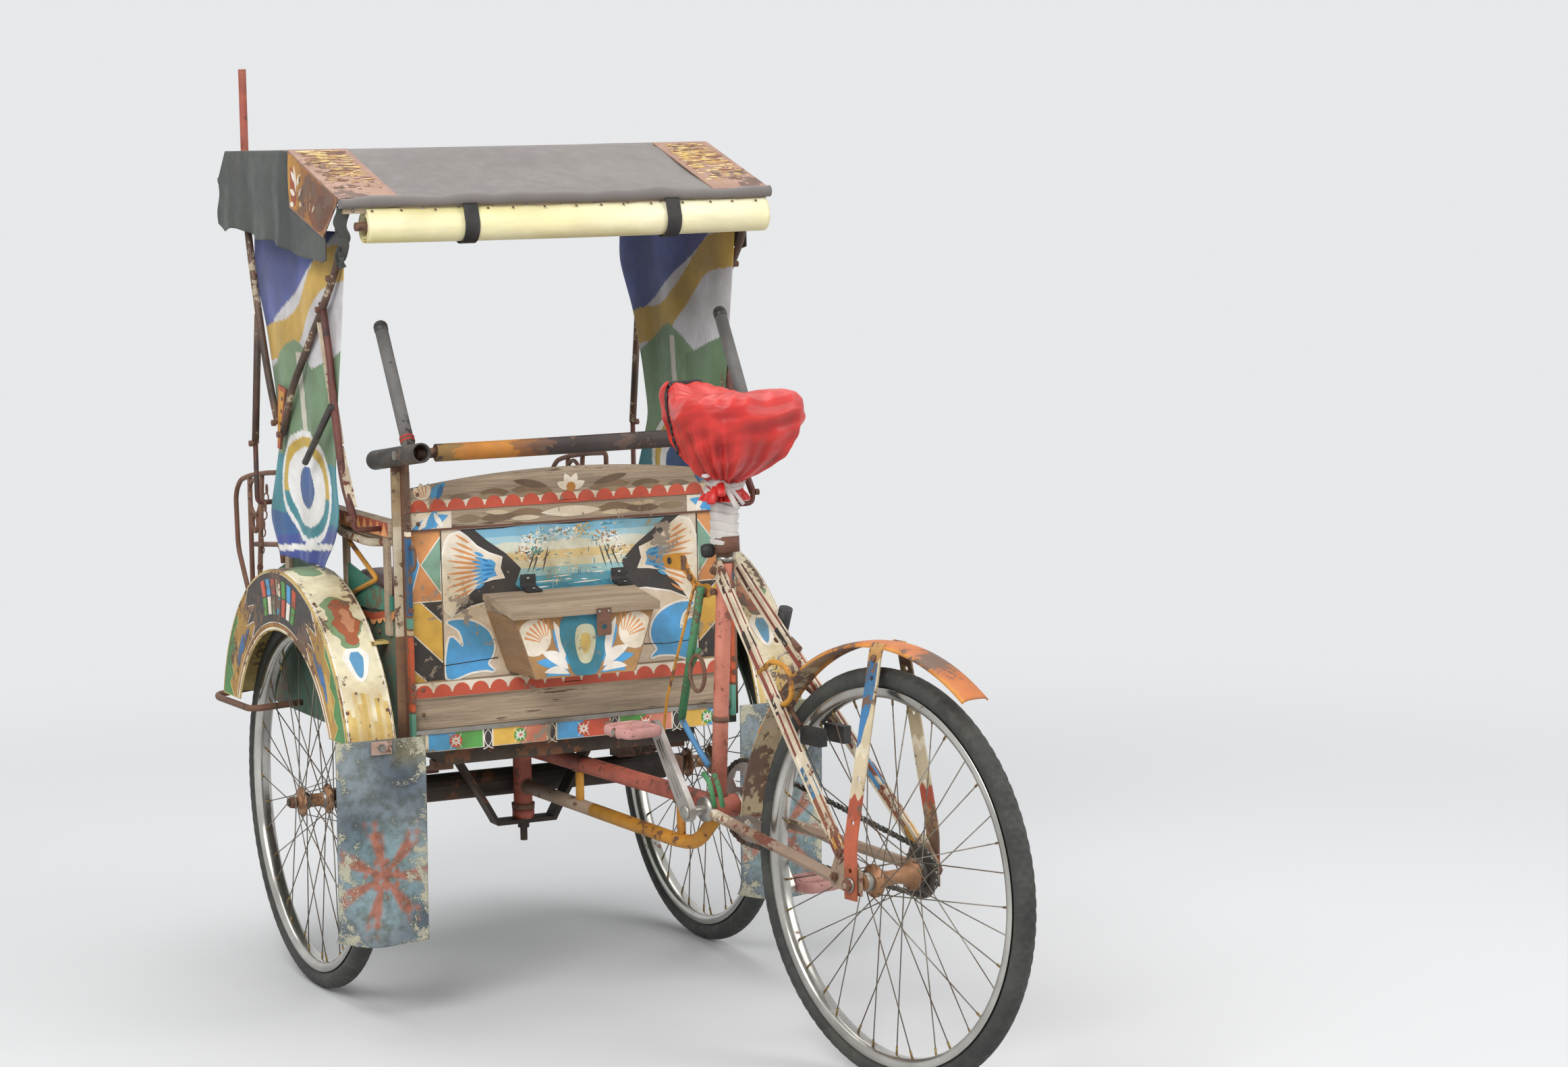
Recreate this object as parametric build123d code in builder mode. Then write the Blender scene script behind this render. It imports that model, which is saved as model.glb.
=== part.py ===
from build123d import *
import os
from math import cos, pi, radians, sin

# Cycle rickshaw, millimetres. +X is the vehicle's right, +Y the way it drives, +Z up, floor at z = 0.
# The passenger cabin rides on two front wheels. The rider's rear frame turns on a kingpin behind the axle.
# Cabin pieces are drawn from the middle of the front axle. Rear pieces are drawn from the kingpin,
# pointing straight ahead, and are turned to the angle at which the rickshaw is parked.
# All hubs are drawn at AXLE_Z, and the finished vehicle is set down on whatever size of wheel it has.

# Wheels
WHEEL_RADIUS = 355.0
AXLE_Z = 355.0
TYRE_WIDTH = 38.0
TYRE_DEPTH = 37.7
TYRE_SEAT_RADIUS = WHEEL_RADIUS - TYRE_DEPTH
TYRE_CROWN_WIDTH = 16.0
RIM_WIDTH = 32.0
RIM_DEPTH = 13.0
RIM_FACETS = 48
SPOKE_COUNT = 36
SPOKE_WIDTH = 2.4
FLANGE_RADIUS = 29.0
FLANGE_HALF = 4.0
HUB_BARREL_RADIUS = 15.0
HUB_FACETS = 12
FRONT_HUB_HALF = 36.0
FRONT_FLANGE_X = 26.0
FRONT_SPINDLE_RADIUS = 7.0
REAR_HUB_HALF = 70.0
REAR_FLANGE_X = 40.0
REAR_AXLE_RADIUS = 5.0
RUNNING_FIT = 0.05
SEAT_GAP = 0.3

# Kingpin and rear frame
KINGPIN_Y = -55.0
KINGPIN_RADIUS = 7.0
KINGPIN_LOW = 247.0
HEAD_TUBE_RADIUS = 18.0
HEAD_TUBE_LOW = 308.0
HEAD_TUBE_HIGH = 452.0
KINGPIN_TO_HUB = 1130.0
STEER_AT_REST = 11.0
HUB_Y = -KINGPIN_TO_HUB
CRANK_Y = HUB_Y + 484.0
CRANK_HEIGHT = 405.0
MAIN_TUBE_Z = 430.0
LOW_TUBE_Z = 354.0
MAIN_TUBE_RADIUS = 16.0
LOW_TUBE_RADIUS = 13.0
SHELL_RADIUS = 21.0
SHELL_HALF = 36.0
SEAT_TUBE_RADIUS = 14.0
SEAT_TUBE_TOP = 880.0
SEAT_TUBE_LEAN = 34.0
SADDLE_Z = 1000.0
SADDLE_LENGTH = 300.0
SADDLE_WIDTH = 230.0
SADDLE_HEIGHT = 135.0
DROPOUT_X = 82.0
DROPOUT_THICKNESS = 5.0
FENDER_RADIUS = WHEEL_RADIUS + 45
FENDER_HALF = 28.0
FENDER_START = 7.0
FENDER_ARC = 117.0
FENDER_FACETS = 20
FENDER_STRIP_X = 89.0
FENDER_STRIP_WIDTH = 32.0

# Cranks and chain
CRANK_LENGTH = 170.0
CRANK_ANGLE = 56.0
CRANK_AXLE_RADIUS = 8.5
LEFT_ARM_X = 66.0
RIGHT_ARM_X = 71.0
ARM_THICKNESS = 12.0
PEDAL_AXLE_RADIUS = 5.0
PEDAL_AXLE_LENGTH = 88.0
PEDAL_WIDTH = 76.0
PEDAL_LENGTH = 84.0
PEDAL_HEIGHT = 24.0
CHAINLINE = 61.0
CHAINRING_TEETH = 38
SPROCKET_TEETH = 20
CHAIN_PITCH = 12.7
CHAIN_WIDTH = 6.8
CHAIN_SLOT = 3.6
CHAIN_HEIGHT = 8.0
CHAIN_PLATE = 1.2
TOOTH_WIDTH = 2.4
TOOTH_TIP = 0.5
TOOTH_ROOT = -6.0

# Cabin body
PANEL_Y = -320.0
PANEL_HALF = 317.0
BOARD = 18.0
FLOOR_Z = 495.0
FLOOR_THICKNESS = 15.0
CABIN_FRONT_Y = 575.0
SIDE_X = PANEL_HALF + 8
SIDE_THICKNESS = 15.0
WHEEL_GAP = 60.0
TRACK = 2 * (SIDE_X + SIDE_THICKNESS + WHEEL_GAP)
RAIL_X = PANEL_HALF - 82
RAIL_WIDTH = 30.0
RAIL_HEIGHT = 40.0
AXLE_RADIUS = 26.0
AXLE_END_RADIUS = 19.0
AXLE_FACETS = 16
LEAF_REACHES = (110.0, 175.0, 240.0)
LEAF_CURVE = 760.0
LEAF_THICKNESS = 6.0
LEAF_WIDTH = 38.0
HANGER_THICKNESS = 8.0
HANGER_WIDTH = 40.0
HANGER_LOW = 283.0
SEAT_Z = 690.0
SEAT_BOARD = 15.0
CUSHION_THICKNESS = 80.0
CUSHION_GAP = 0.4
ARMREST_Z = 880.0
ARMREST_HEIGHT = 28.0
ARMREST_FRONT_Y = 330.0
ARMREST_FOOT_Z = 700.0
UPRIGHT_TOP = 1024.0
IRON_RADIUS = 5.0
WIRE_FACETS = 6
TUBE_FACETS = 12
RING_FACETS = 12

# Hood
RIB_X = SIDE_X + 75
RIB_RADIUS = 7.0
GUSSET = 5.0
ROOF_HALF = RIB_X + 20
ROOF_REAR = (-305.0, 1491.0)
ROOF_RIDGE = (-31.0, 1576.0)
ROOF_FRONT = (342.0, 1573.0)
ROOF_LIP = (391.0, 1520.0)
ROOF_THICKNESS = 4.0
ROOF_TUBE = 8.0
ROOF_BAR = 7.0
ROOF_DROP = 12.1
CAP_WIDTH = 110.0
CAP_SHEET = 2.0
BLIND_RADIUS = 31.0
BLIND_Z = 1441.4
POLE_RADIUS = 7.5
POLE_HEIGHT = 156.6
CURTAIN_THICKNESS = 3.0

# Mudguards
GUARD_CENTRE = (10.0, 420.0)
GUARD_RADIUS = WHEEL_RADIUS + 20
GUARD_INNER_X = TRACK / 2 - 38
GUARD_OUTER_X = TRACK / 2 + 55
ARCH_CENTRE = (10.0, 390.0)
ARCH_RADIUS = WHEEL_RADIUS - 65
GUARD_LOW_Z = 515.0
GUARD_FACETS = 48
SHEET = 2.5
FLAP_Y = GUARD_CENTRE[0] - GUARD_RADIUS - 3
FLAP_THICKNESS = 4.0
FLAP_HALF = 85.0
FLAP_TOP = 526.0
FLAP_LOW = 150.0

# Tool box on the rear panel
TOOLBOX_X = -33.0
TOOLBOX_TOP_HALF = 136.0
TOOLBOX_LOW_HALF = 98.0
TOOLBOX_DEPTH = 135.0
TOOLBOX_LOW = 624.0
TOOLBOX_HIGH = 738.0
TOOLBOX_WALL = 12.0
LID_THICKNESS = 15.0
LID_SLOPE = 8.0
HASP_X = 32.0
HASP_THICKNESS = 2.5
HASP_HOLE_RADIUS = 5.0

# Push bar
PUSH_BAR_Y = -425.0
PUSH_BAR_Z = 1042.0
PUSH_ARM_X = PANEL_HALF + 21
PUSH_BAR_HALF = PUSH_ARM_X - 38
PUSH_BAR_RADIUS = 16.0
PUSH_ARM_RADIUS = 18.0
PUSH_ARM_FRONT_Y = -215.0
PUSH_ARM_FRONT_Z = 1014.0
GRIP_POST_RADIUS = 12.0
GRIP_POST_TOP = (-262.0, 1262.0)

# Placing of the drawn pieces, so that the origin is on the ground below the middle of the whole vehicle
REAR_HUB_Y = KINGPIN_Y - KINGPIN_TO_HUB * cos(radians(STEER_AT_REST))
REAR_END_Y = REAR_HUB_Y - WHEEL_RADIUS * cos(radians(STEER_AT_REST)) - TYRE_CROWN_WIDTH / 4
FRONT_END_Y = 606.0
CABIN = Location((0, -(REAR_END_Y + FRONT_END_Y) / 2, WHEEL_RADIUS - AXLE_Z))
REAR = CABIN * Location((0, KINGPIN_Y, 0), (0, 0, STEER_AT_REST))

os.makedirs("parts", exist_ok=True)


def save(piece, name, place=CABIN):
    """Moves a finished piece to its place, labels it and writes its file."""
    made = piece.part.moved(place)
    made.label = name
    export_step(made, f"parts/{name}.step")
    print(name, len(made.solids()), round(made.volume / 1000))


def rod(points, radius, facets=TUBE_FACETS):
    """A bar of many facets along a line of points, whose corners touch the round bar it stands for."""
    with BuildPart() as bar:
        with BuildLine() as path:
            Polyline(*points)
        with BuildSketch(Plane(origin=path.line @ 0, z_dir=path.line % 0)):
            RegularPolygon(radius, facets, rotation=30)
        sweep(transition=Transition.RIGHT)
    return bar.part


def wire(points, radius):
    """A thin rod with fewer facets."""
    return rod(points, radius, WIRE_FACETS)


def round_bar(start, end, radius):
    """A straight bar that is truly round, for what it fits."""
    with BuildPart() as bar:
        with BuildSketch(Plane(origin=start, z_dir=Vector(*end) - Vector(*start))):
            Circle(radius)
        extrude(amount=(Vector(*end) - Vector(*start)).length)
    return bar.part


def ring(centre, radius, thickness):
    """A hoop of square bar that faces sideways."""
    with BuildPart() as hoop:
        with BuildSketch(side_plane(centre[0] - thickness / 2)):
            with Locations(centre[1:]):
                RegularPolygon(radius, RING_FACETS)
                RegularPolygon(radius - thickness, RING_FACETS, mode=Mode.SUBTRACT)
        extrude(amount=thickness)
    return hoop.part


def strap(plane, points, thickness, width, bend=0.0):
    """A flat bar bent along points on a plane, standing half its width to each side of that plane."""
    with BuildPart() as bar:
        with BuildSketch(plane):
            with BuildLine():
                if bend and len(points) > 2:
                    FilletPolyline(*points, radius=bend)
                else:
                    Polyline(*points)
            trace(line_width=thickness)
        extrude(amount=width / 2, both=True)
    return bar.part


def slab(plane, points, thickness):
    """A flat board of any straight-sided outline, rising from its plane by its thickness."""
    with BuildPart() as board:
        with BuildSketch(plane):
            with BuildLine():
                Polyline(*points, close=True)
            make_face()
        extrude(amount=thickness)
    return board.part


def block(x_range, y_range, z_range):
    """A straight-sided block between two limits along each axis."""
    low = (x_range[0], y_range[0], z_range[0])
    size = [x_range[1] - x_range[0], y_range[1] - y_range[0], z_range[1] - z_range[0]]
    with BuildPart() as piece:
        with Locations(low):
            Box(*size, align=(Align.MIN, Align.MIN, Align.MIN))
    return piece.part


def both_sides(shape):
    """A piece and its mirror image on the other side of the vehicle."""
    return [shape, mirror(shape, about=Plane.YZ)]


def side_plane(x):
    """A plane at x facing right, whose own axes are the vehicle's Y and Z."""
    return Plane(origin=(x, 0, 0), x_dir=(0, 1, 0), z_dir=(1, 0, 0))


def rear_plane(y):
    """A plane at y facing the rear, whose own axes are the vehicle's X and Z."""
    return Plane(origin=(0, y, 0), x_dir=(1, 0, 0), z_dir=(0, -1, 0))


def gathered(*shapes):
    """One sub-part made of several shapes, fused where they meet."""
    with BuildPart() as piece:
        for shape in shapes:
            add(shape)
    return piece


# Wheels


def faceted_ring(section, facets, start=0.0, arc=360.0):
    """A ring or an arc about the X axis, made of flat facets from the (x, radius) corners of its section."""
    step = radians(arc) / facets
    reach = 1 / cos(step / 2)
    faces = []
    for number in range(facets):
        first = radians(start) + step * (number - 0.5 * (arc == 360))
        for near, far in zip(section, section[1:] + section[:1]):
            spots = ((near, first), (far, first), (far, first + step), (near, first + step))
            corners = [(x, r * reach * cos(angle), r * reach * sin(angle)) for (x, r), angle in spots]
            faces.append(Face(Wire.make_polygon(corners)))
    if arc < 360:
        for angle in (radians(start), radians(start + arc)):
            corners = [(x, r * reach * cos(angle), r * reach * sin(angle)) for x, r in section]
            faces.append(Face(Wire.make_polygon(corners)))
    return Solid(Shell(faces))


def build_tyre():
    half = TYRE_WIDTH / 2
    seat = RIM_WIDTH / 2 - 1
    crown = TYRE_CROWN_WIDTH / 2
    middle = (TYRE_SEAT_RADIUS + WHEEL_RADIUS) / 2 + 2
    crown_radius = WHEEL_RADIUS * cos(pi / RIM_FACETS)
    section = [
        (-seat, TYRE_SEAT_RADIUS),
        (-half, middle),
        (-crown, crown_radius),
        (crown, crown_radius),
        (half, middle),
        (seat, TYRE_SEAT_RADIUS),
    ]
    with BuildPart() as tyre:
        add(faceted_ring(section, RIM_FACETS))
    return tyre


def prism(low, high, radius, facets, turn=0.0):
    """A many-sided prism along the X axis."""
    with BuildPart() as body:
        with BuildSketch(side_plane(low)):
            RegularPolygon(radius, facets, major_radius=False, rotation=turn)
        extrude(amount=high - low)
    return body.part


def spokes(flange_x):
    """Where each spoke starts at its flange, and its run to the rim, for a wheel laced three-cross."""
    rim_radius = TYRE_SEAT_RADIUS - SEAT_GAP - RIM_DEPTH / 2
    hub_radius = FLANGE_RADIUS - 5
    runs = []
    for number in range(SPOKE_COUNT):
        side = 1 if number % 2 else -1
        lead = 1 if (number // 2) % 2 else -1
        rim_angle = radians(360.0 / SPOKE_COUNT * number)
        hub_angle = rim_angle + lead * radians(60)
        x = side * (flange_x + lead * 2.6)
        start = Vector(x, hub_radius * cos(hub_angle), hub_radius * sin(hub_angle))
        end = Vector(side * 4, rim_radius * cos(rim_angle), rim_radius * sin(rim_angle))
        runs.append((start, end - start))
    return runs


def build_wire_wheel(hub_half, flange_x, axle_radius, with_sprocket=False):
    rim_outer = TYRE_SEAT_RADIUS - SEAT_GAP
    rim_inner = rim_outer - RIM_DEPTH
    edge = RIM_WIDTH / 2
    with BuildPart() as wheel:
        section = [(-edge, rim_outer), (edge, rim_outer), (edge - 6, rim_inner), (-edge + 6, rim_inner)]
        add(faceted_ring(section, RIM_FACETS))
        add(prism(-hub_half, hub_half, HUB_BARREL_RADIUS - 3, HUB_FACETS))
        add(prism(-flange_x, flange_x, HUB_BARREL_RADIUS, HUB_FACETS))
        for side in (-1, 1):
            low = side * flange_x - FLANGE_HALF
            turn = 180 / SPOKE_COUNT * (side + 1)
            add(prism(low, low + 2 * FLANGE_HALF, FLANGE_RADIUS, SPOKE_COUNT // 2, turn))
        runs = spokes(flange_x)
        with BuildSketch(*[Plane(origin=start, z_dir=run) for start, run in runs]):
            RegularPolygon(SPOKE_WIDTH * 0.62, 3)
        extrude(amount=runs[0][1].length)
        if with_sprocket:
            with BuildSketch(side_plane(CHAINLINE - TOOTH_WIDTH / 2)):
                with BuildLine():
                    Polyline(*tooth_outline(SPROCKET_TEETH), close=True)
                make_face()
            extrude(amount=TOOTH_WIDTH)
        with BuildSketch(side_plane(-hub_half)):
            Circle(axle_radius + RUNNING_FIT)
        extrude(amount=2 * hub_half, mode=Mode.SUBTRACT)
    return wheel


# Chain drive


def pitch_radius(teeth):
    return CHAIN_PITCH / (2 * sin(pi / teeth))


def tooth_outline(teeth):
    """Points round a chain wheel, from the tip of each tooth to the gap beside it."""
    points = []
    for number in range(2 * teeth):
        angle = pi * number / teeth
        radius = pitch_radius(teeth) + (TOOTH_ROOT if number % 2 else TOOTH_TIP)
        points.append((radius * cos(angle), radius * sin(angle)))
    return points


def belt(grow, x):
    """The flat shape inside a line round both chain wheels, grown past their pitch line."""
    with BuildSketch(side_plane(x)) as loop:
        with Locations((HUB_Y, AXLE_Z)):
            Circle(pitch_radius(SPROCKET_TEETH) + grow)
        with Locations((CRANK_Y, CRANK_HEIGHT)):
            Circle(pitch_radius(CHAINRING_TEETH) + grow)
        make_hull()
    return loop.sketch


def build_chain():
    left = CHAINLINE - CHAIN_WIDTH / 2
    with BuildPart() as chain:
        add(extrude(belt(CHAIN_HEIGHT / 2, left), CHAIN_WIDTH))
        add(extrude(belt(-CHAIN_HEIGHT / 2, left), CHAIN_WIDTH), mode=Mode.SUBTRACT)
        slot_left = CHAINLINE - CHAIN_SLOT / 2
        add(extrude(belt(TOOTH_TIP + 0.5, slot_left), CHAIN_SLOT), mode=Mode.SUBTRACT)
        line = belt(0, CHAINLINE).face().outer_wire()
        count = 2 * round(line.length / CHAIN_PITCH / 2)
        outside = Vector(CHAIN_WIDTH / 2, 0, 0)
        spots = [number / count for number in range(0, count, 2)]
        planes = [Plane(origin=line @ t + outside, x_dir=line % t, z_dir=(1, 0, 0)) for t in spots]
        with BuildSketch(*planes):
            Rectangle(CHAIN_PITCH + 3, CHAIN_HEIGHT - 1)
        extrude(amount=CHAIN_PLATE)
    return chain


def crank_plane(x):
    """A plane across the crank axle at x, whose own first axis runs along the left crank."""
    along = (0, cos(radians(CRANK_ANGLE)), sin(radians(CRANK_ANGLE)))
    return Plane(origin=(x, CRANK_Y, CRANK_HEIGHT), x_dir=along, z_dir=(1, 0, 0))


def crank_arm(x, way):
    """One crank: a bar that tapers from the axle to the pedal eye, with the pedal axle in its end."""
    with BuildPart() as arm:
        with BuildSketch(crank_plane(x)):
            Circle(17)
            with Locations((way * CRANK_LENGTH, 0)):
                Circle(12)
            make_hull()
        extrude(amount=ARM_THICKNESS)
    return arm.part


def build_crankset():
    left_out = -LEFT_ARM_X - ARM_THICKNESS
    right_out = RIGHT_ARM_X + ARM_THICKNESS
    with BuildPart() as crankset:
        with BuildSketch(crank_plane(left_out)):
            Circle(CRANK_AXLE_RADIUS - RUNNING_FIT)
        extrude(amount=right_out - left_out)
        add(crank_arm(left_out, 1))
        add(crank_arm(RIGHT_ARM_X, -1))
        for start, way in ((left_out - PEDAL_AXLE_LENGTH, 1), (right_out, -1)):
            with BuildSketch(crank_plane(start)):
                with Locations((way * CRANK_LENGTH, 0)):
                    Circle(PEDAL_AXLE_RADIUS - RUNNING_FIT)
            extrude(amount=PEDAL_AXLE_LENGTH)
        with BuildSketch(crank_plane(CHAINLINE - TOOTH_WIDTH / 2)):
            with BuildLine():
                Polyline(*tooth_outline(CHAINRING_TEETH), close=True)
            make_face()
            with PolarLocations(47, 5):
                RegularPolygon(17, 6, mode=Mode.SUBTRACT)
        extrude(amount=TOOTH_WIDTH)
        with BuildSketch(crank_plane(CHAINLINE - TOOTH_WIDTH / 2)):
            Circle(24)
        extrude(amount=RIGHT_ARM_X - CHAINLINE + TOOTH_WIDTH / 2)
    return crankset


def build_pedal(way):
    """A block pedal round its axle: two end plates, two rubber bars and the barrel between them."""
    inner = LEFT_ARM_X if way > 0 else RIGHT_ARM_X
    outward = -1 if way > 0 else 1
    near = outward * (inner + ARM_THICKNESS + 4)
    along = radians(CRANK_ANGLE)
    eye = (CRANK_Y + way * CRANK_LENGTH * cos(along), CRANK_HEIGHT + way * CRANK_LENGTH * sin(along))
    low = min(near, near + outward * PEDAL_WIDTH)
    plane = Plane(origin=(low, eye[0], eye[1]), x_dir=(0, 1, 0), z_dir=(1, 0, 0))
    with BuildPart() as pedal:
        with BuildSketch(plane):
            Rectangle(PEDAL_LENGTH, PEDAL_HEIGHT)
        extrude(amount=PEDAL_WIDTH)
        for side in (-1, 1):
            with BuildSketch(plane.offset(8)):
                with Locations((side * (PEDAL_LENGTH / 4 - 1), 0)):
                    Rectangle(PEDAL_LENGTH / 2 - 30, PEDAL_HEIGHT)
            extrude(amount=PEDAL_WIDTH - 16, mode=Mode.SUBTRACT)
        with BuildSketch(plane):
            Circle(9)
        extrude(amount=PEDAL_WIDTH)
        with BuildSketch(plane):
            Circle(PEDAL_AXLE_RADIUS)
        extrude(amount=PEDAL_WIDTH, mode=Mode.SUBTRACT)
    return pedal


# Rear frame

SEAT_TUBE_LOW_POINT = (0, CRANK_Y + 8, CRANK_HEIGHT)
SEAT_TUBE_HIGH_POINT = (0, CRANK_Y + 8 - SEAT_TUBE_LEAN, SEAT_TUBE_TOP)
STRUT_SPOTS = ((-197.0, 340.0, 428.0), (-523.0, 322.0, 412.0))


def build_rear_frame():
    with BuildPart() as frame:
        with BuildSketch(Plane.XY.offset(HEAD_TUBE_LOW)):
            Circle(HEAD_TUBE_RADIUS)
        extrude(amount=HEAD_TUBE_HIGH - HEAD_TUBE_LOW)
        add(rod([(0, 0, MAIN_TUBE_Z), (0, CRANK_Y, CRANK_HEIGHT + 4)], MAIN_TUBE_RADIUS))
        low_points = [
            (0, 0, LOW_TUBE_Z),
            (0, -510, LOW_TUBE_Z - 30),
            (0, -572, LOW_TUBE_Z - 26),
            (0, CRANK_Y, CRANK_HEIGHT - 8),
        ]
        add(rod(low_points, LOW_TUBE_RADIUS))
        for y, low, high in STRUT_SPOTS:
            add(block((-4, 4), (y - 12, y + 12), (low, high)))
        add(rod([SEAT_TUBE_LOW_POINT, SEAT_TUBE_HIGH_POINT], SEAT_TUBE_RADIUS))
        above = block((-40, 40), (CRANK_Y - 80, CRANK_Y + 20), (SEAT_TUBE_TOP, SEAT_TUBE_TOP + 40))
        add(above, mode=Mode.SUBTRACT)
        with BuildSketch(side_plane(-SHELL_HALF)):
            with Locations((CRANK_Y, CRANK_HEIGHT)):
                Circle(SHELL_RADIUS)
        extrude(amount=2 * SHELL_HALF)
        with BuildSketch(side_plane(-SHELL_HALF)):
            with Locations((CRANK_Y, CRANK_HEIGHT)):
                Circle(CRANK_AXLE_RADIUS)
        extrude(amount=2 * SHELL_HALF, mode=Mode.SUBTRACT)
        with BuildSketch(Plane.XY.offset(HEAD_TUBE_LOW)):
            Circle(KINGPIN_RADIUS + RUNNING_FIT)
        extrude(amount=HEAD_TUBE_HIGH - HEAD_TUBE_LOW, mode=Mode.SUBTRACT)
    return frame


def build_rear_stays():
    """Seat stays, chain stays, dropouts and the rear axle, bolted up as one triangle on each side."""
    with BuildPart() as stays:
        for side in (-1, 1):
            drop_x = side * DROPOUT_X
            chain_start = (side * (SHELL_HALF + 2), CRANK_Y - 30, CRANK_HEIGHT - 4)
            add(wire([chain_start, (drop_x, HUB_Y + 46, AXLE_Z + 2)], 10))
            seat_start = Vector(side * (SEAT_TUBE_RADIUS + 7), CRANK_Y - 26, 845)
            seat_end = Vector(drop_x, HUB_Y + 26, AXLE_Z + 37)
            run = seat_end - seat_start
            with BuildSketch(Plane(origin=seat_start, x_dir=(side, 0, 0), z_dir=run)):
                Rectangle(12, 22)
            extrude(amount=run.length)
            with BuildSketch(side_plane(drop_x - DROPOUT_THICKNESS / 2)):
                with BuildLine():
                    Polyline(
                        (HUB_Y - 20, AXLE_Z - 18),
                        (HUB_Y + 60, AXLE_Z - 12),
                        (HUB_Y + 60, AXLE_Z + 14),
                        (HUB_Y + 40, AXLE_Z + 60),
                        (HUB_Y + 14, AXLE_Z + 60),
                        (HUB_Y - 20, AXLE_Z + 20),
                        close=True,
                    )
                make_face()
            extrude(amount=DROPOUT_THICKNESS)
        with BuildSketch(side_plane(-FENDER_STRIP_X - 14)):
            with Locations((HUB_Y, AXLE_Z)):
                Circle(REAR_AXLE_RADIUS)
        extrude(amount=2 * (FENDER_STRIP_X + 14))
        ends = [(side * 60, CRANK_Y, CRANK_HEIGHT) for side in (-1, 1)]
        shell = round_bar(*ends, SHELL_RADIUS + SEAT_GAP)
        add(shell, mode=Mode.SUBTRACT)
    return stays


def build_rear_fender():
    """The curved guard over the rear wheel with its two pierced side strips."""
    half = FENDER_HALF
    section = [
        (-half, FENDER_RADIUS - 9),
        (-half + 9, FENDER_RADIUS),
        (half - 9, FENDER_RADIUS),
        (half, FENDER_RADIUS - 9),
        (half - 9, FENDER_RADIUS - SHEET),
        (-half + 9, FENDER_RADIUS - SHEET),
    ]
    with BuildPart() as fender:
        with Locations((0, HUB_Y, AXLE_Z)):
            add(faceted_ring(section, FENDER_FACETS, FENDER_START, FENDER_ARC))
        for side in (-1, 1):
            strip = [
                (side * FENDER_STRIP_X, AXLE_Z - 28),
                (side * FENDER_STRIP_X, AXLE_Z + 68),
                (side * (half + 1), AXLE_Z + FENDER_RADIUS - 10),
                (side * (half - 8), AXLE_Z + FENDER_RADIUS - 1),
            ]
            add(strap(rear_plane(HUB_Y), strip, 3, FENDER_STRIP_WIDTH))
        with BuildSketch(side_plane(-120)):
            with Locations((HUB_Y, AXLE_Z)):
                Circle(REAR_AXLE_RADIUS + SEAT_GAP)
        extrude(amount=240, mode=Mode.SUBTRACT)
    return fender


SADDLE_LINE = (
    (-0.5, -0.98),
    (0.5, -0.98),
    (0.92, -0.72),
    (1.0, -0.3),
    (0.74, 0.2),
    (0.4, 0.62),
    (0.26, 0.94),
    (-0.26, 0.94),
    (-0.4, 0.62),
    (-0.74, 0.2),
    (-1.0, -0.3),
    (-0.92, -0.72),
)


def build_saddle():
    """The saddle under its gathered cover, as one soft solid, wide behind and narrow at the nose."""
    base_y = SEAT_TUBE_HIGH_POINT[1] + 18
    corners = [(x * SADDLE_WIDTH / 2, base_y + y * SADDLE_LENGTH / 2) for x, y in SADDLE_LINE]
    with BuildPart() as saddle:
        add(slab(Plane.XY.offset(SADDLE_Z + 30), corners, SADDLE_HEIGHT))
        chamfer(saddle.faces().sort_by(Axis.Z)[-1].edges(), 34, 26)
        chamfer(saddle.faces().sort_by(Axis.Z)[0].edges(), 26, 34)
    return saddle


def build_seat_post():
    """The seat post with the cloth strips wrapped round it."""
    y = SEAT_TUBE_HIGH_POINT[1]
    with BuildPart() as post:
        with BuildSketch(Plane.XY.offset(SEAT_TUBE_TOP + SEAT_GAP)):
            with Locations((0, y)):
                RegularPolygon(24, 10)
        extrude(amount=SADDLE_Z - SEAT_TUBE_TOP - 10)
        with BuildSketch(Plane.XY.offset(SADDLE_Z - 10)):
            with Locations((0, y)):
                RegularPolygon(15, 8)
        extrude(amount=40 - SEAT_GAP)
    return post


def build_brake_linkage():
    """Hand lever, rods and the pair of blocks that pull against the rear rim."""
    pieces = [
        strap(
            side_plane(-SEAT_TUBE_RADIUS - 5),
            [(CRANK_Y - 17, 752), (CRANK_Y + 72, 806), (CRANK_Y + 122, 845), (CRANK_Y + 189, 832)],
            16,
            6,
            12,
        ),
        wire([(-SEAT_TUBE_RADIUS - SEAT_GAP, CRANK_Y - 15, 752), (-24, CRANK_Y - 15, 752)], 6),
        wire([(-19, CRANK_Y + 10, 775), (-24, CRANK_Y + 71, 559), (-24, CRANK_Y + 4, CRANK_HEIGHT + 35)], 5),
    ]
    return gathered(*pieces)


# Cabin


def build_front_axle():
    """The axle tube between the wheels with a spindle at each end."""
    inner = TRACK / 2 - FRONT_HUB_HALF - 3
    outer = TRACK / 2 + FRONT_HUB_HALF + 18
    with BuildPart() as axle:
        with BuildSketch(side_plane(-outer)):
            Circle(FRONT_SPINDLE_RADIUS)
        extrude(amount=2 * outer)
        add(prism(-inner, inner, AXLE_END_RADIUS, AXLE_FACETS, 180 / AXLE_FACETS))
        add(prism(-inner + 40, inner - 40, AXLE_RADIUS, AXLE_FACETS, 180 / AXLE_FACETS))
    return axle


def leaf(plane, reach, middle):
    """One leaf of a spring: an arc of flat bar, highest at its two ends."""
    end = middle + reach**2 / (2 * LEAF_CURVE)
    with BuildPart() as bar:
        with BuildSketch(plane):
            with BuildLine():
                ThreePointArc((-reach, end), (0, middle), (reach, end))
            trace(line_width=LEAF_THICKNESS)
        extrude(amount=LEAF_WIDTH / 2, both=True)
    return bar.part


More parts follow.
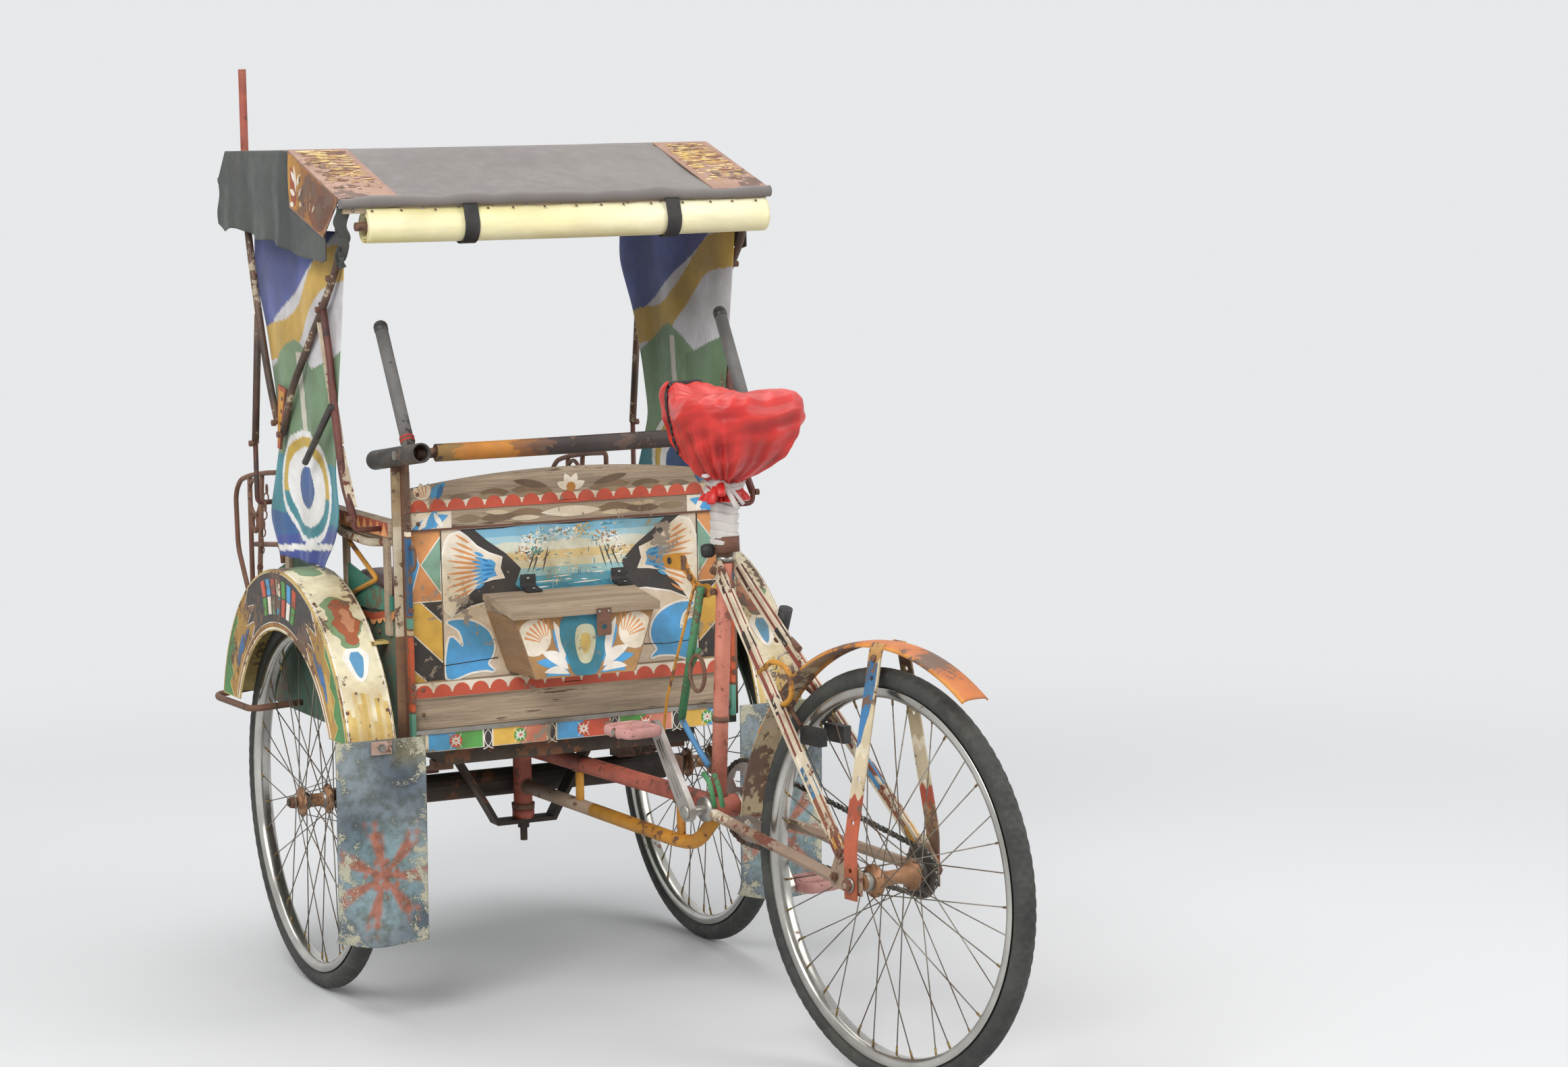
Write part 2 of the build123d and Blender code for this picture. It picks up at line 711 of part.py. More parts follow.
def build_leaf_springs():
    """A pack of three leaves on each side, carried on the axle and meeting the rails at their ends."""
    seat = AXLE_Z + AXLE_RADIUS + SEAT_GAP
    rail = FLOOR_Z - RAIL_HEIGHT
    pieces = []
    for side in (-1, 1):
        across = sorted((side * RAIL_X - LEAF_WIDTH / 2, side * RAIL_X + LEAF_WIDTH / 2))
        pieces.append(block(across, (-20, 20), (seat, seat + 12)))
        for number, reach in enumerate(LEAF_REACHES):
            middle = seat + 14 + number * (LEAF_THICKNESS - 0.4)
            pieces.append(leaf(side_plane(side * RAIL_X), reach, middle))
        for end in (-LEAF_REACHES[-1], LEAF_REACHES[-1]):
            pieces.append(block(across, (end - 12, end + 12), (rail - 18, rail)))
    return gathered(*pieces)


def build_chassis():
    low = FLOOR_Z - RAIL_HEIGHT
    pieces = []
    for side in (-1, 1):
        across = sorted((side * RAIL_X - RAIL_WIDTH / 2, side * RAIL_X + RAIL_WIDTH / 2))
        pieces.append(block(across, (PANEL_Y + BOARD, CABIN_FRONT_Y - 20), (low, FLOOR_Z)))
    for middle in (PANEL_Y + BOARD + 20, KINGPIN_Y, CABIN_FRONT_Y - 40):
        half = 35 if middle == KINGPIN_Y else 20
        pieces.append(block((-RAIL_X, RAIL_X), (middle - half, middle + half), (low, FLOOR_Z)))
    with BuildPart() as chassis:
        for piece in pieces:
            add(piece)
        with BuildSketch(Plane.XY.offset(low)):
            with Locations((0, KINGPIN_Y)):
                Circle(KINGPIN_RADIUS)
        extrude(amount=25, mode=Mode.SUBTRACT)
    return chassis


def build_kingpin_hanger():
    """The bent flat bar below the cabin with the kingpin through it and the nut below."""
    top = FLOOR_Z - RAIL_HEIGHT
    middle = HANGER_LOW + HANGER_THICKNESS / 2
    points = [
        (-205, top - HANGER_THICKNESS / 2),
        (-155, top - HANGER_THICKNESS / 2),
        (-82, 330),
        (-58, middle),
        (58, middle),
        (82, 330),
        (155, top - HANGER_THICKNESS / 2),
        (205, top - HANGER_THICKNESS / 2),
    ]
    with BuildPart() as hanger:
        add(strap(rear_plane(KINGPIN_Y), points, HANGER_THICKNESS, HANGER_WIDTH))
        with BuildSketch(Plane.XY.offset(KINGPIN_LOW)):
            with Locations((0, KINGPIN_Y)):
                Circle(KINGPIN_RADIUS)
        extrude(amount=top + 24 - KINGPIN_LOW)
        with BuildSketch(Plane.XY.offset(HANGER_LOW - 11)):
            with Locations((0, KINGPIN_Y)):
                RegularPolygon(12, 6)
        extrude(amount=11)
    return hanger


def build_floor():
    return gathered(
        block((-SIDE_X, SIDE_X), (PANEL_Y + BOARD, CABIN_FRONT_Y), (FLOOR_Z, FLOOR_Z + FLOOR_THICKNESS)),
        block((-SIDE_X, SIDE_X), (CABIN_FRONT_Y, CABIN_FRONT_Y + 14), (FLOOR_Z - 10, FLOOR_Z + 80)),
    )


WALL_TOP_LINE = (
    (589, 575),
    (500, 640),
    (400, 740),
    (250, 790),
    (60, 764),
    (-60, 735),
    (-190, 735),
    (-302, 770),
)


def build_side_walls():
    """The cabin's two sides, low boards whose top edge rises over the front wheels."""
    low = FLOOR_Z - 12
    outline = [(PANEL_Y + BOARD, low), (CABIN_FRONT_Y + 14, low), *WALL_TOP_LINE]
    wall = slab(side_plane(SIDE_X), outline, SIDE_THICKNESS)
    return gathered(*both_sides(wall))


def build_rear_panel():
    """The boards of the rear panel, from the arched top board down to the bare plank."""
    front = PANEL_Y + BOARD
    gap = SEAT_GAP / 2
    boards = (
        (890, 925.5, 22),
        (615, 890, 18),
        (585, 615, 26),
        (528, 585, 20),
    )
    with BuildPart() as panel:
        for low, high, thick in boards:
            add(block((-PANEL_HALF, PANEL_HALF), (front - thick, front), (low + gap, high - gap)))
        with BuildSketch(rear_plane(front)):
            with BuildLine():
                Line((-PANEL_HALF, 926), (PANEL_HALF, 926))
                Line((PANEL_HALF, 926), (PANEL_HALF, 966))
                ThreePointArc((PANEL_HALF, 966), (0, 991), (-PANEL_HALF, 966))
                Line((-PANEL_HALF, 966), (-PANEL_HALF, 926))
            make_face()
        extrude(amount=24)
    return panel


def build_rear_sill():
    """The tiled beam and its bright strip below the rear panel."""
    return gathered(
        block((12 - PANEL_HALF, PANEL_HALF - 12), (PANEL_Y - 6, PANEL_Y + BOARD), (486, 520)),
        block((-PANEL_HALF, PANEL_HALF), (PANEL_Y - 10, PANEL_Y + BOARD), (520, 527.7)),
    )


def push_arm(side, radius):
    """The tube on one side that carries the push bar, lying on top of the corner upright."""
    x = side * PUSH_ARM_X
    return rod([(x, PUSH_BAR_Y - 30, PUSH_BAR_Z + 4), (x, PUSH_ARM_FRONT_Y, PUSH_ARM_FRONT_Z)], radius)


def build_corner_uprights():
    near = PANEL_HALF + SEAT_GAP
    front = PANEL_Y + BOARD - SEAT_GAP
    with BuildPart() as uprights:
        for side in (-1, 1):
            add(block(sorted((side * near, side * (near + 7))), (PANEL_Y - 14, front), (500, UPRIGHT_TOP)))
            across = sorted((side * near, side * (near + 24)))
            add(block(across, (front - 5, front), (FLOOR_Z + 5, UPRIGHT_TOP)))
            add(push_arm(side, PUSH_ARM_RADIUS + SEAT_GAP), mode=Mode.SUBTRACT)
        across = (-near - 40, near + 40)
        above = block(across, (PANEL_Y - 60, front + 60), (UPRIGHT_TOP - 6, UPRIGHT_TOP + 20))
        add(above, mode=Mode.SUBTRACT)
    return uprights


def build_seat_bench():
    return gathered(
        block((-SIDE_X, SIDE_X), (PANEL_Y + BOARD, 75), (SEAT_Z, SEAT_Z + SEAT_BOARD)),
        block((-SIDE_X, SIDE_X), (45, 60), (FLOOR_Z + FLOOR_THICKNESS, SEAT_Z)),
    )


def build_cushions():
    back = PANEL_Y + BOARD + CUSHION_GAP
    top = SEAT_Z + SEAT_BOARD
    with BuildPart() as cushions:
        half = PANEL_HALF - 7
        add(block((-half, half), (back, 85), (top + CUSHION_GAP, top + CUSHION_THICKNESS)))
        add(block((10 - half, half - 10), (back, back + 60), (top + CUSHION_THICKNESS + 1, 975)))
        fillet(cushions.edges().filter_by(Axis.X).group_by(Axis.Y)[-1], 20)
    return cushions


def build_armrests():
    """On each side a board, a tube below it, and three flat bars that carry it from the wall."""
    x = SIDE_X + 10
    wall = SIDE_X + SIDE_THICKNESS + SEAT_GAP
    start = PANEL_Y + BOARD + 2
    pieces = []
    for side in (-1, 1):
        across = sorted((side * (x - 14), side * (x + 14)))
        pieces.append(block(across, (start, ARMREST_FRONT_Y), (ARMREST_Z, ARMREST_Z + ARMREST_HEIGHT)))
        ends = [(side * x, y, ARMREST_Z - 8) for y in (start, ARMREST_FRONT_Y - 20)]
        pieces.append(wire(ends, 9))
        across = sorted((side * wall, side * (wall + 7)))
        for y in (-280, -60, 280):
            pieces.append(block(across, (y - 12, y + 12), (ARMREST_FOOT_Z, ARMREST_Z + 1)))
    return gathered(*pieces)


def build_front_ironwork():
    """Bent rods and hoops on each side of the passengers' opening, fixed to the wall and the armrest."""
    x = SIDE_X + SIDE_THICKNESS + SEAT_GAP + IRON_RADIUS
    lane = ARMREST_Z + ARMREST_HEIGHT + SEAT_GAP
    rods = (
        ((306, lane), (306, 942), (312, 948), (400, 940), (506, 926), (566, 912), (590, 892), (599, 874)),
        ((599, 876), (599, 862), (596, 785), (590, 765), (513, 657), (470, 620)),
        ((506, 926), (509, 620)),
        ((427, 936), (465, 690)),
        ((480, 790), (336, 804), (318, 798), (310, 770)),
    )
    pieces = [wire([(x, y, z) for y, z in points], IRON_RADIUS) for points in rods]
    pieces.append(ring((x, 476, 885), 38, 8))
    pieces.append(ring((x, 478, 833), 21, 8))
    return gathered(*both_sides(gathered(*pieces).part))


def build_push_bar():
    """The bar the rickshaw is pushed by, its two arms from the corner uprights and two leaning posts."""
    ends = [(side * PUSH_BAR_HALF, PUSH_BAR_Y, PUSH_BAR_Z) for side in (-1, 1)]
    pieces = [rod(ends, PUSH_BAR_RADIUS)]
    for side in (-1, 1):
        x = side * PUSH_ARM_X
        pieces.append(push_arm(side, PUSH_ARM_RADIUS))
        pieces.append(wire([ends[(side + 1) // 2], (x, PUSH_BAR_Y, PUSH_BAR_Z)], 9))
        pieces.append(rod([(x, PUSH_BAR_Y + 25, PUSH_BAR_Z), (x, *GRIP_POST_TOP)], GRIP_POST_RADIUS))
    return gathered(*pieces)


def build_mudguard(side):
    """A sheet guard over a front wheel: curved crown, outer side plate with its arch, and brackets."""
    centre_y, centre_z = GUARD_CENTRE
    outer = side_plane(GUARD_INNER_X)
    with BuildPart() as guard:
        with BuildSketch(outer):
            with Locations(GUARD_CENTRE):
                RegularPolygon(GUARD_RADIUS, GUARD_FACETS)
            with Locations((centre_y, GUARD_LOW_Z - 500)):
                Rectangle(1000, 1000, mode=Mode.SUBTRACT)
        extrude(amount=GUARD_OUTER_X - GUARD_INNER_X)
        with BuildSketch(side_plane(GUARD_INNER_X - 1)):
            with Locations(GUARD_CENTRE):
                RegularPolygon(GUARD_RADIUS - SHEET, GUARD_FACETS)
        extrude(amount=GUARD_OUTER_X - GUARD_INNER_X - SHEET + 1, mode=Mode.SUBTRACT)
        with BuildSketch(side_plane(GUARD_INNER_X)):
            with Locations(ARCH_CENTRE):
                RegularPolygon(ARCH_RADIUS, GUARD_FACETS)
        extrude(amount=GUARD_OUTER_X - GUARD_INNER_X, mode=Mode.SUBTRACT)
        wall = SIDE_X + SIDE_THICKNESS
        for y in (-250, 250):
            height = centre_z + (GUARD_RADIUS**2 - (y - centre_y) ** 2) ** 0.5
            add(block((wall, GUARD_INNER_X + 10), (y - 15, y + 15), (height - 8, height - 3)))
        across = (GUARD_INNER_X, GUARD_OUTER_X)
        add(block(across, (FLAP_Y + SEAT_GAP, FLAP_Y + 24), (GUARD_LOW_Z - 12, GUARD_LOW_Z + 2)))
    shape = guard.part if side > 0 else mirror(guard.part, about=Plane.YZ)
    return gathered(shape)


def build_mudflaps():
    across = (TRACK / 2 - FLAP_HALF, TRACK / 2 + FLAP_HALF)
    flap = block(across, (FLAP_Y - FLAP_THICKNESS, FLAP_Y), (FLAP_LOW, FLAP_TOP))
    return gathered(*both_sides(flap))


def roof_tubes(grow):
    """The two side rails and three cross bars under the roof, each grown by an amount all round."""
    line = [(y, z - ROOF_DROP) for y, z in (ROOF_REAR, ROOF_RIDGE, ROOF_FRONT)]
    tubes = [wire([(side * RIB_X, y, z) for y, z in line], ROOF_TUBE + grow) for side in (-1, 1)]
    for (y, z), inset in zip(line, (6, 0, -6)):
        tubes.append(wire([(-RIB_X, y + inset, z), (RIB_X, y + inset, z)], ROOF_BAR + grow))
    return tubes


RIB_LINES = (
    ((332, 1566), (286, 1385), (255, 1290), (223, 1203), (190, 1127), (150, 1060)),
    ((-262, 1498), (-244, 1404), (-190, 1346), (-126, 1287), (-48, 1223), (66, 1126), (120, 1040)),
    ((-126, 1300), (-162, 1193), (-170, 1134), (-193, 1046), (-214, 975), (-265, 915)),
    ((250, 1262), (292, 1010)),
)
GUSSET_LINE = ((92, 1128), (136, 1134), (150, 1012), (136, 1010))
RIB_FEET = ((-265, 922), (292, 1016))
FOOT_Z = ARMREST_Z + 14


def build_hood_ribs(side):
    """The bent bars that hold the roof on one side, with the pierced gusset that joins them."""
    x = RIB_X
    armrest = SIDE_X + 24 + SEAT_GAP
    with BuildPart() as ribs:
        for points in RIB_LINES:
            add(wire([(x, y, z) for y, z in points], RIB_RADIUS))
        for y, top in RIB_FEET:
            add(wire([(x, y, top), (x, y, FOOT_Z + 5), (x - 5, y, FOOT_Z), (armrest, y, FOOT_Z)], 5))
        add(slab(side_plane(x - GUSSET / 2), GUSSET_LINE, GUSSET))
        for tube in roof_tubes(SEAT_GAP):
            add(tube, mode=Mode.SUBTRACT)
        above = [(y, z - ROOF_DROP) for y, z in (ROOF_REAR, ROOF_RIDGE, ROOF_FRONT)]
        above += [(ROOF_FRONT[0], ROOF_FRONT[1] + 60), (ROOF_REAR[0], ROOF_FRONT[1] + 60)]
        add(slab(side_plane(x - 20), above, 40), mode=Mode.SUBTRACT)
    shape = ribs.part if side > 0 else mirror(ribs.part, about=Plane.YZ)
    return gathered(shape)


CURTAIN_LINE = (
    (300, 1430),
    (308, 1341),
    (244, 1240),
    (206, 1138),
    (179, 1036),
    (211, 969),
    (261, 873),
    (213, 804),
    (60, 801),
    (-60, 801),
    (-137, 860),
    (-164, 913),
    (-148, 986),
    (-171, 1112),
    (-216, 1335),
    (-230, 1430),
)


def build_curtains():
    outer = RIB_X - RIB_RADIUS - SEAT_GAP
    sheet = slab(side_plane(outer - CURTAIN_THICKNESS), CURTAIN_LINE, CURTAIN_THICKNESS)
    return gathered(*both_sides(sheet))


def roof_line(lift):
    """The roof's side outline raised by a lift, from its rear edge over the ridge to the front lip."""
    return [(y, z + lift) for y, z in (ROOF_REAR, ROOF_RIDGE, ROOF_FRONT, ROOF_LIP)]


def build_roof_cover():
    points = roof_line(0) + list(reversed(roof_line(-ROOF_THICKNESS)))
    return gathered(slab(side_plane(-ROOF_HALF), points, 2 * ROOF_HALF))


def build_roof_caps():
    """The painted sheet bands at both ends of the roof's rear slope, each with its side face."""
    x = ROOF_HALF + SEAT_GAP
    raised = [(y, z + CAP_SHEET) for y, z in (ROOF_RIDGE, ROOF_REAR)]
    top = [ROOF_REAR, ROOF_RIDGE, *raised]
    band = slab(side_plane(x - CAP_WIDTH), top, CAP_WIDTH + CAP_SHEET + 3)
    face = [(-31, 1577), (-32, 1472), (-215, 1421), (-305, 1492)]
    cheek = slab(side_plane(x + 3), face, CAP_SHEET)
    return gathered(*both_sides(gathered(band, cheek).part))


def build_roof_frame():
    return gathered(*roof_tubes(0))


SKIRT_LINE = (
    (-31, 1571),
    (342, 1573),
    (391, 1517),
    (360, 1419),
    (234, 1420),
    (54, 1404),
    (-99, 1383),
    (-212, 1372),
    (-218, 1420),
)


def build_roof_skirts():
    skirt = slab(side_plane(ROOF_HALF + SEAT_GAP), SKIRT_LINE, SHEET)
    return gathered(*both_sides(skirt))


def build_blind():
    y = ROOF_REAR[0] + 10
    roll = rod([(-ROOF_HALF, y, BLIND_Z), (ROOF_HALF, y, BLIND_Z)], BLIND_RADIUS)
    return gathered(roll)


def build_flag_pole():
    foot = ROOF_FRONT[1] + SEAT_GAP
    return gathered(round_bar((-RIB_X, 300, foot), (-RIB_X, 300, foot + POLE_HEIGHT), POLE_RADIUS))


# Tool box


def toolbox_outline(grow, low, high):
    slope = (TOOLBOX_TOP_HALF - TOOLBOX_LOW_HALF) / (TOOLBOX_HIGH - TOOLBOX_LOW)
    low_half = TOOLBOX_LOW_HALF + slope * (low - TOOLBOX_LOW) + grow
    high_half = TOOLBOX_LOW_HALF + slope * (high - TOOLBOX_LOW) + grow
    return [
        (TOOLBOX_X - low_half, low),
        (TOOLBOX_X + low_half, low),
        (TOOLBOX_X + high_half, high),
        (TOOLBOX_X - high_half, high),
    ]


def build_toolbox():
    start = PANEL_Y - SEAT_GAP
    drop = TOOLBOX_DEPTH * sin(radians(LID_SLOPE)) / cos(radians(LID_SLOPE))
    wall = TOOLBOX_WALL
    with BuildPart() as toolbox:
        add(slab(rear_plane(start), toolbox_outline(0, TOOLBOX_LOW, TOOLBOX_HIGH + drop), TOOLBOX_DEPTH))
        inner = toolbox_outline(-wall, TOOLBOX_LOW + wall, TOOLBOX_HIGH + drop + 1)
        add(slab(rear_plane(start - wall), inner, TOOLBOX_DEPTH - 2 * wall), mode=Mode.SUBTRACT)
        outer = start - TOOLBOX_DEPTH
        above = [(start + 1, TOOLBOX_HIGH + drop), (outer, TOOLBOX_HIGH), (outer, 900), (start + 1, 900)]
        add(slab(side_plane(-PANEL_HALF), above, 2 * PANEL_HALF), mode=Mode.SUBTRACT)
    return toolbox


def build_toolbox_lid():
    """The sloped lid with its hasp plate in front and its two rubber strap hinges behind."""
    start = PANEL_Y - SEAT_GAP
    lean = radians(LID_SLOPE)
    back = (start, TOOLBOX_HIGH + TOOLBOX_DEPTH * sin(lean) / cos(lean) + SEAT_GAP)
    run = TOOLBOX_DEPTH + 14
    front = (start - run * cos(lean), back[1] - run * sin(lean))
    up = (-sin(lean) * LID_THICKNESS, cos(lean) * LID_THICKNESS)
    front_top = (front[0] + up[0], front[1] + up[1])
    profile = [back, front, front_top, (start, back[1] + LID_THICKNESS / cos(lean))]
    half = TOOLBOX_TOP_HALF + 8
    with BuildPart() as lid:
        add(slab(side_plane(TOOLBOX_X - half), profile, 2 * half))
        near = front[0] + 1
        across = (TOOLBOX_X + HASP_X - 14, TOOLBOX_X + HASP_X + 14)
        add(block(across, (near - HASP_THICKNESS - 1, near), (front[1] - 40, front[1] + 10)))
        with BuildSketch(rear_plane(near + 1)):
            with Locations((TOOLBOX_X + HASP_X, front[1] - 24)):
                Circle(HASP_HOLE_RADIUS)
        extrude(amount=HASP_THICKNESS + 4, mode=Mode.SUBTRACT)
    return lid


FRONT_WHEELS = (("left", -1), ("right", 1))
tyre = build_tyre()
front_wheel = build_wire_wheel(FRONT_HUB_HALF, FRONT_FLANGE_X, FRONT_SPINDLE_RADIUS)
for label, side in FRONT_WHEELS:
    spot = CABIN * Location((side * TRACK / 2, 0, AXLE_Z))
    save(tyre, f"tyre_front_{label}", spot)
    save(front_wheel, f"wheel_front_{label}", spot)
    save(build_mudguard(side), f"mudguard_{label}")
    save(build_hood_ribs(side), f"hood_ribs_{label}")
rear_spot = REAR * Location((0, HUB_Y, AXLE_Z))
save(tyre, "tyre_rear", rear_spot)
save(build_wire_wheel(REAR_HUB_HALF, REAR_FLANGE_X, REAR_AXLE_RADIUS, True), "wheel_rear", rear_spot)
save(build_chain(), "chain", REAR)
save(build_crankset(), "crankset", REAR)
save(build_pedal(1), "pedal_left", REAR)
save(build_pedal(-1), "pedal_right", REAR)
save(build_rear_frame(), "rear_frame", REAR)
save(build_rear_stays(), "rear_stays", REAR)
save(build_rear_fender(), "rear_fender", REAR)
save(build_saddle(), "saddle", REAR)
save(build_seat_post(), "seat_post", REAR)
save(build_brake_linkage(), "brake_linkage", REAR)
save(build_front_axle(), "front_axle", CABIN * Location((0, 0, AXLE_Z)))
CABIN_PIECES = (
    ("leaf_springs", build_leaf_springs),
    ("chassis", build_chassis),
    ("kingpin_hanger", build_kingpin_hanger),
    ("floor_board", build_floor),
    ("side_walls", build_side_walls),
    ("rear_panel", build_rear_panel),
    ("rear_sill", build_rear_sill),
    ("corner_uprights", build_corner_uprights),
    ("seat_bench", build_seat_bench),
    ("seat_cushions", build_cushions),
    ("armrests", build_armrests),
    ("front_ironwork", build_front_ironwork),
    ("push_bar", build_push_bar),
    ("mudflaps", build_mudflaps),
    ("curtains", build_curtains),
    ("roof_cover", build_roof_cover),
    ("roof_caps", build_roof_caps),
    ("roof_frame", build_roof_frame),
    ("roof_skirts", build_roof_skirts),
    ("rolled_blind", build_blind),
    ("flag_pole", build_flag_pole),
    ("tool_box", build_toolbox),
    ("tool_box_lid", build_toolbox_lid),
)
for name, build in CABIN_PIECES:
    save(build(), name)
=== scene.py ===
import math

import bpy
import numpy as np
from mathutils import Matrix, Vector


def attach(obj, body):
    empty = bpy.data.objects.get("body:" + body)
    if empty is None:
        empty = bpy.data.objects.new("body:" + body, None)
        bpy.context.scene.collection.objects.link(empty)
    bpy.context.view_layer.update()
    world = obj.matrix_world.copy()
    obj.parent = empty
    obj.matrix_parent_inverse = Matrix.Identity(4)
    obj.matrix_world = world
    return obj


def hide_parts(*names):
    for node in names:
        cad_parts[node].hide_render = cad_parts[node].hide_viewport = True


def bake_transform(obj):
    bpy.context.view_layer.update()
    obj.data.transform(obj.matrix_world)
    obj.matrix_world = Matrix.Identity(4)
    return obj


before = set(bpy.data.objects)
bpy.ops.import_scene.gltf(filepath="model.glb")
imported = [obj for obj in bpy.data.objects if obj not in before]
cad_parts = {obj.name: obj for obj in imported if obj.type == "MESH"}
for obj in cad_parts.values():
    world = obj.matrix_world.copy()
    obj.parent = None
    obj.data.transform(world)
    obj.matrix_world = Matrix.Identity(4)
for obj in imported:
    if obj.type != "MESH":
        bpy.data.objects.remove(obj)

bl_info = {
    "name": "Cycle rickshaw",
    "version": (1, 0, 0),
    "blender": (4, 2, 0),
    "location": "View3D > Sidebar > Rickshaw",
    "description": "Paint, cloth, wire wheels and small fittings of a cycle rickshaw, round its packed model",
    "category": "Object",
}

# Metres. Cabin pieces are given from the middle of the front axle, rear pieces from the kingpin looking straight.
SHIFT = 0.455358
STEER = math.radians(11)
KINGPIN_Y = -0.055
HUB_Y = -1.13
CRANK_Y = HUB_Y + 0.484
CRANK_Z = 0.405
CRANK_LENGTH = 0.17
WHEEL_R = 0.355


def in_cabin(points):
    """Points from the front axle's middle, moved to the shared frame."""
    moved = np.array(points, float)
    moved[..., 1] += SHIFT
    return moved


def in_rear(points):
    """Points (side, forward, up) from the kingpin, turned to the parked angle and moved to the shared frame."""
    p = np.asarray(points, float)
    c, s = math.cos(STEER), math.sin(STEER)
    x = p[..., 0] * c - p[..., 1] * s
    y = KINGPIN_Y + p[..., 0] * s + p[..., 1] * c + SHIFT
    return np.stack([x, y, p[..., 2]], -1)


def stacked(*parts):
    """Points whose coordinates are given apart, each of any matching shape."""
    return np.stack(np.broadcast_arrays(*parts), -1)


def angles(count):
    """So many angles spread evenly round a full turn."""
    return np.linspace(0, 2 * np.pi, count, endpoint=False)


def run_of(line):
    """How far along a line each of its points lies."""
    return np.r_[0, np.cumsum(np.linalg.norm(np.diff(line, axis=0), axis=1))]


def linear(code):
    """A colour written as six hex digits, in linear light."""
    value = np.array([int(code[i : i + 2], 16) for i in (0, 2, 4)]) / 255
    return tuple(np.where(value <= 0.04045, value / 12.92, ((value + 0.055) / 1.055) ** 2.4).tolist())


# Meshes


def grid(rows, cols, round_rows=False, round_cols=False):
    """The four-sided faces of a grid of points, closed round either way."""
    r = np.arange(rows if round_rows else rows - 1)[:, None]
    c = np.arange(cols if round_cols else cols - 1)[None, :]
    r2, c2 = (r + 1) % rows, (c + 1) % cols
    return np.stack([r * cols + c, r * cols + c2, r2 * cols + c2, r2 * cols + c], -1).reshape(-1, 4)


def enclosed(verts, groups):
    """The volume inside the faces, negative where they face inward: the sum of a.(b x c) over their triangles."""
    total = 0.0
    for faces in groups:
        p = verts[np.asarray(faces)]
        for j in range(1, p.shape[1] - 1):
            total += np.einsum("ij,ij->", p[:, 0], np.cross(p[:, j], p[:, j + 1]))
    return total


# How whole the paint is where a shape doesn't say it: less lets it chip sooner.
WHOLE = {"painted_sheet": 0.84, "painted_wood": 0.94}
UNPAINTED = "ffffff"


class Pile:
    """Shapes gathered into one mesh, each with its material and its paint colour."""

    def __init__(self):
        self.verts, self.faces, self.slots, self.smooth, self.paint = [], [], [], [], []
        self.materials, self.count = [], 0

    def add(self, verts, groups, material, smooth=True, paint=UNPAINTED, closed=True):
        verts = np.asarray(verts, float).reshape(-1, 3)
        groups = [np.asarray(g) for g in groups]
        if closed and enclosed(verts - verts.mean(0), groups) < 0:
            groups = [g[:, ::-1] for g in groups]
        if material not in self.materials:
            self.materials.append(material)
        self.verts.append(verts)
        for g in groups:
            self.faces += (g + self.count).tolist()
            self.slots += [self.materials.index(material)] * len(g)
            self.smooth += [smooth and g.shape[1] < 5] * len(g)
            tone = np.asarray(linear(paint) if isinstance(paint, str) else paint, float)
            corner = np.broadcast_to(tone, (g.size, tone.size)) if tone.ndim == 1 else tone[g.ravel()]
            whole = np.full(g.size, WHOLE.get(material, 1.0))
            self.paint.append(corner if corner.shape[1] == 4 else np.c_[corner, whole])
        self.count += len(verts)

    def loft(self, rings, material, smooth=True, paint=UNPAINTED):
        """Adds the skin over a run of rings (n, k, 3), closed by a face at each end."""
        n, k = rings.shape[:2]
        ends = [np.arange(k)[None, ::-1], (np.arange(k) + (n - 1) * k)[None]]
        self.add(rings, [grid(n, k, round_cols=True), *ends], material, smooth, paint)

    def build(self, name, body, nodes=(), slot=None):
        mesh = bpy.data.meshes.new(name)
        mesh.from_pydata(np.concatenate(self.verts).tolist(), [], self.faces)
        mesh.polygons.foreach_set("material_index", self.slots)
        mesh.polygons.foreach_set("use_smooth", self.smooth)
        layer = mesh.color_attributes.new("paint", "FLOAT_COLOR", "CORNER")
        layer.data.foreach_set("color", np.concatenate(self.paint).ravel())
        for material in self.materials:
            mesh.materials.append(bpy.data.materials[f"worn_{material}"])
        mesh.update()
        piece = bpy.data.objects.new(name, mesh)
        bpy.context.scene.collection.objects.link(piece)
        if body:
            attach(piece, body)
        if nodes:
            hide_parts(*nodes)
        return piece


def carried(path, section, up=(0, 0, 1), round_path=False, swell=None):
    """A flat section (n, 2) carried along a path (m, 3). Each ring lies across it and turns as little as it can."""
    p = np.asarray(path, float)
    t = np.roll(p, -1, 0) - np.roll(p, 1, 0) if round_path else np.gradient(p, axis=0)
    t /= np.linalg.norm(t, axis=1)[:, None]
    side = np.cross(t[0], up)
    if np.linalg.norm(side) < 1e-3:
        side = np.cross(t[0], (1, 0, 0))
    sides = []
    for tangent in t:
        side = side - side.dot(tangent) * tangent
        side = side / np.linalg.norm(side)
        sides.append(side)
    sides = np.array(sides)
    other = np.cross(sides, t)
    s = np.asarray(section, float)[None] * (1 if swell is None else np.asarray(swell, float)[:, None, None])
    return p[:, None] + s[..., :1] * sides[:, None] + s[..., 1:] * other[:, None]


def circle(radius, sides=12, squash=1.0):
    """A ring of points round the origin, pressed flat by squash."""
    a = np.arange(sides) / sides * 2 * np.pi
    return np.stack([radius * np.cos(a), radius * squash * np.sin(a)], -1)


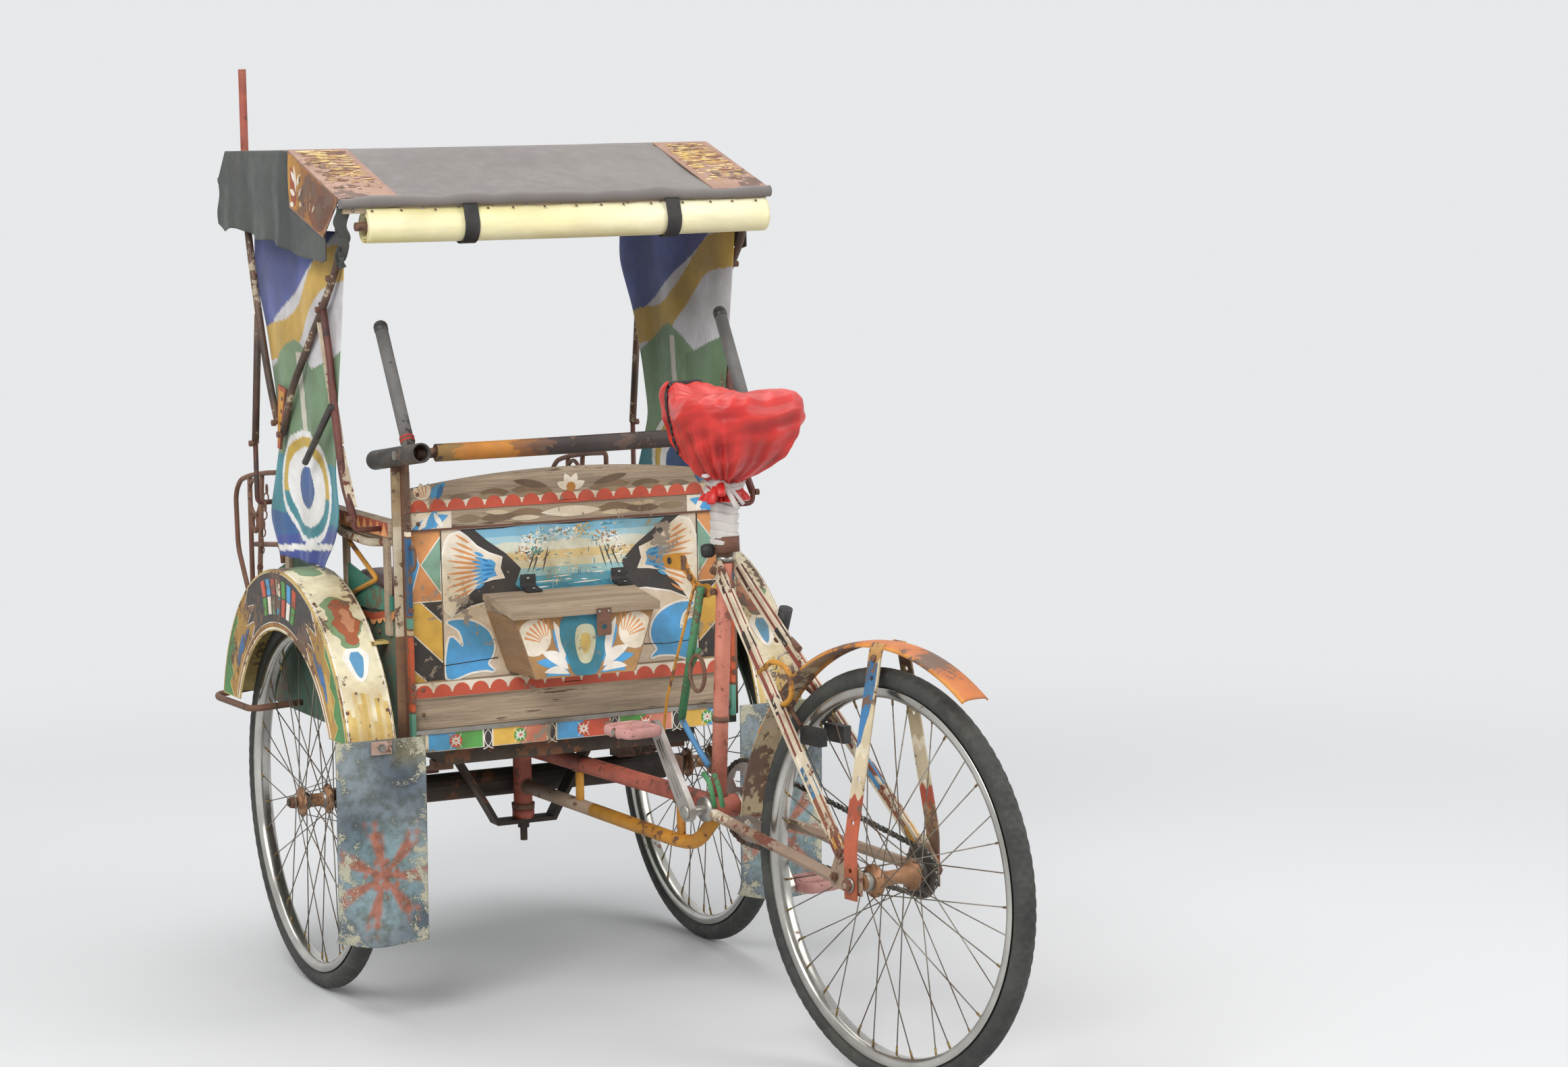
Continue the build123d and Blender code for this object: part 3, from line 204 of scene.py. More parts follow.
def rounded(points, radius, steps=5):
    """A line of points with each corner replaced by a curve: (1-t)^2 a + 2t(1-t) b + t^2 c."""
    p = [np.array(q, float) for q in points]
    out = [p[0]]
    for a, b, c in zip(p, p[1:], p[2:]):
        reach = min(radius, np.linalg.norm(b - a) * 0.49, np.linalg.norm(c - b) * 0.49)
        start = b + (a - b) / np.linalg.norm(a - b) * reach
        end = b + (c - b) / np.linalg.norm(c - b) * reach
        t = np.linspace(0, 1, steps)[:, None]
        out += list((1 - t) ** 2 * start + 2 * t * (1 - t) * b + t**2 * end)
    return np.array(out + [p[-1]])


def tube(pile, points, radius, material, place=in_cabin, sides=12, bend=0.0, squash=1.0, swell=None):
    """A round bar along points, with its corners bent."""
    path = rounded(points, bend) if bend else np.array(points, float)
    rings = carried(place(path), circle(radius, sides, squash), swell=swell)
    pile.loft(rings, material)


def hoop(pile, path, radius, material, place=in_cabin, sides=8, squash=1.0, **how):
    """A round bar along a path that closes on itself."""
    rings = carried(place(path), circle(radius, sides, squash), round_path=True, **how)
    pile.add(rings, [grid(len(rings), sides, True, True)], material)


def strip(pile, path, thin, wide, material, swell=None):
    """A flat band along a path: half its thickness and half its width are given."""
    flat = np.array([(-thin, -wide), (thin, -wide), (thin, wide), (-thin, wide)])
    rings = carried(in_cabin(path), flat, up=(1, 0, 0), swell=swell)
    pile.loft(rings, material, False)


def thickened(piece, thickness, offset=-1.0):
    solid = piece.modifiers.new("thickness", "SOLIDIFY")
    solid.thickness, solid.offset = thickness, offset


def plug(start, end, radius, inner=0):
    """The profile of a straight round piece, or of a ring where it has an inner radius."""
    return [(start, inner), (start, radius), (end, radius), (end, inner)]


def bolt(radius, rise, shank, end):
    """The profile of a nut with the bolt's end standing out of it."""
    return [(0, 0), (0, radius), (rise, radius), (rise, shank), (end, shank), (end, 0)]


def nail_head(rim, radius, rise, shoulder, top):
    """The profile of a low rounded head: its radius at the height of its rim, its shoulder's, and its top."""
    return [(0, 0), (rim, radius), (rise, shoulder), (top, 0)]


def mirrored(half):
    """A line of (across, radius) that ends on the middle, and the same line back on the other side."""
    return [*half, *((-x, r) for x, r in reversed(half[:-1]))]


def chamfered(radius, rise, rim, end):
    """The profile of a nut or cap whose outer edge is bevelled to a rim."""
    return [(0, 0), (0, radius), (rise, radius), (end, rim), (end, 0)]


def turned(pile, profile, centre, axis, material, segments=32, place=in_cabin, smooth=True, round_profile=False):
    """A profile of (along, radius) turned about an axis through a centre."""
    axis = np.array(axis, float) / np.linalg.norm(axis)
    first = np.cross(axis, (0, 0, 1) if abs(axis[2]) < 0.9 else (1, 0, 0))
    first /= np.linalg.norm(first)
    second = np.cross(axis, first)
    a = np.arange(segments) / segments * 2 * np.pi
    h, r = np.asarray(profile, float).T
    around = np.cos(a)[:, None] * first + np.sin(a)[:, None] * second
    rings = np.asarray(centre, float) + h[:, None, None] * axis + r[:, None, None] * around[None]
    rings = place(rings)
    if round_profile:
        pile.add(rings, [grid(len(h), segments, True, True)], material, smooth)
        return
    first, last = int(r[0] == 0), len(h) - int(r[-1] == 0)
    body, count, k = rings[first:last], last - first, np.arange(segments)
    verts = np.concatenate([body.reshape(-1, 3), rings[:1, 0], rings[-1:, 0]])
    groups, end = [grid(count, segments, round_cols=True)], k + (count - 1) * segments
    groups.append(np.c_[np.full(segments, count * segments), np.roll(k, -1), k] if r[0] == 0 else k[None, ::-1])
    groups.append(np.c_[np.full(segments, count * segments + 1), end, np.roll(end, -1)] if r[-1] == 0 else end[None])
    pile.add(verts, groups, material, smooth)


def prism(pile, outline, place, depth, material, base=0.0, paint=UNPAINTED):
    """A flat outline given thickness: place(a, b, height) puts its points in the shared frame."""
    o = np.asarray(outline, float)
    x, y = o.T
    if np.sum(x * np.roll(y, -1) - np.roll(x, -1) * y) < 0:
        o = o[::-1]
    rings = np.stack([place(o[:, 0], o[:, 1], base), place(o[:, 0], o[:, 1], base + depth)])
    pile.loft(rings, material, False, paint)


def box(pile, low, high, material, place=in_cabin, paint=UNPAINTED):
    """A straight-sided block between two corners."""
    (x0, y0, z0), (x1, y1, z1) = low, high
    ring = np.array([(x0, y0), (x1, y0), (x1, y1), (x0, y1)])
    rings = np.stack([np.c_[ring, np.full(4, z)] for z in (z0, z1)])
    pile.loft(place(rings), material, False, paint)


# Outlines


def disc(x, y, radius, n=20):
    """A round spot."""
    return circle(radius, n) + (x, y)


def sector(x, y, radius, start, end, n=12):
    """A half disc, or any slice of one, closed by its chord."""
    a = np.radians(np.linspace(start, end, n))
    return np.stack([x + radius * np.cos(a), y + radius * np.sin(a)], -1)


def wedge(x, y, inner, outer, start, end):
    """A ray between two radii."""
    a = np.radians(np.linspace(start, end, 5))
    ring = np.stack([np.cos(a), np.sin(a)], -1)
    return np.concatenate([ring * inner, ring[::-1] * outer]) + (x, y)


def rect(x0, x1, y0, y1):
    """An upright oblong."""
    return np.array([(x0, y0), (x1, y0), (x1, y1), (x0, y1)])


def leaf(x, y, length, width, angle, bow=0.0):
    """A pointed leaf from (x, y): half width w/2 sin(pi t)^0.8, bowed sideways by bow sin(pi t)."""
    t = np.linspace(0, 1, 9)
    half = width / 2 * np.sin(np.pi * t) ** 0.8
    spine = bow * np.sin(np.pi * t)
    side = np.concatenate([np.c_[length * t, spine + half], np.c_[length * t, spine - half][::-1][1:-1]])
    c, s = math.cos(math.radians(angle)), math.sin(math.radians(angle))
    return np.c_[side[:, 0] * c - side[:, 1] * s, side[:, 0] * s + side[:, 1] * c] + (x, y)


def flowing(points, steps=5):
    """A closed curve through points: each piece is a cubic through its neighbours."""
    p = np.asarray(points, float)
    a, b, c, d = (np.roll(p, k, 0)[:, None] for k in (1, 0, -1, -2))
    t = (np.arange(steps) / steps)[None, :, None]
    curve = 0.5 * (2 * b + (c - a) * t + (2 * a - 5 * b + 4 * c - d) * t**2 + (3 * b - a - 3 * c + d) * t**3)
    return curve.reshape(-1, 2)


def grown(outline, amount):
    """An outline moved outward by an amount, along the mean of the normals beside each point."""
    o = np.asarray(outline, float)
    x, y = o.T
    way = 1 if np.sum(x * np.roll(y, -1) - np.roll(x, -1) * y) > 0 else -1
    d = np.roll(o, -1, 0) - np.roll(o, 1, 0)
    d /= np.linalg.norm(d, axis=1)[:, None] + 1e-9
    return o + way * amount * np.c_[d[:, 1], -d[:, 0]]


def stroke(points, width):
    """A band of even width along an open line of points."""
    p = np.asarray(points, float)
    d = np.gradient(p, axis=0)
    d /= np.linalg.norm(d, axis=1)[:, None]
    n = np.c_[-d[:, 1], d[:, 0]] * width / 2
    return np.concatenate([p + n, (p - n)[::-1]])


def facing_rear(y):
    """Puts an outline's (x, z) on the plane at y, with its height towards the rear."""
    return lambda a, b, h: in_cabin(stacked(a, y - h, b))


def facing_side(x):
    """Puts an outline's (y, z) on the plane at x, with its height away from the middle."""
    way = 1 if x > 0 else -1
    return lambda a, b, h: in_cabin(stacked(x + way * h, a, b))


def across_rear(x):
    """Puts an outline's (forward, up) on the rear frame's plane at x, with its height to the right."""
    return lambda a, b, h: in_rear(stacked(x + h, a, b))


LAYER = 0.00035  # height of one coat of paint
OWN_STEP, OWN_STEPS = 0.05, 9  # neighbours on one layer differ by a part of a coat, so that none share a plane


def painted(pile, shapes, place, material="painted_wood", mirror=False):
    """Flat painted shapes as thin plates. Each one is (outline, colour, layer), and higher layers lie on top."""
    for number, (outline, colour, layer) in enumerate(shapes):
        height = LAYER * (layer + 1 + OWN_STEP * (number % OWN_STEPS))
        for way in (1, -1)[: 1 + mirror]:
            prism(pile, np.asarray(outline) * (way, 1), place, height, material, base=-LAYER, paint=colour)


# Materials


def node(tree, kind, inputs=None, **settings):
    """A shader node whose inputs are other sockets or constants."""
    made = tree.nodes.new("ShaderNode" + kind)
    for key, value in settings.items():
        setattr(made, key, value)
    for key, value in (inputs or {}).items():
        if isinstance(value, bpy.types.NodeSocket):
            tree.links.new(value, made.inputs[key])
        else:
            made.inputs[key].default_value = value
    return made


def ramp(tree, factor, stops):
    """A colour ramp: stops are (position, colour)."""
    made = node(tree, "ValToRGB", {0: factor})
    band = made.color_ramp
    while len(band.elements) < len(stops):
        band.elements.new(0.5)
    for element, (position, colour) in zip(band.elements, stops):
        element.position = position
        element.color = (colour,) * 3 + (1,) if isinstance(colour, (int, float)) else colour
    return made.outputs[0]


def mixed(tree, factor, a, b, blend="MIX"):
    """The colour between a and b at a factor, or b laid on a by another blend."""
    made = node(tree, "Mix", {0: factor, 6: a, 7: b}, data_type="RGBA", blend_type=blend)
    return made.outputs[2]


def finish(
    name, colour, second, worn, chips, scale, rough, metal,
    grain=(1, 1, 1), bump=0.25, dirt=0.35, soil="3a3027", worn_metal=None, sheen=0.0, streak=0.0, low=None,
):
    """Weathered paint, metal, wood or cloth: broad and fine noise mix two tones, chip it, soil it and roughen it.

    A finish whose colour is UNPAINTED takes each shape's own colour from the paint attribute. The fourth number there
    is how whole the paint is: less than 1 lowers the level at which it chips.
    """
    paint = colour == UNPAINTED
    worn_metal = min(metal, 0.1) if worn_metal is None else worn_metal
    material = bpy.data.materials.new(f"worn_{name}")
    material.use_nodes = True
    tree = material.node_tree
    shader = tree.nodes["Principled BSDF"]
    place = node(tree, "TexCoord").outputs["Object"]
    place = node(tree, "Mapping", {0: place, 3: grain}).outputs[0]
    broad = node(tree, "TexNoise", {"Vector": place, "Scale": scale * 0.14, "Detail": 4.0}).outputs[0]
    fine = node(tree, "TexNoise", {"Vector": place, "Scale": scale, "Detail": 8.0, "Roughness": 0.65}).outputs[0]
    tone, other = linear(colour) + (1,), linear(second) + (1,)
    if paint:
        given = node(tree, "Attribute", attribute_name="paint").outputs["Color"]
        dull = mixed(tree, 1.0, given, other, "MULTIPLY")
        base = mixed(tree, ramp(tree, broad, [(0.42, 0), (0.62, 1)]), given, dull)
    else:
        base = mixed(tree, ramp(tree, broad, [(0.38, 0), (0.62, 1)]), tone, other)
    if streak:
        long = node(tree, "Mapping", {0: place, 3: (0.5, 5, 5)}).outputs[0]
        grit = {"Vector": long, "Scale": scale * 1.6, "Detail": 5.0, "Roughness": 0.7}
        lines = node(tree, "TexNoise", grit).outputs[0]
        shade = ramp(tree, lines, [(0.3, 1 - streak), (0.5, 0.92), (0.68, 1.0)])
        base = mixed(tree, 1.0, base, shade, "MULTIPLY")
    if low:
        height = node(tree, "SeparateXYZ", {0: node(tree, "TexCoord").outputs["Object"]}).outputs[2]
        height = node(tree, "Math", {0: fine, 1: 0.12, 2: height}, operation="MULTIPLY_ADD").outputs[0]
        below = ramp(tree, height, [(low[0] + 0.055, 1), (low[0] + 0.065, 0)])
        base = mixed(tree, below, base, linear(low[1]) + (1,))
    both = node(tree, "Math", {0: fine, 1: broad}, operation="ADD").outputs[0]
    half = node(tree, "Math", {0: both, 1: 0.5}, operation="MULTIPLY").outputs[0]
    if paint:
        whole = node(tree, "Attribute", attribute_name="paint").outputs["Alpha"]
        half = node(tree, "Math", {0: whole, 1: -0.25, 2: half}, operation="MULTIPLY_ADD").outputs[0]
        half = node(tree, "Math", {0: half, 1: 0.25}, operation="ADD").outputs[0]
    gone = ramp(tree, half, [(chips - 0.012, 0), (chips + 0.012, 1)])
    base = mixed(tree, gone, base, linear(worn) + (1,))
    stain = node(tree, "TexNoise", {"Vector": place, "Scale": scale * 0.35, "Detail": 6.0, "Roughness": 0.7}).outputs[0]
    soiled = ramp(tree, stain, [(0.45, 0), (0.72, dirt)])
    base = mixed(tree, soiled, base, linear(soil) + (1,))
    tree.links.new(base, shader.inputs["Base Color"])
    spread = node(tree, "MapRange", {0: fine, 1: 0.3, 2: 0.7, 3: rough[0], 4: rough[1]}).outputs[0]
    tree.links.new(spread, shader.inputs["Roughness"])
    if metal != worn_metal:
        share = node(tree, "MapRange", {0: gone, 3: metal, 4: worn_metal}).outputs[0]
        tree.links.new(share, shader.inputs["Metallic"])
    else:
        shader.inputs["Metallic"].default_value = metal
    if sheen:
        shader.inputs["Sheen Weight"].default_value = sheen
    height = node(tree, "MapRange", {0: gone, 3: 1.0, 4: 0.3}).outputs[0]
    height = node(tree, "Math", {0: fine, 1: height}, operation="MULTIPLY").outputs[0]
    relief = node(tree, "Bump", {"Strength": bump, "Distance": 0.002, "Height": height}).outputs[0]
    tree.links.new(relief, shader.inputs["Normal"])


FINISHES = (
    # name, colour, second tone, worn colour, chips, scale, roughness, metal, extras
    ("tyre_rubber", "2a2b29", "383a36", "5c574b", 0.68, 60, (0.6, 0.85), 0.0, {"dirt": 0.22, "soil": "6f6a5c"}),
    ("rim_chrome", "c9c7c1", "a5a29b", "6b4a33", 0.625, 30, (0.14, 0.3), 0.92, {"dirt": 0.22, "bump": 0.03}),
    ("spoke_steel", "8a857a", "6f675a", "5d4534", 0.56, 80, (0.35, 0.6), 0.8, {}),
    ("dark_iron", "37302b", "4a3d33", "70492f", 0.57, 50, (0.5, 0.8), 0.35, {"dirt": 0.4}),
    ("black_paint", "2c2928", "3c3733", "5f4b3c", 0.585, 60, (0.35, 0.6), 0.1, {"worn_metal": 0.0, "soil": "6b6055"}),
    ("chrome", "c4c1bb", "a39f97", "6a4b38", 0.64, 45, (0.25, 0.42), 0.85, {"dirt": 0.2, "bump": 0.05}),
    ("steel", "a9a79f", "87827a", "6a5040", 0.6, 50, (0.3, 0.55), 0.85, {"bump": 0.08}),
    ("frame_red", "b0604c", "96493a", "6b4432", 0.555, 55, (0.45, 0.75), 0.0, {"dirt": 0.45}),
    ("hub_rust", "8f6446", "a9805e", "5a4030", 0.58, 60, (0.45, 0.7), 0.5, {"dirt": 0.4, "bump": 0.15}),
    (
        "crank_steel", "b9b3ac", "a09992", "7a5a44", 0.63, 40, (0.28, 0.45), 0.75,
        {"worn_metal": 0.2, "dirt": 0.25, "bump": 0.04},
    ),
    ("seat_tube_salmon", "c97f6a", "bb6f5a", "7a4a38", 0.575, 90, (0.45, 0.75), 0.0, {"soil": "6a4030"}),
    ("low_tube_brown", "8d7560", "9a8b78", "5e4636", 0.55, 50, (0.5, 0.8), 0.0, {"dirt": 0.4}),
    ("ochre", "c98f2e", "b77a26", "6e4a2c", 0.565, 50, (0.45, 0.75), 0.0, {"dirt": 0.4}),
    (
        "stay_cream", "d9ccb2", "b8a58a", "6d3a2b", 0.54, 50, (0.5, 0.8), 0.0,
        {"dirt": 0.45, "soil": "6a4a36", "low": (0.403, "927c68")},
    ),
    ("fender_paint", "a9602f", "8a4e2c", "5a4232", 0.54, 45, (0.5, 0.8), 0.0, {"dirt": 0.45}),
    (
        "weathered_wood", "a8937a", "bba68c", "6b5a49", 0.615, 14, (0.65, 0.9), 0.0,
        {"grain": (1, 9, 9), "bump": 0.7, "dirt": 0.5, "soil": "54463a", "streak": 0.68},
    ),
    (
        "box_wood", "94704c", "a8845c", "5c4633", 0.6, 14, (0.6, 0.85), 0.0,
        {"grain": (9, 1, 9), "bump": 0.5, "dirt": 0.4, "streak": 0.4},
    ),
    ("painted_wood", UNPAINTED, "d8cdbc", "8c7d6b", 0.61, 60, (0.45, 0.75), 0.0, {"dirt": 0.28, "soil": "5a4d40"}),
    ("painted_sheet", UNPAINTED, "d6c8b2", "6b5140", 0.6, 55, (0.4, 0.7), 0.0, {"dirt": 0.3, "soil": "4f4034"}),
    (
        "painted_cloth", UNPAINTED, "d9d6cf", "8d887c", 0.68, 50, (0.7, 0.9), 0.0,
        {"dirt": 0.22, "soil": "5f5a50", "sheen": 0.1},
    ),
    (
        "tarpaulin", "6d6764", "77716d", "85807b", 0.665, 35, (0.55, 0.8), 0.0,
        {"dirt": 0.22, "soil": "7d746a", "bump": 0.15},
    ),
    (
        "skirt_rubber", "3b3f3c", "474a45", "5a5750", 0.66, 30, (0.42, 0.62), 0.0,
        {"dirt": 0.3, "soil": "5a5448", "bump": 0.12},
    ),
    ("cap_gold", "8a6552", "9c7660", "5f4333", 0.6, 40, (0.4, 0.65), 0.0, {"dirt": 0.4, "soil": "5c3f30"}),
    (
        "blind_cream", "e4da9c", "f1eac6", "b09a60", 0.67, 22, (0.4, 0.6), 0.0,
        {"grain": (0.6, 3, 3), "dirt": 0.25, "soil": "9a7f48"},
    ),
    ("green_board", "2f6b57", "3b7a66", "5f5a44", 0.58, 45, (0.5, 0.8), 0.0, {"dirt": 0.4}),
    ("floor_green", "3d5c4c", "4c6653", "6a5a48", 0.56, 35, (0.6, 0.85), 0.0, {"dirt": 0.5, "soil": "5c5040"}),
    ("guard_cream", "d6c084", "c4a860", "7a5c3c", 0.57, 45, (0.5, 0.8), 0.0, {"dirt": 0.45, "soil": "5c4632"}),
    ("seat_vinyl", "5a2a24", "6b352c", "40302a", 0.66, 40, (0.4, 0.6), 0.0, {"dirt": 0.2, "sheen": 0.05}),
    (
        "red_nylon", "c3211d", "cc3029", "a01f1e", 0.66, 38, (0.32, 0.5), 0.0,
        {"dirt": 0.25, "soil": "8a1a1c", "bump": 0.5},
    ),
    (
        "pleated_nylon", UNPAINTED, "f2e2e0", "a01f1e", 0.7, 38, (0.32, 0.5), 0.0,
        {"dirt": 0.2, "soil": "7c1518", "bump": 0.4},
    ),
    ("stay_stripes", UNPAINTED, "d8ccc0", "c9b99c", 0.56, 75, (0.5, 0.8), 0.0, {"dirt": 0.45, "soil": "5a4436"}),
    ("white_cloth", "cfc9c4", "b8b1ab", "8b837a", 0.66, 60, (0.75, 0.95), 0.0, {"soil": "7d746a", "sheen": 0.15}),
    ("rubber_black", "1f1e1d", "2b2928", "4a4643", 0.64, 60, (0.5, 0.75), 0.0, {"dirt": 0.25, "soil": "5a544c"}),
    ("rust", "6b4a3a", "7d5b47", "4a352b", 0.58, 60, (0.6, 0.85), 0.2, {"worn_metal": 0.0, "dirt": 0.4}),
    ("brass", "8f7a4c", "7a6640", "5a4632", 0.58, 60, (0.4, 0.6), 0.7, {}),
    ("chain_steel", "4a4743", "6a665f", "5a3f2e", 0.58, 90, (0.35, 0.6), 0.7, {"dirt": 0.5, "soil": "1f1b18"}),
    ("flap_spray", UNPAINTED, "c9c6bd", "b7b39c", 0.655, 330, (0.5, 0.8), 0.0, {"soil": "4a4a4a", "bump": 0.4}),
    ("rust_pale", "a58a7a", "b89a88", "6b4a3a", 0.58, 60, (0.6, 0.85), 0.1, {"worn_metal": 0.0, "dirt": 0.3}),
    ("green_paint", "4f8f5c", "3f7a50", "5d4a38", 0.58, 60, (0.45, 0.75), 0.0, {"dirt": 0.3}),
    ("rib_red", "6a3a30", "55302a", "3a2a25", 0.57, 55, (0.45, 0.75), 0.0, {}),
    ("rib_chipped", "43352e", "6a4e3c", "b3a488", 0.575, 75, (0.45, 0.75), 0.0, {}),
    ("grip_grey", "5d5b59", "6f6c69", "3f3c3a", 0.6, 60, (0.5, 0.75), 0.0, {"dirt": 0.3}),
    ("blue_paint", "3f74a0", "4f86b0", "5d4a38", 0.58, 60, (0.45, 0.75), 0.0, {"dirt": 0.3}),
    ("pedal_salmon", "c99a92", "b98078", "7d6258", 0.57, 70, (0.6, 0.85), 0.0, {}),
)

NODE_FINISH = {
    "front_axle": "dark_iron", "leaf_springs": "rust", "kingpin_hanger": "dark_iron", "chassis": "dark_iron",
    "floor_board": "floor_green", "side_walls": "floor_green", "seat_bench": "weathered_wood",
    "rear_panel": "weathered_wood", "rear_sill": "steel", "corner_uprights": "rust", "armrests": "weathered_wood",
    "front_ironwork": "rust", "push_bar": "black_paint", "mudguard_left": "guard_cream",
    "mudguard_right": "guard_cream", "hood_ribs_left": "dark_iron", "hood_ribs_right": "dark_iron",
    "roof_caps": "cap_gold", "roof_frame": "dark_iron", "flag_pole": "frame_red", "tool_box": "weathered_wood",
    "rear_frame": "frame_red", "rear_stays": "stay_cream", "rear_fender": "fender_paint", "brake_linkage": "ochre",
    "crankset": "crank_steel", "pedal_left": "pedal_salmon", "pedal_right": "pedal_salmon", "seat_post": "steel",
}

RED, ORANGE, OCHRE, YELLOW = "cf5a41", "de9a60", "bd7f36", "e2b650"
CREAM, WHITE, BEIGE, BLUE = "efe4cf", "f4efe5", "dccbb4", "55a5dc"
TEAL, GREEN, BLACK, DEEP = "3b87a0", "84ab95", "3a3634", "2f78b8"
LEAF_GREEN, BRICK = "5aa24e", "a34a30"


def wheel_place(centre, turn):
    """Puts points given from a hub (across, forward, up) in the shared frame."""
    c, s = math.cos(turn), math.sin(turn)

    def place(points):
        p = np.asarray(points, float)
        return np.stack([p[..., 0] * c - p[..., 1] * s, p[..., 0] * s + p[..., 1] * c, p[..., 2]], -1) + centre

    return place


WHEELS = (
    # label, hub in the shared frame, turn, hub half, flange x
    ("front_left", (-0.4, SHIFT, WHEEL_R), 0.0, 0.036, 0.026),
    ("front_right", (0.4, SHIFT, WHEEL_R), 0.0, 0.036, 0.026),
    ("rear", tuple(in_rear((0, HUB_Y, WHEEL_R))), STEER, 0.07, 0.04),
)
SPOKES = 36
BODY_OF = {"front_left": "front_wheel_left", "front_right": "front_wheel_right", "rear": "rear_wheel"}


class WheelSettings(bpy.types.PropertyGroup):
    """Sizes of the tyres and wire wheels."""

    lugs: bpy.props.IntProperty(name="Tread blocks", description="Blocks round one row of the tread", default=92)
    lug_height: bpy.props.FloatProperty(
        name="Block height", description="How far a tread block stands up", default=0.0014, unit="LENGTH"
    )
    spoke_radius: bpy.props.FloatProperty(
        name="Spoke radius", description="Half the thickness of a spoke", default=0.0011, unit="LENGTH"
    )


class RICKSHAW_OT_tyres(bpy.types.Operator):
    """Makes the three tyres, each with rows of tread blocks.

    Round the tread at the angle p, radius = 0.3377 + (0.0159 + h) cos p and x = (0.0188 + h/2) sin p, where h is the
    block height inside a block and 0 between blocks. Four rings of points close it along the beads.
    """

    bl_idname = "rickshaw.tyres"
    bl_label = "Tyres"

    def execute(self, context):
        settings = context.scene.rickshaw_wheels
        lugs, height = settings.lugs, settings.lug_height
        around, across, row_step = lugs * 8, 33, 24  # degrees of the section from one row of blocks to the next
        u = angles(around)[:, None]
        phi = np.radians(np.linspace(-128, 128, across))[None]
        row = np.round(np.degrees(phi) / row_step)
        saw = (u * lugs / (2 * np.pi) + 0.5 * (row % 2)) % 1.0
        block = np.clip((0.36 - np.abs(saw - 0.5)) * 12, 0, 1)
        between = np.clip((10.5 - np.abs(np.degrees(phi) - row_step * row)) / 2.0, 0, 1)
        shoulder = np.clip((0.3 - np.abs(saw - 0.5)) * 12, 0, 1) * 0.6
        block = block * between * (np.abs(row) <= 2) + (np.abs(row) == 3) * shoulder
        radius = 0.3377 + (0.0159 + block * height) * np.cos(phi)
        x = (0.0188 + block * height * 0.5) * np.sin(phi)
        bead_x = np.array([0.0115, 0.0105, -0.0105, -0.0115])
        bead_r = np.array([0.3235, 0.3178, 0.3178, 0.3235])
        x = np.concatenate([x, np.repeat(bead_x[None], around, 0)], 1)
        radius = np.concatenate([radius, np.repeat(bead_r[None], around, 0)], 1)
        ring = np.stack([x, radius * np.cos(u), radius * np.sin(u)], -1)
        for label, hub, turn, _, _ in WHEELS:
            pile = Pile()
            faces = grid(around, across + len(bead_x), True, True)
            pile.add(wheel_place(hub, turn)(ring), [faces], "tyre_rubber")
            pile.build(f"tyre_{label}_tread", BODY_OF[label], [f"tyre_{label}"], "tyre")
        return {"FINISHED"}


RIM = (
    *mirrored([(-0.016, 0.3225), (-0.0145, 0.3236), (-0.013, 0.3225), (-0.0124, 0.3165), (-0.008, 0.313), (0, 0.3118)]),
    *mirrored([(0.0162, 0.312), (0.013, 0.3066), (0.006, 0.3045), (0, 0.3041)]),
)


PITCH = 0.0127
SPROCKET_TEETH, CHAINRING_TEETH = 20, 38
CHAIN_X = 0.061  # the chain's middle, to the right of the rear frame's


def pitch_radius(count):
    """The radius at which a chain's pins lie on a wheel with so many teeth."""
    return PITCH / 2 / math.sin(math.pi / count)


def teeth(count):
    """The outline of a chain wheel: its radius rises and falls once a tooth, with rounded gaps."""
    a = angles(count * 8)
    r = pitch_radius(count) + 0.0006 + 0.0034 * np.clip(np.cos(a * count) * 1.4, -1, 1)
    return np.c_[r * np.cos(a), r * np.sin(a)]


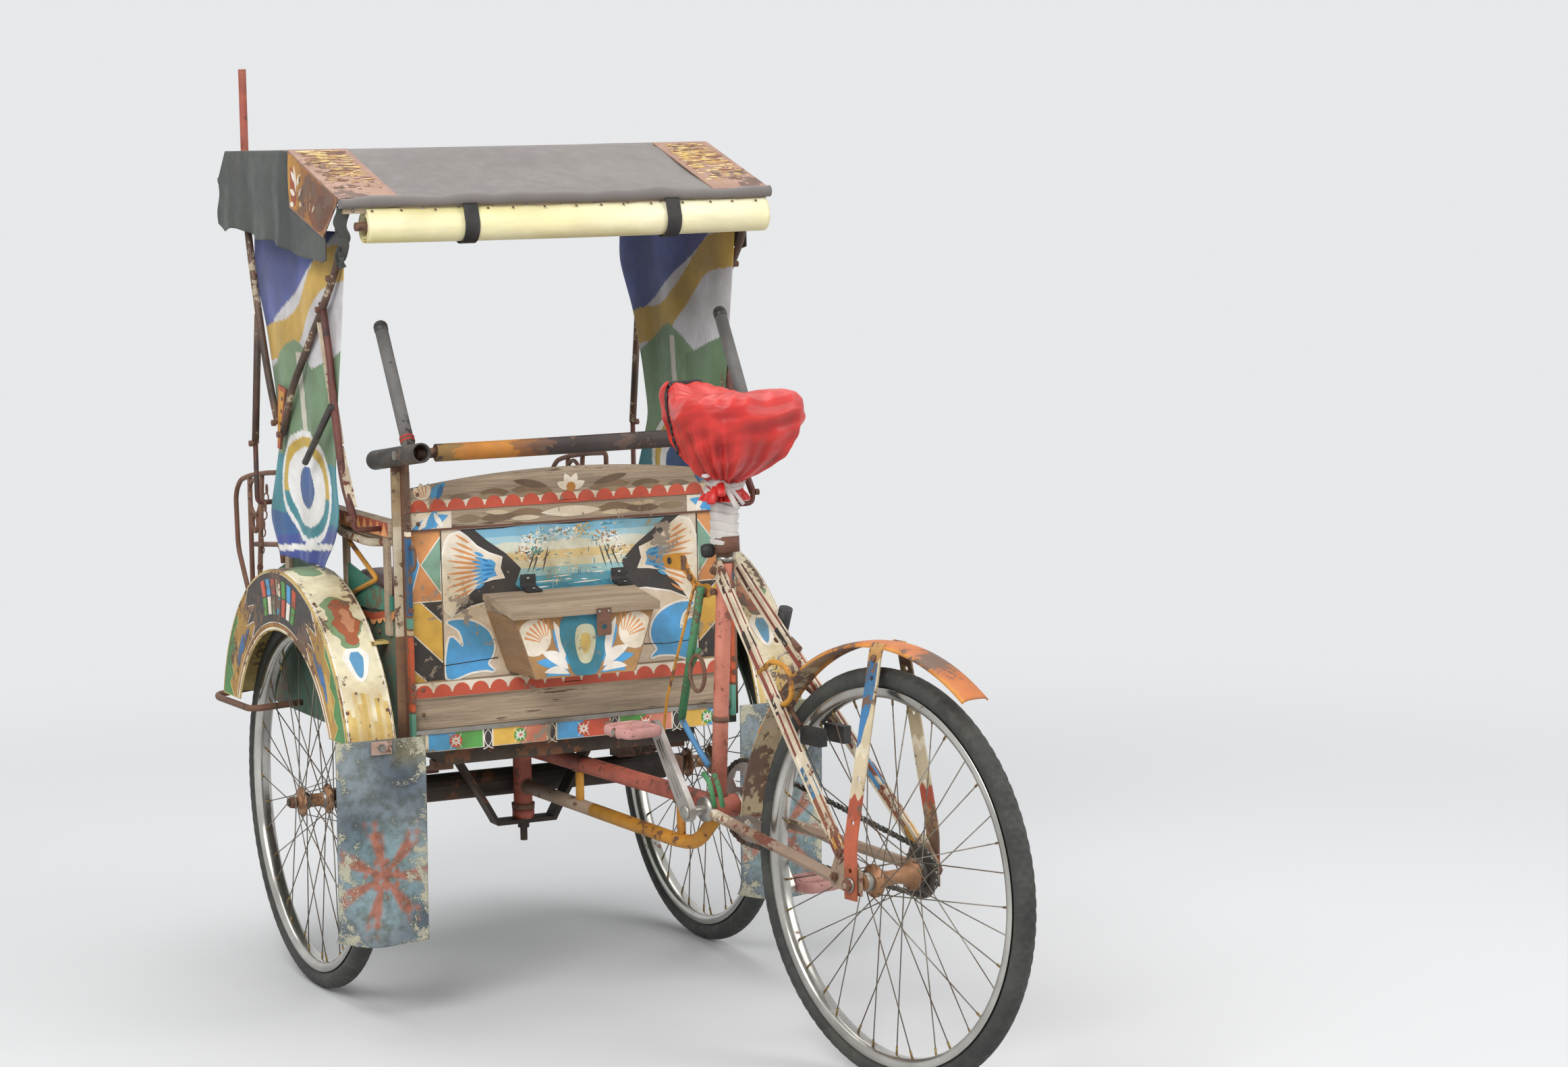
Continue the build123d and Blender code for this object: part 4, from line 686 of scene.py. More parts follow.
class RICKSHAW_OT_wheels(bpy.types.Operator):
    """Makes the three wire wheels: rolled rim, crossed spokes, hub, nuts and the rear sprocket."""

    bl_idname = "rickshaw.wheels"
    bl_label = "Wire wheels"

    def execute(self, context):
        spoke_radius = context.scene.rickshaw_wheels.spoke_radius
        for label, hub, turn, half, flange in WHEELS:
            place = wheel_place(hub, turn)
            pile = Pile()
            turned(pile, RIM, (0, 0, 0), (1, 0, 0), "rim_chrome", 144, place, round_profile=True)
            for number in range(SPOKES):
                side = 1 if number % 2 else -1
                lead = 1 if (number // 2) % 2 else -1
                rim_a = math.radians(360 / SPOKES * number)
                hub_a = rim_a + lead * math.radians(60)
                out = side * (flange + lead * 0.0026)
                start = np.array((out, 0.0245 * math.cos(hub_a), 0.0245 * math.sin(hub_a)))
                end = np.array((side * 0.004, 0.3085 * math.cos(rim_a), 0.3085 * math.sin(rim_a)))
                elbow = start + np.array((-side * lead * 0.004, 0, 0))
                tube(pile, [elbow, start, end], spoke_radius, "spoke_steel", place, 6)
                low = end + (start - end) / np.linalg.norm(start - end) * 0.017
                tube(pile, [end, low], 0.0021, "brass", place, 6)
            hub_line = [(-half, 0.0), (-half, 0.0095), (-half + 0.004, 0.0135), (-half + 0.007, 0.0135)]
            hub_line += [(-flange - 0.0035, 0.015), (-flange - 0.0018, 0.0285), (-flange + 0.0018, 0.0285)]
            hub_line += [(-flange + 0.0045, 0.017), (-0.01, 0.0125)]
            hub_line += [(-a, r) for a, r in reversed(hub_line)]
            turned(pile, hub_line, (0, 0, 0), (1, 0, 0), "hub_rust", 36, place)
            for way in (-1, 1):
                spots = ((0.024, 0.0128), (0.022, 0.0158), (0.01, 0.0158), (0.008, 0.0128))
                sleeve = [(way * (half - inward), radius) for inward, radius in spots]
                turned(pile, sleeve, (0, 0, 0), (1, 0, 0), "steel", 30, place)
            if label == "rear":
                face = CHAIN_X - 0.0012
                outline = teeth(SPROCKET_TEETH)
                prism(pile, outline, lambda a, b, h: place(stacked(face + h, a, b)), 0.0024, "chain_steel")
                carrier = [(0.046, 0.0), (0.046, 0.026), (0.0665, 0.026), (0.068, 0.022), (0.068, 0)]
                turned(pile, carrier, (0, 0, 0), (1, 0, 0), "chain_steel", 32, place)
            pile.build(f"wheel_{label}_wired", BODY_OF[label], [f"wheel_{label}"], "wheel_metal")
        return {"FINISHED"}


class RICKSHAW_OT_axle_nuts(bpy.types.Operator):
    """Makes the nuts and washers at the ends of the front and rear axles."""

    bl_idname = "rickshaw.axle_nuts"
    bl_label = "Nuts and washers"

    def execute(self, context):
        front, rear = Pile(), Pile()
        for side in (-1, 1):
            for pile, centre, size, place in (
                (front, (side * 0.44, 0, WHEEL_R), 0.0115, in_cabin),
                (rear, (side * 0.0915, HUB_Y, WHEEL_R), 0.0105, in_rear),
            ):
                turned(pile, plug(0, side * 0.002, 0.0125), centre, (1, 0, 0), "steel", 24, place)
                turned(pile, plug(side * 0.002, side * 0.01, size), centre, (1, 0, 0), "rust", 6, place, False)
        front.build("front_axle_nuts", "cabin", slot="steel")
        rear.build("rear_axle_nuts", "rear_frame", slot="steel")
        return {"FINISHED"}


class RICKSHAW_OT_chain(bpy.types.Operator):
    """Makes the roller chain, link by link, round both chain wheels."""

    bl_idname = "rickshaw.chain"
    bl_label = "Chain"

    def execute(self, context):
        rear_r, front_r = pitch_radius(SPROCKET_TEETH), pitch_radius(CHAINRING_TEETH)
        a = np.array((HUB_Y, WHEEL_R))
        b = np.array((CRANK_Y, CRANK_Z))
        run = b - a
        span = np.linalg.norm(run)
        heading = math.atan2(run[1], run[0])
        lean = math.acos((rear_r - front_r) / span)
        top = heading + lean
        low = heading - lean
        back = np.linspace(top, low + 2 * np.pi, 60)
        fore = np.linspace(low, top, 60)
        loop = np.concatenate([
            a + rear_r * np.c_[np.cos(back), np.sin(back)],
            b + front_r * np.c_[np.cos(fore), np.sin(fore)],
        ])
        loop = np.concatenate([loop, loop[:1]])
        steps = run_of(loop)
        count = 2 * round(steps[-1] / PITCH / 2)
        at = np.linspace(0, steps[-1], count, endpoint=False)
        pins = np.c_[np.interp(at, steps, loop[:, 0]), np.interp(at, steps, loop[:, 1])]
        pile = Pile()
        for number in range(count):
            p, q = pins[number], pins[(number + 1) % count]
            way = (q - p) / np.linalg.norm(q - p)
            across = np.array((-way[1], way[0]))
            t = np.radians(np.linspace(-90, 90, 5))
            end = np.c_[np.cos(t), np.sin(t)] * 0.004
            waist = PITCH / 2
            outline = np.concatenate([end + (PITCH, 0), [(waist, 0.0029)], end[::-1] * (-1, 1), [(waist, -0.0029)]])
            outline = p + outline[:, :1] * way + outline[:, 1:] * across
            for side in (-1, 1):
                start = side * (0.0033 if number % 2 else 0.0021) - 0.0005
                prism(pile, outline, across_rear(CHAIN_X + start), 0.001, "chain_steel")
            for half, radius, material, sides in ((0.0044, 0.0018, "chain_steel", 6), (0.0016, 0.0036, "steel", 8)):
                tube(pile, [(CHAIN_X - half, *p), (CHAIN_X + half, *p)], radius, material, in_rear, sides)
        pile.build("chain_links", "rear_frame", ["chain"], "chrome")
        return {"FINISHED"}


# Planes of the painted faces, behind the front axle: the rear panel, the cream boards over it, the boards at its top
# and foot, and the tool box's front.
PANEL_Y, CREAM_BOARD_Y, TOP_BOARD_Y, FOOT_BOARD_Y, BOX_FRONT_Y = -0.32, -0.324, -0.326, -0.328, -0.4553


def ray_fan(x, y, inner, outer, start, end, count, colour, layer, thin):
    """Rays between two radii, spread evenly, each filling the thin part of its share."""
    edge = np.linspace(start, end, count + 1)
    step = edge[1] - edge[0]
    first, last = step * (1 - thin) / 2, step * (1 + thin) / 2
    return [(wedge(x, y, inner, outer, m + first, m + last), colour, layer) for m in edge[:-1]]


def strokes(x, y, inner, outer, start, end, count, width, colour, layer):
    """Tapered brush strokes spread evenly over an angle, every other one a little shorter."""
    shapes, middle = [], (start + end) / 2
    for k, a in enumerate(np.linspace(start, end, count)):
        near = inner + (outer - inner) * 0.55 * (abs(a - middle) / (end - middle)) ** 2
        c, s = math.cos(math.radians(a)), math.sin(math.radians(a))
        shapes.append(
            (leaf(x + near * c, y + near * s, (outer - near) * (1 - 0.15 * (k % 2)), width, a), colour, layer)
        )
    return shapes


def scallops(x0, x1, z0, z1, pitch=0.0365):
    """A cream strip with a red foot and a row of red half discs on it."""
    shapes = [(rect(x0, x1, z0, z1), CREAM, 1), (rect(x0, x1, z0, z0 + (z1 - z0) * 0.3), RED, 2)]
    for x in np.arange(x0 + pitch / 2, x1 - pitch / 4, pitch):
        shapes.append((sector(x, z0 + (z1 - z0) * 0.25, pitch * 0.46, 0, 180), RED, 2))
    return shapes


def leaf_pairs(rows, layer):
    """Leaves on the right, given as (x, z, length, width, angle, colour), and the same ones mirrored."""
    return [
        (leaf(side * x, z, size, wide, angle if side > 0 else 180 - angle), tone, layer)
        for side in (-1, 1)
        for x, z, size, wide, angle, tone in rows
    ]


FAN_LEFT = (
    (-0.245, 0.868), (-0.238, 0.879), (-0.219, 0.884), (-0.206, 0.874), (-0.187, 0.855), (-0.164, 0.841),
    (-0.139, 0.832), (-0.144, 0.813), (-0.135, 0.796), (-0.156, 0.796), (-0.18, 0.791), (-0.199, 0.777),
    (-0.218, 0.76), (-0.238, 0.731), (-0.252, 0.745), (-0.2545, 0.781), (-0.2545, 0.82), (-0.252, 0.847),
)
FAN_CORE_LEFT = (
    (-0.172, 0.832), (-0.158, 0.83), (-0.15, 0.823), (-0.153, 0.811), (-0.148, 0.8), (-0.162, 0.797), (-0.176, 0.795),
    (-0.172, 0.812),
)
TAIL_LEFT = (
    (-0.247, 0.721), (-0.219, 0.724), (-0.191, 0.716), (-0.168, 0.699), (-0.158, 0.676), (-0.16, 0.656),
    (-0.17, 0.639), (-0.158, 0.625), (-0.175, 0.628), (-0.203, 0.626), (-0.25, 0.619), (-0.243, 0.692),
    (-0.218, 0.674), (-0.224, 0.703),
)


class RICKSHAW_OT_panel_paint(bpy.types.Operator):
    """Paints the rear panel: a lake scene, fans, tails, bands, scalloped strips and side columns."""

    bl_idname = "rickshaw.panel_paint"
    bl_label = "Rear panel painting"

    def execute(self, context):
        pile = Pile()
        field = [(rect(-0.2545, 0.2545, 0.6155, 0.8895), BEIGE, 1)]
        left = ((0.762, -0.09), (0.78, -0.112), (0.81, -0.1), (0.84, -0.13), (0.865, -0.165), (0.887, -0.19))
        z_left, x_left = np.array(left).T
        black = np.array([(-0.222, 0.889), *FAN_LEFT[3:14], (-0.2, 0.748), (-0.15, 0.758), (-0.1, 0.757), (0, 0.75)])
        black = np.concatenate([black, (black * (-1, 1))[::-1][1:]])
        field.append((grown(black, 0.0035), WHITE, 2))
        field.append((black, BLACK, 3))
        rng = np.random.default_rng(8)
        tones = (TEAL, "5b9fb2", "9cc4c6", "d5cfae", "dcc48c", "dadbc8", "a9cdd6", "7fb6cf")
        edges = np.linspace(0.763, 0.886, len(tones) + 1)
        for number, (low, high, tone) in enumerate(zip(edges, edges[1:], tones)):
            z = np.linspace(low, high, 6)
            x = np.interp(z, z_left, x_left)
            wave = 0.0025 * np.sin(np.linspace(0, 5 * np.pi, 15) + low * 90)
            top_x = np.linspace(x[-1], -x[-1], 15)
            outline = np.concatenate([np.c_[x, z], np.c_[top_x, high + 0.002 + wave][1:-1], np.c_[-x[::-1], z[::-1]]])
            field.append((outline, tone, 4.3 - 0.03 * number))
        for x, z, size, tone in (
            (-0.082, 0.852, 0.016, WHITE), (-0.066, 0.862, 0.012, CREAM), (-0.095, 0.835, 0.011, "b98d62"),
            (-0.072, 0.838, 0.009, "5d8f86"), (0.085, 0.848, 0.015, WHITE), (0.068, 0.859, 0.012, "b98d62"),
            (0.1, 0.832, 0.01, CREAM), (0.0, 0.868, 0.011, WHITE), (0.022, 0.874, 0.009, "d9b26a"),
            (-0.03, 0.873, 0.009, "cfe0e2"),
        ):
            for k in range(26):
                reach, a = size * 1.5 * math.sqrt(rng.random()), rng.uniform(0, 2 * math.pi)
                spot = (x + reach * math.cos(a), z + 0.75 * reach * math.sin(a))
                shade = tone if k % 3 else (WHITE, "8f7a5c", "6f9a94")[k // 3 % 3]
                length, width, angle = rng.uniform(0.004, 0.009), rng.uniform(0.002, 0.0038), rng.uniform(-40, 220)
                field.append((leaf(*spot, length, width, angle), shade, 5.5))
        for x, z, length in (
            (-0.05, 0.782, 0.05), (0.03, 0.776, 0.06), (-0.02, 0.79, 0.04), (0.055, 0.793, 0.03), (-0.06, 0.772, 0.03),
        ):
            field.append((leaf(x - length / 2, z, length, 0.0022, 2), WHITE, 5.5))
        for k in range(150):
            x, z = rng.uniform(-0.1, 0.1), rng.uniform(0.768, 0.884)
            tone = ("8fb9c4", "e6e0c8", "5f9fb0", "d9c79a", "3f7f96", "f0ece0")[(k + int(z * 100)) % 6]
            length, width, angle = rng.uniform(0.006, 0.018), rng.uniform(0.0012, 0.0026), rng.uniform(-14, 14)
            field.append((leaf(x, z, length, width, angle + 90 * (k % 4 == 0)), tone, 5.0))
        for x in (-0.088, -0.078, -0.058, 0.07, 0.082, 0.096):
            field += [
                (leaf(x, 0.8, 0.048, 0.0028, 90 + 250 * x), "4a4038", 5.2),
                (leaf(x, 0.82, 0.024, 0.0022, 60 + 200 * x), "6a5a48", 5.2),
            ]
        for side in (-1, 1):
            fan = np.array(FAN_LEFT) * (-side, 1)
            field += [(grown(fan, 0.0035), WHITE, 4.5), (fan, CREAM, 5)]
            heart = (side * 0.122, 0.812)
            way = 180 if side < 0 else 0
            field += strokes(*heart, 0.052, 0.126, way - 33, way + 30, 12, 0.0048, ORANGE, 6)
            field.append((np.array(FAN_CORE_LEFT) * (-side, 1), BLUE, 6))
            field += strokes(*heart, 0.03, 0.078, way - 26, way + 26, 9, 0.0062, BLUE, 6.5)
            field += strokes(*heart, 0.03, 0.058, way - 20, way + 20, 5, 0.004, DEEP, 6.9)
            tail = flowing(np.array(TAIL_LEFT) * (-side, 1), 4)
            field += [(grown(tail, 0.004), WHITE, 4.5), (tail, BLUE, 5)]
        field.append((stroke([(-0.2545, 0.642), (-0.21, 0.645), (-0.15, 0.649)], 0.0015), "2a2420", 6))
        field.append((stroke([(0.12, 0.652), (0.19, 0.648), (0.2545, 0.652)], 0.0015), "2a2420", 6))
        painted(pile, field, facing_rear(PANEL_Y))
        column = [
            (rect(-0.317, -0.2565, 0.615, 0.889), ORANGE, 1),
            (rect(-0.317, -0.2565, 0.615, 0.7615), YELLOW, 2),
            ([(-0.257, 0.878), (-0.257, 0.774), (-0.295, 0.829)], GREEN, 3),
            ([(-0.316, 0.884), (-0.316, 0.772), (-0.298, 0.829)], BLUE, 3),
            ([(-0.298, 0.7615), (-0.257, 0.7615), (-0.257, 0.722)], BLACK, 3),
            ([(-0.316, 0.706), (-0.257, 0.648), (-0.257, 0.616), (-0.29, 0.616), (-0.316, 0.64)], BLACK, 3),
        ]
        for line in (
            [(-0.257, 0.878), (-0.295, 0.829), (-0.257, 0.774)], [(-0.316, 0.884), (-0.298, 0.829), (-0.316, 0.772)],
            [(-0.316, 0.7615), (-0.257, 0.7615)], [(-0.298, 0.7615), (-0.257, 0.722)],
            [(-0.316, 0.706), (-0.257, 0.648)], [(-0.316, 0.64), (-0.29, 0.616)],
        ):
            column.append((stroke(line, 0.002), WHITE, 4))
        column.append((rect(-0.2565, -0.2548, 0.615, 0.889), "40352b", 5))
        painted(pile, column, facing_rear(PANEL_Y), mirror=True)
        top = scallops(-0.3165, 0.3165, 0.9265, 0.945)
        top += [(leaf(0, 0.952, 0.03, 0.015, 22.5 + 45 * k), CREAM, 3 + 0.1 * (k % 2)) for k in range(4)]
        top.append((disc(0, 0.955, 0.009), OCHRE, 4))
        top += leaf_pairs((
            (0.035, 0.95, 0.085, 0.02, 4, "8a7257"), (0.045, 0.958, 0.07, 0.014, 12, "6f5a45"),
            (0.055, 0.947, 0.06, 0.01, -2, "a08a6c"), (0.12, 0.952, 0.06, 0.016, 2, "7d674e"),
            (0.135, 0.948, 0.055, 0.01, -3, "9c8668"), (0.195, 0.949, 0.045, 0.012, 0, "83705a"),
        ), 1.2)
        painted(pile, top, facing_rear(TOP_BOARD_Y))
        corner = [
            (leaf(-0.288, 0.948, 0.03, 0.016, 130), CREAM, 2), (leaf(-0.286, 0.948, 0.032, 0.016, 105), CREAM, 2),
            (leaf(-0.284, 0.948, 0.03, 0.015, 80), CREAM, 2),
            (leaf(-0.275, 0.947, 0.042, 0.016, 45, 0.004), BLUE, 3), (leaf(-0.262, 0.947, 0.03, 0.01, 70), DEEP, 3),
        ]
        corner += [(wedge(-0.286, 0.946, 0.008, 0.026, a, a + 6), ORANGE, 3) for a in (80, 98, 116, 134)]
        painted(pile, corner, facing_rear(TOP_BOARD_Y), mirror=True)
        second = [
            (rect(-0.3165, -0.235, 0.8915, 0.9245), CREAM, 1),
            (leaf(-0.312, 0.894, 0.075, 0.022, 18), BLUE, 2), (leaf(-0.3, 0.893, 0.055, 0.014, 42), WHITE, 3),
            (leaf(-0.285, 0.893, 0.048, 0.012, 60), BLUE, 3), (leaf(-0.266, 0.893, 0.036, 0.01, 95), BLUE, 3),
            (leaf(-0.252, 0.894, 0.034, 0.01, 120), WHITE, 3),
        ]
        painted(pile, second, facing_rear(CREAM_BOARD_Y), mirror=True)
        middle = [(rect(-0.3165, 0.3165, 0.8905, 0.894), "6a4030", 4), (leaf(-0.06, 0.91, 0.12, 0.02, 0), CREAM, 2)]
        middle += leaf_pairs((
            (0.05, 0.91, 0.07, 0.018, 3, "8a7257"), (0.06, 0.903, 0.06, 0.01, 0, "d6c7ab"),
            (0.105, 0.909, 0.075, 0.016, -2, "76614a"), (0.12, 0.915, 0.05, 0.009, 4, "cdbb9b"),
            (0.175, 0.908, 0.055, 0.014, 1, "8f7a5e"),
        ), 1)
        painted(pile, middle, facing_rear(CREAM_BOARD_Y))
        painted(pile, scallops(-0.3165, 0.3165, 0.5865, 0.6135), facing_rear(FOOT_BOARD_Y))
        pile.build("panel_painting", "cabin", slot="painted_wood")
        return {"FINISHED"}


class RICKSHAW_OT_sill_tiles(bpy.types.Operator):
    """Paints the row of tiles on the beam below the panel."""

    bl_idname = "rickshaw.sill_tiles"
    bl_label = "Tile strip"

    def execute(self, context):
        pile = Pile()
        edge = 0.305
        shapes = [(rect(-edge, edge, 0.4865, 0.5195), CREAM, 1)]
        cells = ((BLUE, LEAF_GREEN), (YELLOW, "d98a72"), (BLUE, RED), (LEAF_GREEN, "d98a72"), (YELLOW, BLUE))
        low, high, centre = 0.4875, 0.5185, 0.503
        for number, (first, second) in enumerate(cells):
            x0 = -0.291 + number * 0.1265
            x1 = min(x0 + 0.105, 0.3045)
            mid = x0 + 0.0525
            shapes += [(rect(x0, mid, low, high), first, 2), (rect(mid, x1, low, high), second, 2)]
            petal = LEAF_GREEN if first == YELLOW else RED
            shapes += [(disc(mid, centre, 0.0125, 16), petal, 3)]
            for way in (-1, 1):
                arc = sector(mid + way * 0.027, centre, 0.0205, 140 if way > 0 else -40, 220 if way > 0 else 40, 12)
                if arc[:, 0].max() < edge - 0.001:
                    shapes.append((stroke(arc, 0.0012), WHITE, 4))
                    ring = sector(mid + way * 0.05, centre, 0.0205, 100 if way < 0 else -80, 260 if way < 0 else 80, 14)
                    if np.abs(ring[:, 0]).max() < edge - 0.001:
                        shapes.append((stroke(ring, 0.0012), WHITE, 4))
            shapes += [(leaf(mid, centre, 0.01, 0.003, 45 * k), WHITE, 4.5) for k in range(8)]
            shapes.append((disc(mid, centre, 0.0024, 8), RED, 5))
            bar = x1 + 0.0035
            if bar + 0.0145 < edge:
                shapes.append((rect(bar, bar + 0.0145, low - 0.0005, high + 0.0005), BLACK, 3))
        painted(pile, shapes, facing_rear(TOP_BOARD_Y))
        pile.build("sill_painting", "cabin", slot="painted_wood")
        return {"FINISHED"}


BOX_X = -0.033


class RICKSHAW_OT_tool_box(bpy.types.Operator):
    """Makes the tool box lid with its hasp, paints the box front and nails rubber straps from the panel onto the lid.
    """

    bl_idname = "rickshaw.tool_box"
    bl_label = "Tool box"

    def execute(self, context):
        lean = math.radians(8)
        start, depth = -0.3203, 0.135
        back = np.array((start, 0.738 + depth * math.tan(lean) + 0.0003))
        run = depth + 0.014
        front = back + run * np.array((-math.cos(lean), -math.sin(lean)))
        up = 0.015 * np.array((-math.sin(lean), math.cos(lean)))
        planed, top = 0.03, back[1] + 0.015 / math.cos(lean)
        flush = top - planed * math.tan(lean)
        profile = np.array([back, front, front + up, (start - planed, flush), (start, flush - 0.0002)])
        lid = Pile()

        def across(a, b, h):
            return in_cabin(stacked(BOX_X - 0.144 + h, a, b))

        prism(lid, profile, across, 0.288, "weathered_wood")
        n = 24
        a = angles(n) + np.pi / n
        centre = np.array((BOX_X + 0.032, front[1] - 0.024))
        hole = centre + 0.005 * np.c_[np.cos(a), np.sin(a)]
        edge = np.maximum(np.abs(np.cos(a)) / 0.014, np.where(np.sin(a) > 0, np.sin(a) / 0.034, -np.sin(a) / 0.016))
        plate = centre + np.c_[np.cos(a), np.sin(a)] / edge[:, None]
        near = front[0] - 0.0005
        loops = [(plate, near), (plate, near - 0.0028), (hole, near - 0.0028), (hole, near)]
        rings = np.stack([np.c_[o[:, 0], np.full(n, y), o[:, 1]] for o, y in loops])
        lid.add(in_cabin(rings), [grid(4, n, True, True)], "rust", False)
        for dx in (-0.009, 0.009):
            at = (centre[0] + dx, near - 0.0028, front[1] + 0.004)
            turned(lid, [(0, 0), (0, 0.003), (0.0012, 0.0022), (0.0016, 0)], at, (0, -1, 0), "steel", 10)
        lid.build("tool_box_lid_board", "tool_box_lid", ["tool_box_lid"], "wood")

        half_top, half_low = 0.1355, 0.0975
        vase = [
            (-0.038, 0.7365), (0.038, 0.7365), (0.05, 0.7), (0.036, 0.66), (0.02, 0.626), (-0.02, 0.626),
            (-0.036, 0.66), (-0.05, 0.7),
        ]
        inlay = [(-0.014, 0.715), (0.014, 0.715), (0.02, 0.685), (0.01, 0.65), (-0.01, 0.65), (-0.02, 0.685)]
        face = [
            ([(-half_low, 0.6245), (half_low, 0.6245), (half_top, 0.7375), (-half_top, 0.7375)], "b58a58", 1),
            (flowing(vase, 3), TEAL, 3),
            (flowing(inlay, 4), "d9dcc0", 4),
            (flowing([(-0.007, 0.7), (0.007, 0.7), (0.01, 0.682), (0.0, 0.664), (-0.01, 0.682)], 4), "dcc274", 5),
        ]
        for side in (-1, 1):
            for length, width, angle, x, z, tone in (
                (0.075, 0.03, 64, 0.03, 0.645, BLUE), (0.062, 0.022, 34, 0.034, 0.638, WHITE),
                (0.066, 0.02, 20, 0.034, 0.633, BLUE), (0.05, 0.014, 6, 0.032, 0.63, WHITE),
                (0.052, 0.012, 2, 0.028, 0.627, BLUE), (0.085, 0.016, 78, 0.044, 0.645, WHITE),
            ):
                way = angle if side > 0 else 180 - angle
                face.append(
                    (leaf(side * x, z, length, width, way, side * 0.006), tone, 2 + (0.6 if tone == BLUE else 0.9))
                )
            pivot = side * 0.08
            face.append((sector(pivot + side * 0.02, 0.7, 0.034, 0, 360, 20)[:-1], CREAM, 1.6))
            first = 10 if side > 0 else 80
            face += ray_fan(pivot - side * 0.006, 0.688, 0.014, 0.046, first, first + 90, 7, ORANGE, 2.2, 0.4)
        paint = Pile()
        kept = []
        for outline, tone, layer in face:
            o = np.asarray(outline, float)
            z = np.clip(o[:, 1], 0.6245, 0.7372)
            limit = half_low + (z - 0.6245) / 0.113 * (half_top - half_low) - 0.0005
            kept.append((np.c_[np.clip(o[:, 0], -limit, limit) + BOX_X, z], tone, layer))
        painted(paint, kept, facing_rear(BOX_FRONT_Y))
        for side in (-1, 1):
            rows = np.array([
                (-0.322, 0.6245, half_low), (-0.455, 0.6245, half_low), (-0.455, 0.7372, half_top),
                (-0.322, 0.7372, half_top),
            ])
            face = np.c_[BOX_X + side * (rows[:, 2] + 0.0022), rows[:, 0], rows[:, 1]]
            rings = np.stack([face, face - (side * 0.003, 0, 0)])
            paint.loft(in_cabin(rings), "box_wood", False)
        paint.build("tool_box_painting", "cabin", slot="painted_wood")
        for number, x in enumerate((-0.088, 0.094)):
            strap = Pile()
            line = rounded([
                (-0.3212, 0.798), (-0.3225, 0.79), (-0.323, 0.781), (-0.3245, 0.7765), (-0.33, 0.7745),
                (-0.345, 0.7725), (-0.356, 0.7705),
            ], 0.004, 3)
            path = np.c_[np.full(len(line), x), line]
            flat = np.array([(-0.015, -0.0016), (0.015, -0.0016), (0.015, 0.0016), (-0.015, 0.0016)])
            rings = carried(in_cabin(path), flat[:, ::-1], up=(1, 0, 0))
            strap.loft(rings, "rubber_black", False)
            for y, z, axis in ((-0.3225, 0.79, (0, -1, 0)), (-0.35, 0.7735, (0, -0.14, 1))):
                nail = nail_head(0.0012, 0.0035, 0.0024, 0.003, 0.003)
                turned(strap, nail, (x, y - 0.0005, z + 0.0005), axis, "steel", 10)
            piece = strap.build(f"lid_strap_{number}", None, slot="flap")
            in_cabin((x, -0.321, 0.782))
            in_cabin((x, -0.332, 0.773))
            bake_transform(piece)
        return {"FINISHED"}


def ribbon(pile, low, high, place, depth, paint, across, edge):
    """A painted patch on a curved surface, lofted between two edges (n, 2), its paint only part whole at the edges."""
    low, high = np.asarray(low, float), np.asarray(high, float)
    share = np.linspace(0, 1, across)
    whole = edge + (1 - edge) * np.sin(np.pi * share)
    whole = np.broadcast_to(np.r_[whole, whole[::-1]], (len(low), 2 * across)).ravel()
    paint = np.c_[np.broadcast_to(linear(paint), (whole.size, 3)), whole]
    t = share[None, :, None]
    flat = low[:, None] * (1 - t) + high[:, None] * t
    top = place(flat[..., 0], flat[..., 1], depth)
    under = place(flat[..., 0], flat[..., 1], -0.0003)
    rings = np.concatenate([top, under[:, ::-1]], 1)
    pile.loft(rings, "painted_sheet", False, paint)


def spindle(a, b, width):
    """The outline of a leaf from a to b: half width w/2 sin(pi t)^0.7."""
    a, b = np.array(a, float), np.array(b, float)
    t = np.linspace(0.001, 0.999, 14)[:, None]
    spine = a + (b - a) * t
    way = (b - a) / np.linalg.norm(b - a)
    side = np.array((-way[1], way[0])) * width / 2 * np.sin(np.pi * t) ** 0.7
    return np.concatenate([spine - side, (spine + side)[::-1]])


# A mudguard: its centre in front of the axle and above the road, its crown's radius, and its arch's centre and radius.
GUARD_Y, GUARD_Z, GUARD_R = 0.01, 0.42, 0.375
ARCH_Z, ARCH_R, FACE_R = 0.39, 0.2915, 0.3735
GUARD_START, GUARD_TURN = 15.2, 149.6


def on_guard(points, closed=True, n=8):
    """Points (share along, share across) on a mudguard's flat side, from its arch at 0 to its outer edge at 1."""
    p = np.asarray(points, float)
    q = np.roll(p, -1, 0) if closed else p[1:]
    p = p if closed else p[:-1]
    share = np.linspace(0, 1, n, endpoint=False)[None, :, None]
    dense = (p[:, None] * (1 - share) + q[:, None] * share).reshape(-1, 2)
    if not closed:
        dense = np.concatenate([dense, q[-1:]])
    s, t = dense.T
    inner, outer = np.radians(25.7 + 128.6 * s), np.radians(GUARD_START + GUARD_TURN * s)
    y = (GUARD_Y + ARCH_R * np.cos(inner)) * (1 - t) + (GUARD_Y + FACE_R * np.cos(outer)) * t
    z = (ARCH_Z + ARCH_R * np.sin(inner)) * (1 - t) + (GUARD_Z + FACE_R * np.sin(outer)) * t
    return np.c_[y, z]


